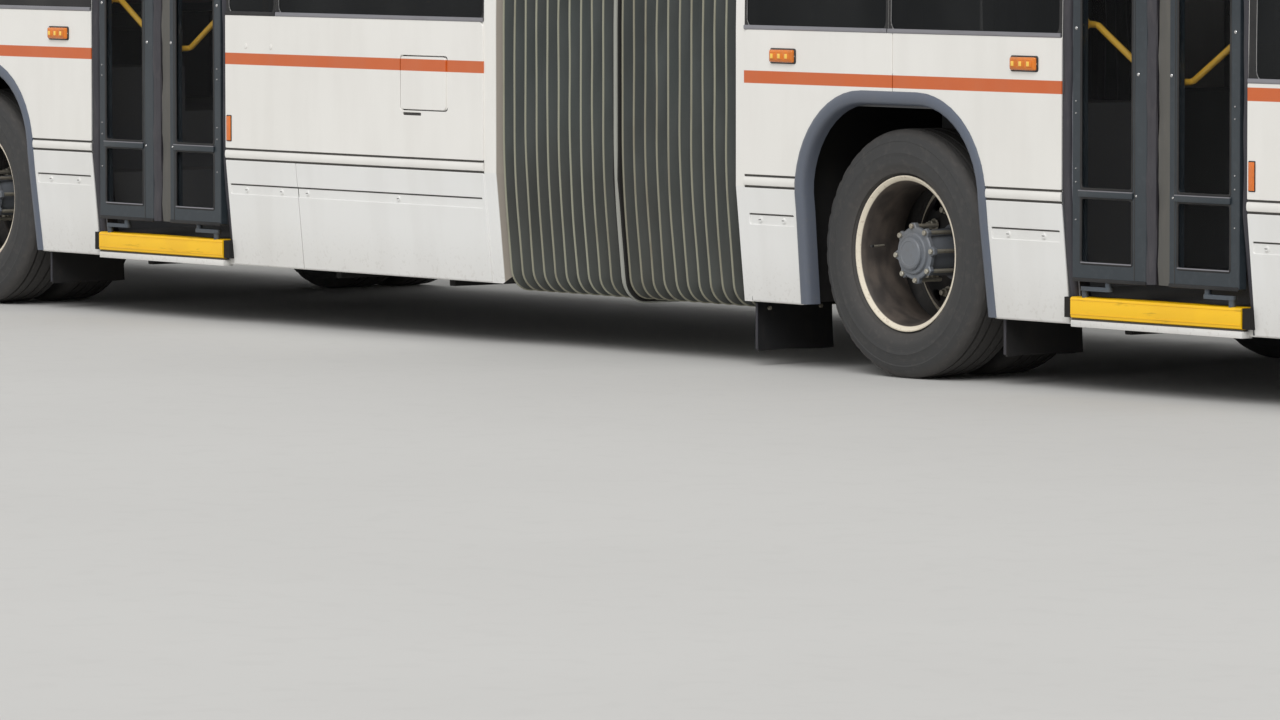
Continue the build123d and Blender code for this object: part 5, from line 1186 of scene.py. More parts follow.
def bellows_half(shape, start, end, loop, normals, rng):
    """Folded curtain between a portal and the hoop: stiff beads with cloth sinking between."""
    pitch = (end - start) / PLEATS
    bead = math.copysign(BEAD_HALF, pitch)
    sway = [ripple(rng, len(loop), 0.0018) for _ in range(PLEATS + 1)]
    sway[0][:], sway[-1][:] = 0, 0
    for k in range(PLEATS + 1):
        rib(shape, start + pitch * k, BEAD_HALF, BEAD_PROFILE, loop, normals, "bellows_bead",
            sway[k])
    for k in range(PLEATS):
        deep = ripple(rng, len(loop), 0.006)
        lean = ripple(rng, len(loop), 0.005)
        crease = ripple(rng, len(loop), 0.0025, (20, 60))
        left = start + pitch * k + sway[k] + bead
        right = start + pitch * (k + 1) + sway[k + 1] - bead
        rows = []
        for j in range(CLOTH_STEPS + 1):
            t = j / CLOTH_STEPS
            sink = math.sin(math.pi * t) ** 0.75
            depth = 0.004 + sink * (PLEAT_DEPTH + deep + crease * (1 - t))
            along = left + (right - left) * t + lean * sink
            rows.append([(a, p.x + n.x * d, p.y + n.y * d)
                         for a, d, p, n in zip(along, depth, loop, normals)])
        shape.loft(rows, "bellows_cloth")


def run_bellows():
    rng = random.Random(21)
    shape = Shape()
    loop = finer(body_loop(BELLOWS_INSET, BELLOWS_BOTTOM_Z, BELLOWS_CORNER_R), LOOP_STEP)
    normals = inward(loop)
    for portal_x, sense in ((FRONT_PORTAL_X, -1), (REAR_PORTAL_X, 1)):
        bellows_half(shape, portal_x + sense * BEAD_SETBACK,
                     PIVOT_X - sense * (HOOP_HALF + BEAD_SETBACK), loop, normals, rng)
    piece = put(shape.mesh("bellows_curtain", 50), "bellows_curtain", None, ["bellows"])
    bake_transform(piece)
    dress("centre_hoop", "under_black ribbed_floor axle_black",
          lambda c, n: (1 if n.z > 0.5 else 2) if abs(c.y) < 0.95 and c.z < 0.4 else 0)
    strip = Shape()
    rib(strip, PIVOT_X, HOOP_STRIP_HALF, [(u, d - HOOP_PROUD) for u, d in HOOP_PROFILE], loop,
        normals, "hoop_metal")
    strip.piece("hoop_strip", "centre_hoop")


# Wheels

# Half the section of a tyre, as (from its middle, radius)
TYRE_HALF_PROFILE = [
    (0.0945, 0.289), (0.0985, 0.3005), (0.1040, 0.3060), (0.1180, 0.3120), (0.1210, 0.3105),
    (0.1260, 0.3200), (0.1330, 0.3380), (0.1350, 0.3420), (0.1365, 0.3520), (0.1380, 0.3700),
    (0.1378, 0.3800), (0.1392, 0.3830), (0.1392, 0.3870), (0.1374, 0.3900), (0.1350, 0.4120),
    (0.1320, 0.4280), (0.1334, 0.4320), (0.1310, 0.4400), (0.1260, 0.4520), (0.1180, 0.4640),
    (0.1060, 0.4735), (0.0980, 0.4765), (0.0760, 0.4775), (0.0755, 0.4640), (0.0655, 0.4640),
    (0.0650, 0.4778), (0.0330, 0.4780), (0.0325, 0.4650), (0.0225, 0.4650), (0.0220, 0.4780),
]
NOTCH_ROWS = (17, 20)
NOTCH_DEPTH = 0.0045
TYRE_SIDES = 160
# Section of a rim, as (along, radius); positive is the wheel's outer side
RIM_PROFILE = [
    (-0.111, 0.2985), (-0.1115, 0.2860), (-0.1020, 0.2700), (-0.0870, 0.2640),
    (0.0500, 0.2620), (0.0610, 0.2680), (0.0800, 0.2700), (0.0880, 0.2745),
    (0.0990, 0.2790), (0.1060, 0.2860), (0.1115, 0.2945), (0.1105, 0.2990),
    (0.1060, 0.2998), (0.0990, 0.2960), (0.0975, 0.2890), (0.0600, 0.2880),
    (-0.0900, 0.2880), (-0.0985, 0.2940), (-0.111, 0.2985),
]
RIM_HALF = 0.111
DISC_R = 0.264
DISC_THICK = 0.012
DISC_BORE_R = 0.098
DISC_BEND_R = 0.215
DISC_SLOPE = 0.55
HAND_HOLES = 10
HAND_HOLE_R = 0.024
HAND_HOLE_RING_R = 0.217
STUDS_PER_WHEEL = 10
STUD_CIRCLE_R = 0.1675
NUT = [(0, 0.024), (0.004, 0.024), (0.005, 0.0185), (0.023, 0.0175), (0.026, 0.0135),
       (0.026, 0.0110), (0.040, 0.0105), (0.042, AXIS_R)]
STEER_HUB_FACE = 0.056
STEER_HUB_CAP = 0.050
TWIN_HUB_FACE = 0.231
TWIN_HUB_CAP = 0.014
HUB_FLANGE = 0.022
HUB_LOBES = 8
LOBE_STEPS = 8
LOBE_RISE = 0.016
HUB_STUD_R = 0.104
HUB_STUD_LENGTH = 0.105
DRUM_BOLTS = 12
DRUM_BOLT_RING_R = 0.190


def tyre_part(shape, offset):
    """One tyre: grooved tread, notched shoulders and fine rings on the sidewalls."""
    half = TYRE_HALF_PROFILE
    profile = [(offset - t, r) for t, r in half] + [(offset + t, r) for t, r in half[::-1]]

    def notch(i, k):
        row = min(i, len(profile) - 1 - i)
        turn = k + (4 if i > len(half) else 0)
        return -NOTCH_DEPTH * (NOTCH_ROWS[0] <= row <= NOTCH_ROWS[1] and turn % 4 == 0)
    shape.turned(profile, (0, 0, 0), (0, 1, 0), "tyre_rubber", TYRE_SIDES, notch)


def rim_part(shape, offset, sense):
    """Rolled steel rim: flange bead, gutter, ledge and drop centre, as a closed section."""
    profile = [(offset + sense * t, r) for t, r in RIM_PROFILE]
    shape.turned(profile, (0, 0, 0), (0, 1, 0), "wheel_steel", 96)


def disc_part(shape, disc_at, face, cap):
    """Wheel disc with hand holes, nuts on their studs, and the hub."""
    def place(u, v, proud):
        back = max(0.0, math.hypot(u, v) - DISC_BEND_R) * DISC_SLOPE
        return (u, disc_at - DISC_THICK - back + proud, v)
    hand_holes = [circle(u, v, HAND_HOLE_R, 14)
                  for u, v in ring_of(HAND_HOLES, HAND_HOLE_RING_R, 0.5)]
    shape.plate(circle(0, 0, DISC_R, 60), place, "wheel_steel",
                [circle(0, 0, DISC_BORE_R, 40), *hand_holes], DISC_THICK, 0.002)
    for x, z in ring_of(STUDS_PER_WHEEL, STUD_CIRCLE_R):
        shape.turned(NUT, (x, disc_at, z), (0, 1, 0), "nut_steel", 12,
                     lambda i, k: -0.0022 if 2 <= i <= 3 and k % 2 else 0.0)
    hub_part(shape, disc_at, face, cap)


def hub_part(shape, disc_at, face, cap):
    """Hub barrel, a lobed flange whose studs run back along it, and the cap."""
    back, end = face - 0.012 - HUB_FLANGE, face + cap
    steps = HUB_LOBES * LOBE_STEPS

    def part(profile, sides, shift=None):
        shape.turned(profile, (0, disc_at, 0), (0, 1, 0), "hub_metal", sides, shift)
    part([(0, 0.112), (0.006, 0.112), (0.010, 0.094), (back, 0.084)], 60)
    part([(back, 0.070), (back, 0.097), (back + 0.003, 0.101), (face - 0.016, 0.101),
          (face - 0.012, 0.096), (face - 0.012, 0.083), (face - 0.003, 0.080), (face, 0.076),
          (face, 0.058)], steps,
         lambda i, k: LOBE_RISE if 1 <= i <= 4 and k % LOBE_STEPS < 3 else 0.0)
    first, second = across((0, 1, 0))
    stud = min(HUB_STUD_LENGTH, back - 0.008)
    for u, v in ring_of(steps, HUB_STUD_R)[1::LOBE_STEPS]:
        out = first * u + second * v
        for start, stop, r in ((back - stud, back, 0.0080), (face - 0.013, face - 0.003, 0.0105)):
            shape.rod(out + Vector((0, disc_at + start, 0)), out + Vector((0, disc_at + stop, 0)),
                      r, "nut_steel", 8)
    part([(face - 0.004, 0.066), (face + cap * 0.6, 0.0620), (face + cap * 0.7, 0.0635),
          (end - 0.005, 0.0625), (end - 0.001, 0.0580), (end, 0.0480), (end - 0.0015, 0.0460),
          (end - 0.0015, AXIS_R)], 48)


def drum_part(shape, start, end):
    """Brake drum and its back plate, behind the disc."""
    shape.turned([(end, 0.100), (end, 0.196), (end - 0.012, 0.208), (start + 0.030, 0.212),
                  (start + 0.022, 0.221), (start, 0.221), (start, 0.060), (start + 0.01, 0.050)],
                 (0, 0, 0), (0, 1, 0), "axle_black", 60)
    for x, z in ring_of(DRUM_BOLTS, DRUM_BOLT_RING_R):
        shape.rod((x, start + 0.002, z), (x, start - 0.008, z), 0.008, "nut_steel", 6)


def valve(shape, rim_y):
    """Tyre valve on a bent stem in the dish."""
    path = [(0.236, rim_y - 0.09, 0.02), (0.222, rim_y - 0.055, 0.02), (0.214, rim_y - 0.02, 0.02)]
    shape.tube(path, 0.004, "nut_steel", 8)
    shape.rod(path[-1], (0.2115, rim_y - 0.006, 0.02), 0.0055, "black_plastic", 8)


def wheel_meshes(station, word, offsets, disc_at, face, cap, drum):
    """The meshes of a station's tyres and of its wheel, about the wheel's middle."""
    tyre, wheel = Shape(), Shape()
    for offset in offsets:
        tyre_part(tyre, offset)
        rim_part(wheel, offset, -1 if offset < 0 else 1)
    disc_part(wheel, disc_at, face, cap)
    drum_part(wheel, *drum)
    valve(wheel, offsets[-1] + RIM_HALF)
    return {word: tyre.mesh(f"{word}_{station}_left", 28),
            "wheel": wheel.mesh(f"wheel_{station}_left", 32)}


def run_wheels():
    single = wheel_meshes("front", "tyre", (0,), STEER_DISC, STEER_HUB_FACE, STEER_HUB_CAP,
                          (-0.085, 0.006))
    twin = wheel_meshes("middle", "tyres", (-TWIN_HALF, TWIN_HALF), TWIN_DISC, TWIN_HUB_FACE,
                        TWIN_HUB_CAP, (-0.190, -0.010))
    for station, offset, meshes in (("front", SINGLE_Y, single), ("middle", TWIN_MID_Y, twin),
                                    ("rear", TWIN_MID_Y, twin)):
        for end, side in (("left", 1), ("right", -1)):
            place = (Matrix.Translation((AXLES[station], side * offset, TYRE_R))
                     @ Matrix.Rotation(0.0 if side > 0 else math.pi, 4, "Z"))
            for word, mesh in meshes.items():
                node = f"{word}_{station}_{end}"
                put(mesh, f"{node}_dressed", f"{station}_{end}_wheel", [node], place)
    dress("front_axles rear_axle knuckle_left knuckle_right", "axle_black")


# Doors

BAR_Y = -1.205
STEP_FACE_Y = 1.288
REAR_RUBBER_WIDTH = 0.040
FRONT_RUBBER_WIDTH = 0.074
DOOR_GLASS_Y = LEAF_FACE_Y - 0.016
# Each row: distance from the leaf's outer edge, height and radius of a stud
STUDS = [(0.022, 1.360, 0.0068), (0.367, 1.195, 0.0068), (0.022, 1.090, 0.0036),
         (0.022, 1.045, 0.0036), (0.022, 0.840, 0.0036), (0.022, 0.790, 0.0036),
         (0.022, 0.650, 0.0036), (0.357, 0.748, 0.0050), (0.022, 1.980, 0.0068),
         (0.367, 2.050, 0.0068)]
DOOR_BODIES = {"door_1": "front_body", "door_2": "front_body", "door_3": "rear_body"}


def leaf_shape(s):
    """One door leaf about its own centre line; s is -1 where its meeting edge looks back."""
    shape = Shape()
    half = (LEAF_OUTER - LEAF_INNER) / 2
    edge, body_end = -half, half - (REAR_RUBBER_WIDTH if s > 0 else FRONT_RUBBER_WIDTH)
    back_y = LEAF_FACE_Y - LEAF_THICK
    glass0 = edge + LEAF_STILE
    glass1 = glass0 + LEAF_GLASS
    low, high = LEAF_BOTTOM_Z + LEAF_RAIL, LEAF_TOP_Z - LEAF_RAIL
    bar_top = CROSSBAR_Z + CROSSBAR_HEIGHT

    def behind(y):
        return lambda u, v, proud: (s * u, -(y + proud), v)

    def bar(u0, u1, y0, y1, z0, z1, name, soft):
        """Block on the outer face; y0 and y1 are how far it stands out."""
        shape.block((s * u0, -(LEAF_FACE_Y + y0), z0), (s * u1, -(LEAF_FACE_Y + y1), z1), name,
                    soft)

    panes = [(glass0, glass1, low, CROSSBAR_Z), (glass0, glass1, bar_top, high)]
    shape.plate(rect(edge, body_end, LEAF_BOTTOM_Z, LEAF_TOP_Z, 0.006), behind(back_y),
                "door_frame", [rect(*pane, r) for pane, r in zip(panes, (0.012, 0.02))],
                LEAF_THICK, 0.003)
    for u0, u1, v0, v1 in panes:
        shape.plate(rect(u0 - 0.003, u1 + 0.003, v0 - 0.003, v1 + 0.003, 0.014),
                    behind(LEAF_FACE_Y - 0.004), "gasket",
                    [rect(u0 + 0.007, u1 - 0.007, v0 + 0.007, v1 - 0.007, 0.010)], 0.006, 0.002)
        shape.plate(rect(u0, u1, v0, v1, 0.012), behind(DOOR_GLASS_Y), "door_glass", thick=0.008,
                    edge=0)
    bar(glass0 - 0.004, glass1 + 0.006, 0.001, 0.0085, CROSSBAR_Z, bar_top - 0.002, "door_frame",
        0.003)
    bar(glass0 - 0.004, glass1 + 0.006, 0.0015, 0.0095, bar_top - 0.006, bar_top - 0.002,
        "aluminium", 0.001)
    bar(glass0 + 0.004, glass1 - 0.004, 0.0015, 0.0035, low + 0.003, low + 0.008, "aluminium",
        0.0008)
    bar(edge + 0.002, body_end, -0.002, 0.0030, LEAF_BOTTOM_Z - 0.004, LEAF_BOTTOM_Z + 0.010,
        "gasket", 0.002)
    for u, z, r in STUDS:
        shape.turned([(0, r), (0.0012, r), (0.0030, r * 0.76), (0.0036, AXIS_R)],
                     (s * (edge + u), -LEAF_FACE_Y, z), (0, -1, 0), "bright_steel", 12)
    bar(glass1 + 0.010, glass1 + 0.0125, 0, 0.0012, LEAF_BOTTOM_Z + 0.01, LEAF_TOP_Z - 0.01,
        "seam", 0)
    leaf_rubber(shape, s, body_end, half, back_y)
    u0, u1 = edge + 0.030, glass1 + 0.024
    rail = [(u0, back_y, 1.375), (u0, 0.010 - BAR_Y, 1.372), (u0 + 0.010, -BAR_Y, 1.368),
            (u1 - 0.014, -BAR_Y, 1.175), (u1 - 0.002, 0.010 - BAR_Y, 1.170), (u1, back_y, 1.170)]
    shape.tube([(s * u, -y, z) for u, y, z in rail], 0.0125, "rail_yellow", 12)
    for u, y, z in (rail[0], rail[-1]):
        shape.turned([(0, 0.024), (0.006, 0.022), (0.008, 0.013)], (s * u, -y, z), (0, 1, 0),
                     "rail_yellow", 20)
    bar(edge + 0.004, body_end - 0.004, -LEAF_THICK, -LEAF_THICK - 0.010, LEAF_TOP_Z - 0.05,
        LEAF_TOP_Z - 0.02, "black_plastic", 0.002)
    return shape


def leaf_rubber(shape, s, start, end, back_y):
    """Soft edge of a leaf where it meets the other, a little wavy."""
    profile = [(start - 0.002, 0.004), (start - 0.002, 0.033), (start + 0.010, 0.0375),
               (start + 0.024, 0.036), (end - 0.012, 0.031), (end - 0.002, 0.023), (end, 0.016),
               (end - 0.004, 0.007), (end - 0.012, 0.004)]
    rows = []
    for k in range(49):
        z = LEAF_BOTTOM_Z + (LEAF_TOP_Z - LEAF_BOTTOM_Z) * k / 48
        wave = 0.0016 * math.sin(z * 17 + s) + 0.001 * math.sin(z * 41)
        rows.append([(s * (u + wave * (start + 0.005 < u < end - 0.001)),
                      -(back_y + d + wave * (d > 0.03)), z) for u, d in profile])
    shape.loft(rows, "jamb_rubber" if s > 0 else "seal_rubber", caps=True)


def door_step(shape, centre):
    """Thick yellow step edge under a doorway, with the skirt strip below it."""
    x0, x1 = centre - DOOR_HALF + 2 * SEAL_HALF, centre + DOOR_HALF - 2 * SEAL_HALF
    y = STEP_FACE_Y
    profile = [(y - 0.06, 0.3625), (y - 0.004, 0.3625), (y + 0.004, 0.3600), (y + 0.007, 0.3540),
               (y + 0.0070, 0.3000), (y + 0.0045, 0.2860), (y - 0.002, 0.2820), (y - 0.02, 0.2820)]
    shape.loft([[(x, -py, z) for py, z in profile] for x in (x0, x1)], "step_yellow", caps=True)
    for z in (0.297, 0.350):
        shape.block((x0, -(y + 0.0065), z), (x1, -(y + 0.0085), z + 0.003), "step_yellow", 0.0008)
    shape.block((x0 + 0.001, -(y - 0.03), 0.2765), (x1 - 0.001, -(y + 0.002), 0.2815), "seam", 0)
    shape.block((x0 - 0.002, -(y - 0.05), 0.250), (x1 + 0.002, -(y + 0.004), 0.276),
                "coach_white", 0.003)


def run_doors():
    middle = (LEAF_INNER + LEAF_OUTER) / 2
    for s, end in ((1, "rear"), (-1, "front")):
        data = leaf_shape(s).mesh(f"leaf_{end}", 30)
        for door, centre in DOOR_CENTRES.items():
            node = f"{door}_leaf_{end}"
            put(data, f"{node}_dressed", f"{door}_{end}_leaf", [node],
                Matrix.Translation((centre - s * middle, 0, 0)))
            dress(f"{door}_arms_{end}", "arm_steel")
    for door, centre in DOOR_CENTRES.items():
        shape = Shape()
        door_step(shape, centre)
        shape.block((centre - DOOR_HALF + 0.004, -1.235, DOOR_TOP_Z - 0.035),
                    (centre + DOOR_HALF - 0.004, -1.299, DOOR_TOP_Z - 0.004), "gasket", 0.004)
        shape.piece(f"{door}_step", DOOR_BODIES[door])


# Lamps

# Places as (y, z), and for the tail as (z, lens)
HEADLAMPS = [(-1.010, 0.730), (-0.830, 0.730), (0.830, 0.730), (1.010, 0.730)]
TAIL_LAMPS = [(0.820, "clear_lens"), (0.980, "red_lens"), (1.140, "amber_lens")]
TAIL_LAMP_Y = 1.090
MARKERS = {"front_body": [-0.039, 1.390], "rear_body": [-5.072]}
REFLECTORS = {"front_body": [2.645], "rear_body": [-3.777]}
MARKER_Z = 1.222
MARKER_STEPS = [(0.0, 0.0), (0.0, 0.006), (0.003, 0.011), (0.009, 0.014), (0.040, 0.0145)]
REFLECTOR_Z = 0.841
HEADLAMP_R = 0.073
TAIL_LAMP_R = 0.060


def marker_lamp(shape, x, side):
    """Side marker: dark base, amber moulding with ribs, and the bulb chambers behind it."""
    shape.plate(rect(x - 0.079, x + 0.079, MARKER_Z - 0.030, MARKER_Z + 0.030, 0.010),
                on_wall(side), "black_plastic", thick=0.011, edge=0.003)
    low = wall_y(MARKER_Z) + 0.010
    rows = []
    for inset, proud in MARKER_STEPS:
        end = 0.0245 - min(inset, 0.012)
        rows.append([(p.x, side * (low + proud), p.y) for p in
                     rect(x - 0.072 + inset, x + 0.072 - inset, MARKER_Z - end, MARKER_Z + end,
                          0.006)])
    shape.loft(rows, "amber_lens", caps=True)

    def rib_block(x0, x1, y0, y1, half, name, soft):
        shape.block((x0, side * (low + y0), MARKER_Z - half),
                    (x1, side * (low + y1), MARKER_Z + half), name, soft)
    for middle in (x - 0.044, x, x + 0.044):
        rib_block(middle - 0.018, middle + 0.018, 0.012, 0.0165, 0.013, "amber_lens", 0.003)
        rib_block(middle - 0.011, middle + 0.004, 0.015, 0.0178, 0.009, "bulb_glow", 0.001)
    for screw_x in (x - 0.0745, x + 0.0745):
        shape.turned([(0, 0.003), (0.001, 0.0025), (0.0012, AXIS_R)],
                     (screw_x, side * (low + 0.0012), MARKER_Z), (0, side, 0), "nut_steel", 8)


def upright_reflector(shape, x, side):
    z = REFLECTOR_Z
    shape.plate(rect(x - 0.0185, x + 0.0185, z - 0.056, z + 0.056, 0.004), on_wall(side),
                "black_plastic", thick=0.0085, edge=0.0015)
    y = side * (wall_y(z) + 0.008)
    shape.block((x - 0.0155, y, z - 0.052), (x + 0.0155, y + side * 0.0035, z + 0.052),
                "amber_reflex", 0.0015)


class Skin:
    """The outer surface of some CAD nodes, on which shapes are laid along X."""

    def __init__(self, sense, nodes):
        points, faces = [], []
        for node in nodes.split():
            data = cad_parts[node].data
            start = len(points)
            points += [v.co.copy() for v in data.vertices]
            faces += [[start + i for i in p.vertices] for p in data.polygons]
        self.tree = BVHTree.FromPolygons(points, faces)
        self.sense = sense

    def x(self, y, z):
        hit = self.tree.ray_cast(Vector((self.sense * 12, y, z)), Vector((-self.sense, 0, 0)))[0]
        return hit.x if hit else None

    def place(self, y, z, proud):
        """A point on the surface; past its rim, the nearest one towards the middle."""
        hits = (self.x(y * f, z) for f in (1, 0.99, 0.98, 0.96, 0.94))
        return (next((x for x in hits if x), 0.0) + self.sense * proud, y, z)

    def label(self, shape, box, r, name, thick, edge, grid=0.02, holes=()):
        """Flat fitting laid on the surface; box is its first and last y and z."""
        shape.plate(rect(*box, r), self.place, name, holes, thick, edge, grid)

    def line(self, shape, side, y0, y1, z, high=0.004):
        """Dark joint line across one side."""
        shape.strip(self.place, *sorted((side * y0, side * y1)), z, z + high, thick=0.0012,
                    grid=0.05)

    def number_plate(self, shape, low, lap):
        """Blank number plate on its black holder."""
        high = low + 0.112
        self.label(shape, (-0.262, 0.262, low, high), 0.008, "blank_plate", 0.010, 0.002, 0.1)
        self.label(shape, (-0.280, 0.280, low - lap, high + lap), 0.010, "black_plastic", 0.005,
                   0.001, 0.1)


def round_lamp(shape, skin, y, z, r, name):
    """Lamp with a bezel, a bright bowl and a domed, fluted lens."""
    hits = [skin.x(y + dy, z + dz) for dy in (-r - 0.01, r + 0.01) for dz in (-r, r)]
    x = max((hit for hit in hits if hit), key=abs)

    def part(profile, finish_name, shift=None):
        shape.turned(profile, (x, y, z), (skin.sense, 0, 0), finish_name, 32, shift)
    part([(-0.012, r + 0.010), (0.004, r + 0.010), (0.008, r + 0.006), (0.008, r - 0.002),
          (-0.002, r - 0.004), (-0.012, r - 0.004)], "black_plastic")
    part([(-0.055 + 0.05 * (t / 6) ** 2, max(AXIS_R, (r - 0.006) * t / 6)) for t in range(7)],
         "reflector")
    part([(0.0055 - 0.0095 * (t / 7) ** 2, max(AXIS_R, (r - 0.004) * t / 7)) for t in range(8)],
         name, lambda i, k: 0.0006 if k % 2 and i > 2 else 0.0)


def run_lamps():
    for body, node in (("front_body", "front_lamps"), ("rear_body", "rear_lamps")):
        shape = Shape()
        for fitting, places in ((marker_lamp, MARKERS), (upright_reflector, REFLECTORS)):
            for x in places[body]:
                for side in SIDES:
                    fitting(shape, x, side)
        shape.piece(f"side_lamps_{body}", body, [node])
    skin = Skin(1, "front_mask front_bumper front_lamps")
    shape = Shape()
    for y, z in HEADLAMPS:
        round_lamp(shape, skin, y, z, HEADLAMP_R, "clear_lens")
    for side in SIDES:
        middle = side * 0.920
        skin.label(shape, (middle - 0.205, middle + 0.205, 0.632, 0.828), 0.095, "black_plastic",
                   0.004, 0.001, 0.03, [circle(side * y, 0.730, 0.080) for y in (0.830, 1.010)])
    shape.piece("headlamps", "front_body", ["front_lamps"])
    skin = Skin(-1, "rear_mask rear_bumper engine_door rear_lamps")
    shape = Shape()
    for side in SIDES:
        for z, name in TAIL_LAMPS:
            round_lamp(shape, skin, side * TAIL_LAMP_Y, z, TAIL_LAMP_R, name)
    shape.piece("tail_lamps", "rear_body", ["rear_lamps"])


# Nose

# Boxes as first and last y and z; the windscreen's is one of its two halves
WINDSCREEN = (0.018, 1.170, 1.010, 2.290)
SIGN = (-0.820, 0.820, 2.380, 2.680)
SIGN_BOARD_X = 8.930
MASK_CENTRE_X = 8.300
MASK_CENTRE_Z = 1.500
WIPER_FLAP = (-0.620, 0.620, 0.672, 0.952)
MIRROR_Y = 1.440
MIRROR_FACE_X = 8.945


def grown(box, by):
    """A box (u0, u1, v0, v1) that is larger all round; by is negative for a smaller one."""
    return (box[0] - by, box[1] + by, box[2] - by, box[3] + by)


def wiper(shape, skin, side):
    """Pantograph wiper: pivot, two arms and the blade lying on the glass."""
    pivot_y, blade_y = side * 0.240, side * 0.560
    pivot = Vector(skin.place(pivot_y, 0.968, 0.0))
    shape.rod(pivot - Vector((0.01, 0, 0)), pivot + Vector((0.034, 0, 0)), 0.018,
              "black_plastic", 16)
    elbow = Vector(skin.place(blade_y, 1.42, 0.030))
    for shift in (0.0, 0.045):
        start = pivot + Vector((0.026, side * shift, 0.0))
        shape.tube([start, start.lerp(elbow, 0.5) + Vector((0.012, 0, 0)), elbow], 0.006,
                   "black_plastic", 8)
    for proud, radius in ((0.018, 0.007), (0.010, 0.0045)):
        shape.tube([skin.place(blade_y + side * 0.01 * math.sin(k), 1.08 + 0.09 * k, proud)
                    for k in range(9)], radius, "black_plastic", 6)


def outer_face(middle_x):
    """Picks the first finish on a shell's outer side and the second on its inner side."""
    middle = Vector((middle_x, 0.0, MASK_CENTRE_Z))
    return lambda c, n: 0 if n.dot(c - middle) > 0 else 1


def nose_glazing():
    skin, shape = Skin(1, "front_mask windscreen"), Shape()
    y0, y1, z0, z1 = WINDSCREEN
    for side in SIDES:
        a, b = sorted((side * y0, side * y1))
        shape.plate(rect(a - (0.020 if side > 0 else 0.022), b + (0.022 if side > 0 else 0.020),
                         z0 - 0.022, z1 + 0.022, 0.105, 6), skin.place, "gasket",
                    [rect(*grown((a, b, z0, z1), -0.006), 0.085, 6)], 0.0055, 0.001, 0.045)
        wiper(shape, skin, side)
    skin.label(shape, grown(SIGN, 0.018), 0.05, "gasket", 0.0055, 0.001, 0.06,
               [rect(*grown(SIGN, -0.006), 0.036)])
    shape.plate(rect(*grown(SIGN, -0.03), 0.01), lambda u, v, p: (SIGN_BOARD_X + p, u, v),
                "black_plastic", thick=0.02, edge=0.002)
    shape.piece("nose_glazing", "front_body")


def nose_details():
    skin, shape = Skin(1, "front_mask windscreen front_lamps front_bumper"), Shape()
    skin.label(shape, WIPER_FLAP, 0.03, "seam", 0.0012, 0, 0.05,
               [rect(*grown(WIPER_FLAP, -0.004), 0.027)])
    for y in (-0.52, 0.52):
        shape.turned([(0, 0.020), (0.003, 0.020), (0.0045, 0.017), (0.0045, 0.006),
                      (0.006, AXIS_R)], (skin.x(y, 0.70), y, 0.70), (1, 0, 0), "bright_steel", 20)
    for y in (-0.45, 0.45):
        x = skin.x(y, 0.945)
        shape.block((x - 0.002, y - 0.05, 0.938), (x + 0.010, y + 0.05, 0.956), "coach_white")
    for side in SIDES:
        for z in (2.335, 2.73):
            skin.line(shape, side, 0.01, 1.16, z)
        for r, name, thick, edge in ((0.046, "black_plastic", 0.006, 0.001),
                                     (0.040, "amber_lens", 0.012, 0.003)):
            shape.plate(circle(side * 1.155, 0.905, r, 20), skin.place, name, thick=thick,
                        edge=edge, grid=0.02)
        for y in (side * 0.95, side * 0.30):
            skin.label(shape, (y - 0.045, y + 0.045, 2.752, 2.778), 0.010, "amber_lens", 0.014,
                       0.004)
    skin.number_plate(shape, 0.395, 0.013)
    for z in (0.372, 0.552):
        for side in SIDES:
            skin.line(shape, side, 0.30, 1.2, z, 0.006)
    for y in (-0.72, 0.72):
        slots = [rect(y - 0.15, y + 0.15, 0.412 + k * 0.026, 0.424 + k * 0.026, 0.005)
                 for k in range(4)]
        skin.label(shape, (y - 0.16, y + 0.16, 0.40, 0.52), 0.02, "black_plastic", 0.006, 0.001,
                   0.04, slots)
    shape.piece("nose_details", "front_body")


def mirror_faces():
    shape = Shape()
    for y in (-MIRROR_Y, MIRROR_Y):
        for low, high, r in ((1.60, 1.965, 0.03), (1.535, 1.590, 0.02)):
            shape.plate(rect(y - 0.100, y + 0.100, low, high, r),
                        lambda u, v, p: (MIRROR_FACE_X - p, u, v), "mirror_glass", thick=0.004,
                        edge=0.001)
        shape.rod((8.990, y, 1.975), (8.990, y, 2.03), 0.024, "black_plastic", 14)
        for z in (1.6, 1.75, 1.9):
            shape.block((9.034, y - 0.09, z), (9.037, y + 0.09, z + 0.006), "black_plastic", 0.001)
    shape.piece("mirror_faces", "front_body")


def run_nose():
    dress("front_mask", "coach_side cab_grey", outer_face(MASK_CENTRE_X))
    dress("windscreen", "screen_glass")
    dress("front_bumper", "bumper_grey")
    dress("mirrors", "black_plastic")
    nose_glazing()
    nose_details()
    mirror_faces()


# Tail

GRILLE = (-0.915, 0.915, 1.552, 2.168)
GRILLE_SLATS = 7
# Each row: distance from the middle, half width, low and high edge, corner, thickness, edge, grid
TAIL_LENSES = [(0.55, 0.07, 2.40, 2.435, 0.012, 0.012, 0.004, 0.03),
               (1.10, 0.04, 2.752, 2.776, 0.010, 0.012, 0.004, 0.02),
               (1.09, 0.024, 0.690, 0.738, 0.006, 0.009, 0.002, 0.02)]
EXHAUST = [(-8.72, 0.90, 0.33), (-8.95, 0.90, 0.32), (-9.07, 0.90, 0.285), (-9.12, 0.90, 0.265)]
LOUVRE = [(0, -0.012), (0.0085, -0.010), (0.0095, -0.006), (0.003, 0.014), (0, 0.015)]


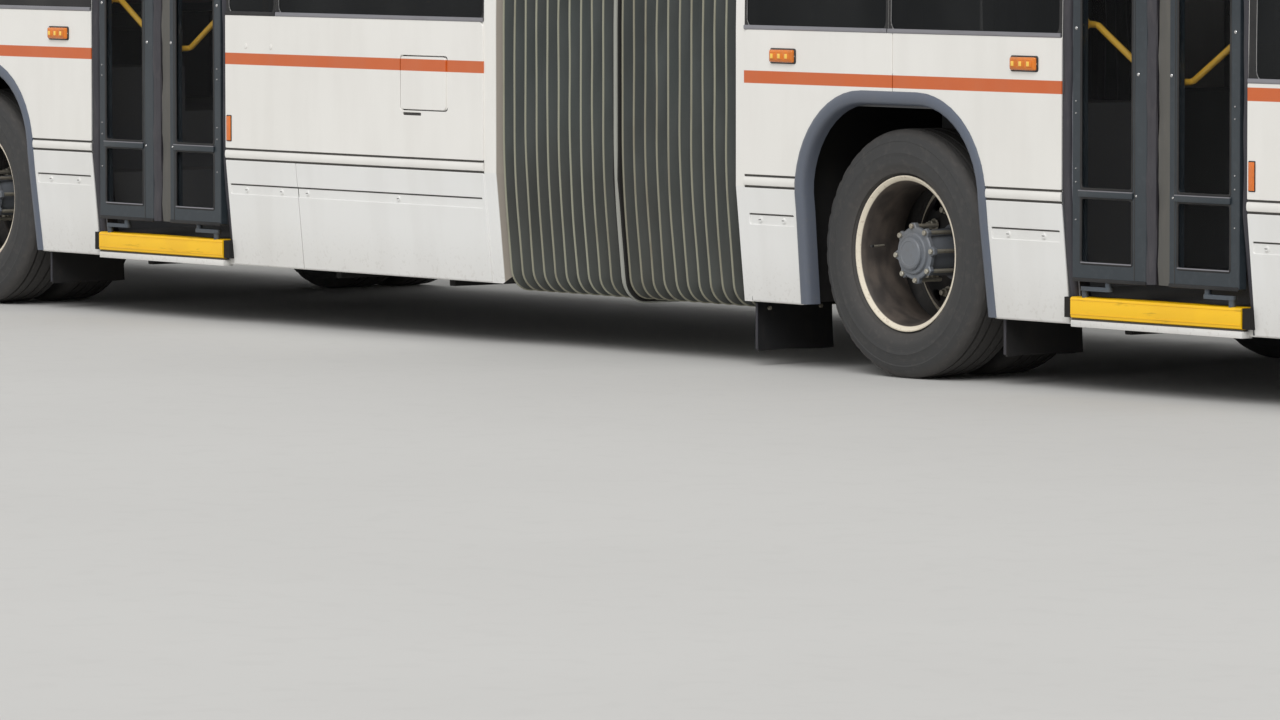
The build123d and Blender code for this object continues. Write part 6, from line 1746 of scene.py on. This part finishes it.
def tail_details(skin):
    shape = Shape()
    skin.label(shape, (-0.945, 0.945, 1.530, 2.190), 0.05, "gasket", 0.006, 0.001, 0.08,
               [rect(*GRILLE, 0.04)])
    for k in range(GRILLE_SLATS):
        z = 1.560 + 0.600 / GRILLE_SLATS * (k + 0.5)
        for dz, proud, at in ((-0.026, 0.004, -0.03), (0.0225, 0.009, 0.03)):
            middle_x = skin.x(0.0, z - 0.035) or TAIL_X
            section = ((0, 0), (proud, 0.0005), (proud, 0.003), (0, 0.0035))
            rows = []
            for y in np.linspace(-0.87, 0.87, 13).tolist():
                x = skin.x(y, z + at) or middle_x
                rows.append([(x - p, y, z + dz + q) for p, q in section])
            shape.loft(rows, "coach_white", caps=True)
    for side in SIDES:
        skin.line(shape, side, 0.97, 1.17, 1.235)
        skin.line(shape, side, 0.01, 1.13, 2.31)
        for y, half, low, high, r, thick, edge, grid in TAIL_LENSES:
            skin.label(shape, (side * y - half, side * y + half, low, high), r, "red_lens",
                       thick, edge, grid)
    skin.number_plate(shape, 0.400, 0.012)
    shape.tube(EXHAUST, 0.036, "nut_steel", 16)
    shape.piece("tail_details", "rear_body")


def engine_door_details(skin):
    shape = Shape()
    for near, far in ((0.12, 0.42), (0.50, 0.80)):
        for side in SIDES:
            y0, y1 = sorted((side * near, side * far))
            for k in range(8):
                z = 0.93 + k * 0.045
                shape.loft([[(skin.x(y, z) - p, y, z + q) for p, q in LOUVRE]
                            for y in (y0, (y0 + y1) / 2, y1)], "coach_white", caps=True)
                shape.strip(skin.place, y0 + 0.004, y1 - 0.004, z - 0.017, z - 0.012, grid=0.1)
    for y in (-0.70, 0.70):
        x = skin.x(y, 0.735)
        skin.label(shape, (y - 0.06, y + 0.06, 0.705, 0.765), 0.02, "black_plastic", 0.004, 0.001,
                   0.03)
        shape.block((x - 0.003, y - 0.045, 0.728), (x - 0.013, y + 0.045, 0.745), "bright_steel")
    for y in (-0.6, 0.0, 0.6):
        x = skin.x(y, 1.372) - 0.004
        shape.rod((x, y - 0.05, 1.381), (x, y + 0.05, 1.381), 0.006, "nut_steel")
    shape.piece("engine_door_details", "engine_door")


def run_tail():
    dress("rear_mask", "coach_side black_plastic", outer_face(-MASK_CENTRE_X))
    dress("engine_door", "coach_white")
    dress("rear_bumper", "bumper_grey")
    dress("engine", "engine_cast")
    dress("fuel_door", "coach_side black_plastic", lambda c, n: 0 if n.y < -0.5 else 1)
    skin = Skin(-1, "rear_mask engine_door rear_bumper rear_lamps")
    tail_details(skin)
    engine_door_details(skin)
    shape = Shape()
    x0, x1, z0, z1 = FUEL_DOOR
    shape.plate(rect(x0 + 0.005, x1 - 0.014, z0 + 0.005, z1 - 0.005, 0.018), on_wall(-1),
                "coach_side", thick=PANEL_THICK, edge=0.0016)
    shape.piece("fuel_door_skin", "fuel_door")


# Roof

HATCH_HALF = 0.352
HATCH_TOP_Z = ROOF_Z + 0.060
HATCHES = {"front_body": (1.900, 6.300), "rear_body": (-3.200,)}
# Sections, as (across or along, up)
HATCH_STEPS = [(0.0, -0.030), (-0.006, -0.012), (0.0, 0.002), (0.014, 0.010), (0.080, 0.013)]
ROOF_SEAM = [(-0.012, -0.001), (-0.008, 0.0035), (0.008, 0.0035), (0.012, -0.001)]
ROOF_GUTTER = [(-0.015, -0.002), (-0.012, 0.016), (0.0, 0.020), (0.010, 0.014), (0.013, -0.004)]
GUTTER_Y = 1.000
SEAM_PITCH = 1.150
POD_TOP_Z = ROOF_Z + 0.170
POD_END_X = -5.450
POD_FANS = (-7.350, -6.700, -6.050)
POD_FAN_R = 0.260
POD_JOINTS = (-7.020, -6.380, -5.720)


def roof_z(y):
    """Height of the roof skin at y, for places inside its corners."""
    return ROOF_Z - ROOF_CROWN * abs(y) / (HALF_WIDTH - ROOF_LEAN)


def hatch(shape, x):
    """Escape hatch lid with its ribs and hinges, on the hatch's curb."""
    top, half = HATCH_TOP_Z, HATCH_HALF
    lid = (x - half, x + half, -half, half)
    shape.loft([[(p.x, p.y, top + dz) for p in rect(*grown(lid, -inset), 0.06)]
                for inset, dz in HATCH_STEPS], "roof_white", caps=True)
    for k in range(5):
        y = -0.22 + k * 0.11
        shape.block((x - 0.25, y - 0.012, top + 0.011), (x + 0.25, y + 0.012, top + 0.0185),
                    "roof_white", 0.004)
    for y in (-0.22, 0.22):
        shape.block((x - half - 0.016, y - 0.04, top - 0.03),
                    (x - half + 0.004, y + 0.04, top - 0.005), "black_plastic")


def fan(shape, x, r, z):
    """Roof fan on the middle line: ring, guard wires and boss."""
    at, up = Vector((x, 0.0, z)), (0, 0, 1)
    shape.turned([(0, r + 0.02), (0.012, r + 0.018), (0.014, r), (-0.0005, r - 0.004)], at, up,
                 "black_plastic", 40)
    shape.turned([(0.0005, r - 0.002), (0.001, AXIS_R)], at, up, "seam", 40)
    for k in range(1, 5):
        wire = ring_of(28, r * k / 4.4)
        shape.tube([at + Vector((u, v, 0.012)) for u, v in [*wire, wire[0]]], 0.0022,
                   "nut_steel", 5)
    for u, v in ring_of(6, r + 0.008)[:3]:
        shape.rod(at + Vector((-u, -v, 0.0105)), at + Vector((u, v, 0.0105)), 0.003,
                  "nut_steel", 5)
    shape.rod(at, at + Vector((0, 0, 0.012)), 0.05, "black_plastic", 20)


def roof_fittings(body, start, end):
    """Seams across one half's roof, its gutters, its strips along the cant rail and hatches."""
    shape = Shape()
    x = start + 0.9
    while x < end - 0.3:
        clear = all(abs(x - h) >= 0.45 for h in HATCHES[body])
        if clear and (body == "front_body" or x >= POD_END_X):
            for side in SIDES:
                line = [(side * y, roof_z(y)) for y in np.linspace(0.0, 0.99, 8).tolist()]
                shape.loft([[(x + dx, y, z + dz) for y, z in line] for dx, dz in ROOF_SEAM],
                           "roof_white", ring=False)
        x += SEAM_PITCH
    for side in SIDES:
        shape.loft([[(end_x, side * (GUTTER_Y + dy), roof_z(GUTTER_Y) + dz)
                     for dy, dz in ROOF_GUTTER] for end_x in (start + 0.02, end - 0.02)],
                   "roof_white", caps=True)
        wall_bar(shape, side, start + 0.002, end - 0.002, raised(CANT_STRIP, CANT_Z), "aluminium")
    for hatch_x in HATCHES[body]:
        hatch(shape, hatch_x)
    shape.piece(f"roof_fittings_{body}", body)


def roof_pod_details():
    shape, top = Shape(), POD_TOP_Z
    for x in POD_FANS:
        fan(shape, x, POD_FAN_R, top)
    for side in SIDES:
        for x in (-7.4, -6.7, -6.0):
            for rise in np.arange(6) * 0.022:
                z = ROOF_Z + 0.012 + rise
                shape.block((x - 0.26, side * 0.84, z),
                            (x + 0.26, side * (0.862 - (rise + 0.015) * 0.10), z + 0.008),
                            "black_plastic", 0.002)
        for x in np.linspace(-7.82, -5.58, 9).tolist():
            shape.turned(FASTENER_FLAT, (x, side * 0.80, top - 0.0005), (0, 0, 1), "nut_steel",
                         10)
    for x in POD_JOINTS:
        shape.block((x - 0.004, -0.82, top - 0.001), (x + 0.004, 0.82, top + 0.002), "seam", 0.001)
    shape.piece("roof_pod_details", "rear_body")


def roof_finish(centre, normal):
    """White above, grey inside and the panels' white down the sides."""
    if normal.z < -0.1 and centre.z < 2.83 or normal.y * centre.y < 0 and abs(centre.y) > 0.5:
        return 1
    return 2 if abs(centre.y) > 1.20 else 0


def run_roof():
    dress("front_roof rear_roof", "roof_white cab_grey coach_side", roof_finish)
    roof_fittings("front_body", FRONT_WALL_X, MASK_JOIN_X)
    roof_fittings("rear_body", TAIL_JOIN_X, REAR_WALL_X)
    roof_pod_details()


# Cabin

SEAT_Y = 0.778
SEAT_WIDTH = 0.860
# Each row: back of the seat, its middle across the bus, the floor under it and its width
SEAT_ROWS = {
    "front_body": [(x, side * SEAT_Y, FLOOR_Z, SEAT_WIDTH) for side, places in
                   ((1, (1.420, 2.180, 2.940, 3.700, 4.460, 5.220)),
                    (-1, (3.050, 3.810, 4.570, 5.330))) for x in places]
                  + [(7.760, 0.700, 0.530, 0.500)],
    "rear_body": [(x, side * SEAT_Y, FLOOR_Z, SEAT_WIDTH) for side, places in
                  ((1, (-2.700, -3.460, -4.220)), (-1, (-2.700, -3.400))) for x in places]
                 + [(-7.150, SEAT_Y, 0.860, SEAT_WIDTH), (-7.150, -SEAT_Y, 0.860, SEAT_WIDTH),
                    (-8.350, 0.0, 1.160, 2.380)],
}
SEAT_HEIGHT = 0.430
PAD_GAP = 0.014
# Ends of a seat's cushion and back, as (ahead of the seat's back, above its base)
CUSHION = ((0.045, 0.007), (0.420, 0.0215))
BACKREST = ((0.030, 0.090), (-0.052, 0.520))
# One end of a seat's handle: ahead of the seat's back, inside its edge, above the floor
HANDLE = [(-0.078, 0.04, 0.93), (-0.083, 0.05, 0.995)]
PAD_STEPS = [(0.010, 0.0), (0.0, 0.25), (0.0, 0.6), (0.010, 0.88), (0.030, 0.98), (0.07, 1.0)]
DIAL = [(0, 0.055), (0.010, 0.055), (0.012, 0.048), (0.006, 0.046), (0.006, AXIS_R)]
WHEEL_BOX_HALF = 0.590
WHEEL_BOX_Y = 0.549
STEER_BOX_Y = 0.629
WHEEL_BOX_TOP_Z = 1.040


def pad(shape, ends, x, base, half, y, thick):
    """Stuffed pad on a straight line in the side view, rounded at its edges."""
    start, end = (Vector((x + dx, 0, base + dz)) for dx, dz in ends)
    length = (end - start).length
    along = (end - start).normalized()
    up = Vector((-along.z, 0, along.x))
    shape.loft([[start + along * p.x + Vector((0, p.y, 0)) + up * (thick * rise)
                 for p in rect(inset, length - inset, y - half + inset, y + half - inset, 0.045)]
                for inset, rise in PAD_STEPS], "seat_cloth", caps=True)


def floor_finish(centre, normal):
    """Floor covering, grey boxes and steps inside, and black underneath."""
    if normal.z > 0.5 and centre.z > 0.355 and abs(centre.y) < WALL_INNER_Y:
        return 0
    at_wheel = any(abs(centre.x - a) < WHEEL_BOX_HALF for a in AXLES.values())
    box_y = STEER_BOX_Y if abs(centre.x - AXLES["front"]) < 1 else WHEEL_BOX_Y
    in_arch = at_wheel and abs(centre.y) > box_y and centre.z < WHEEL_BOX_TOP_Z
    return 1 if centre.z > 0.362 and abs(centre.y) < 1.24 and not in_arch else 2


def seats(body):
    """Pads and rear handles of every seat in one half."""
    pads, handles = Shape(), Shape()
    for x, y, foot, width in SEAT_ROWS[body]:
        count = max(1, round(width / 0.45))
        base = foot + SEAT_HEIGHT
        half = width / count / 2 - PAD_GAP
        for k in range(count):
            middle = y - width / 2 + width / count * (k + 0.5)
            pad(pads, CUSHION, x, base, half, middle, 0.034)
            pad(pads, BACKREST, x, base, half - 0.01, middle, -0.030)
        handles.tube([(x + dx, y + s * (width / 2 - inset), foot + up)
                      for s, (dx, inset, up) in zip((-1, -1, 1, 1), HANDLE + HANDLE[::-1])],
                     0.012, "rail_yellow", 8)
    pads.piece(f"seat_pads_{body}", body)
    handles.piece(f"seat_handles_{body}", body)


def run_cabin():
    for body in SEAT_ROWS:
        seats(body)
    dress("front_seats rear_seats", "seat_shell")
    dress("front_handrails rear_handrails", "rail_yellow")
    dress("dashboard steering_wheel", "black_plastic")
    dress("front_underframe rear_underframe", "cab_floor cab_grey under_black", floor_finish)
    shape = Shape()
    for x in (8.47, 8.53):
        for y in (0.58, 0.70, 0.82):
            shape.rod((x, y, 1.186), (x, y, 1.196), 0.012, "reflector")
    for y in (0.56, 0.70, 0.84):
        shape.turned(DIAL, (8.405, y, 1.09), (-0.96, 0, 0.28), "black_plastic", 24)
    shape.block((7.30, 0.30, 0.53), (7.335, 1.18, 1.55), "cab_grey", 0.01)
    shape.piece("driver_place", "front_body")


# Underside

# First and last x of the pipes, the cross members, and the tanks as (y, radius)
PIPES = ((1.35, 5.6), (7.2, 8.4))
CROSS_MEMBERS = {"front": (1.8, 3.0, 4.2, 5.3), "rear": (-2.4, -3.2, -4.6, -6.9, -7.5)}
FRONT_TANKS = ((-0.62, 0.060), (0.62, 0.075))


def cross_members(shape, side, end):
    for x in CROSS_MEMBERS[end]:
        shape.block((x - 0.02, side * 0.30, 0.222), (x + 0.02, side * 1.15, 0.266), "under_black",
                    0.004)


def run_underside():
    shape = Shape()
    for side in SIDES:
        for x0, x1 in PIPES:
            shape.tube([(x0, side * 0.35, 0.245), ((x0 + x1) / 2, side * 0.36, 0.238),
                        (x1, side * 0.35, 0.245)], 0.016, "axle_black", 8)
        cross_members(shape, side, "front")
    for y, r in FRONT_TANKS:
        shape.rod((2.2, y, 0.215), (3.5, y, 0.215), r, "axle_black", 24)
    shape.piece("underside_front", "front_body")
    shape = Shape()
    for side in SIDES:
        cross_members(shape, side, "rear")
    shape.rod((-2.5, 0.62, 0.205), (-3.6, 0.62, 0.205), 0.075, "axle_black", 24)
    shape.tube([(-8.2, 0.0, 0.40), (-7.2, 0.0, 0.42), (-6.1, 0.0, 0.47)], 0.045, "axle_black", 16)
    shape.piece("underside_rear", "rear_body")


# Stage

EYE = (23.508, -20.425, 2.010)
YAW, PITCH, ROLL = 51.975, -3.713, -0.0475
LENS = 220.0
SENSOR = 36.0
FLOOR_HALF = 80.0
SUN_WIDTH = 35
SUN_TURN = (48, 0, 38)


def run_stage():
    scene = bpy.context.scene
    scene.view_settings.view_transform = "Standard"
    camera_data = bpy.data.cameras.new("camera")
    camera_data.lens = LENS
    camera_data.sensor_width = SENSOR
    camera_data.clip_end = 200.0
    camera = bpy.data.objects.new("camera", camera_data)
    camera.matrix_world = (Matrix.Translation(EYE) @ Matrix.Rotation(math.radians(YAW), 4, "Z")
                           @ Matrix.Rotation(math.radians(90 + PITCH), 4, "X")
                           @ Matrix.Rotation(math.radians(ROLL), 4, "Z"))
    scene.collection.objects.link(camera)
    scene.camera = camera
    floor_shape = Shape()
    floor_shape.add([(u, v, 0) for u, v in rect(*[-FLOOR_HALF, FLOOR_HALF] * 2)], [(0, 1, 2, 3)],
                    "pale_floor")
    floor = put(floor_shape.mesh("floor"), "floor", None)
    sun_data = bpy.data.lights.new("soft_light", "SUN")
    sun_data.energy = scene.bus_look.light
    sun_data.angle = math.radians(SUN_WIDTH)
    sun = bpy.data.objects.new("soft_light", sun_data)
    sun.rotation_euler = [math.radians(a) for a in SUN_TURN]
    scene.collection.objects.link(sun)
    world = bpy.data.worlds.new("pale_sky")
    scene.world = world
    world.use_nodes = True
    tree = world.node_tree
    background = tree.nodes["Background"]
    background.inputs["Color"].default_value = (1, 1, 1, 1)
    background.inputs["Strength"].default_value = scene.bus_look.sky
    white = tree.nodes.new("ShaderNodeBackground")
    white.inputs["Strength"].default_value = 1.0
    path = tree.nodes.new("ShaderNodeLightPath")
    seen = tree.nodes.new("ShaderNodeMath")
    seen.operation = "MAXIMUM"
    tree.links.new(path.outputs["Is Camera Ray"], seen.inputs[0])
    tree.links.new(path.outputs["Is Transmission Ray"], seen.inputs[1])
    mix = tree.nodes.new("ShaderNodeMixShader")
    tree.links.new(seen.outputs[0], mix.inputs[0])
    tree.links.new(background.outputs[0], mix.inputs[1])
    tree.links.new(white.outputs[0], mix.inputs[2])
    tree.links.new(mix.outputs[0], tree.nodes["World Output"].inputs["Surface"])


# Add-on


def colour(label, text, *values):
    return bpy.props.FloatVectorProperty(name=label, description=text, subtype="COLOR", size=4,
                                         min=0, max=1, default=rgb(*values))


class BusLook(bpy.types.PropertyGroup):
    """Colours and light that a user would change."""

    body_white: colour("Body white", "Main enamel of the panels", 240, 238, 233)
    skirt_white: colour("Skirt white", "Enamel below the belt", 238, 238, 236)
    stripe: colour("Stripe", "Colour of the waist stripe", 204, 92, 30)
    road_grime: colour("Road grime", "Dirt low on the skirts", 150, 140, 126)
    door_frame: colour("Door frame", "Door leaf frames", 38, 47, 54)
    step_yellow: colour("Step yellow", "Edges of the door steps", 255, 200, 6)
    bellows_cloth: colour("Bellows cloth", "Folded curtain", 62, 67, 66)
    bellows_bead: colour("Bellows beads", "Stiff edges of the folds", 152, 152, 134)
    lamp_amber: colour("Amber lamps", "Side markers and indicators", 240, 130, 14)
    stripe_low: bpy.props.FloatProperty(
        name="Stripe bottom", description="Lower edge of the stripe", unit="LENGTH", default=1.113)
    stripe_high: bpy.props.FloatProperty(
        name="Stripe top", description="Upper edge of the stripe", unit="LENGTH", default=1.162)
    light: bpy.props.FloatProperty(
        name="Sun", description="Strength of the soft light", min=0, default=1.6)
    sky: bpy.props.FloatProperty(
        name="Sky", description="Strength of the light from all round", min=0, default=0.66)


def operator(name, label, text, run):
    """An operator class that builds one group of pieces."""
    def execute(self, context):
        run()
        return {"FINISHED"}
    return type(f"BUS_OT_{name}", (bpy.types.Operator,),
                {"bl_idname": f"bus.{name}", "bl_label": label, "__doc__": text,
                 "execute": execute})


OPERATORS = [
    operator("panels", "Side panels", "Outer panels, mouldings and hinged skirts", run_panels),
    operator("windows", "Windows", "Panes, black borders and sill strips", run_windows),
    operator("rubbers", "Rubbers", "Arch lips, mud flaps and door seals", run_rubbers),
    operator("bellows", "Bellows", "Folded curtain and its middle hoop", run_bellows),
    operator("wheels", "Wheels", "Tyres, rims, discs and hubs", run_wheels),
    operator("doors", "Doors", "Leaves, linkages and steps", run_doors),
    operator("lamps", "Lamps", "Side markers, reflectors, head and tail lamps", run_lamps),
    operator("nose", "Nose", "Glazing, wipers, mirrors and fittings of the front end", run_nose),
    operator("tail", "Tail", "Grille, engine door and fittings of the rear end", run_tail),
    operator("roof", "Roof", "Seams, hatches and the pod's fans", run_roof),
    operator("cabin", "Cabin", "Seats, rails, floor and the driver's place", run_cabin),
    operator("underside", "Underside", "Cross members, tanks and pipes", run_underside),
    operator("stage", "Stage", "Floor, light, background and camera", run_stage),
]


class BUS_PT_panel(bpy.types.Panel):
    """Sidebar panel that lists the builders and the looks"""

    bl_label = "City Bus"
    bl_idname = "BUS_PT_panel"
    bl_space_type = "VIEW_3D"
    bl_region_type = "UI"
    bl_category = "City Bus"

    def draw(self, context):
        for each in OPERATORS:
            self.layout.operator(each.bl_idname)
        for key in BusLook.__annotations__:
            self.layout.prop(context.scene.bus_look, key)


CLASSES = [BusLook, *OPERATORS, BUS_PT_panel]


def register():
    for each in CLASSES:
        bpy.utils.register_class(each)
    bpy.types.Scene.bus_look = bpy.props.PointerProperty(type=BusLook)


def unregister():
    del bpy.types.Scene.bus_look
    for each in reversed(CLASSES):
        bpy.utils.unregister_class(each)


def main():
    register()
    for each in OPERATORS:
        if getattr(bpy.ops.bus, each.bl_idname.split(".")[1])() != {"FINISHED"}:
            raise RuntimeError(f"{each.bl_idname} did not finish")


if __name__ == "__main__":
    main()
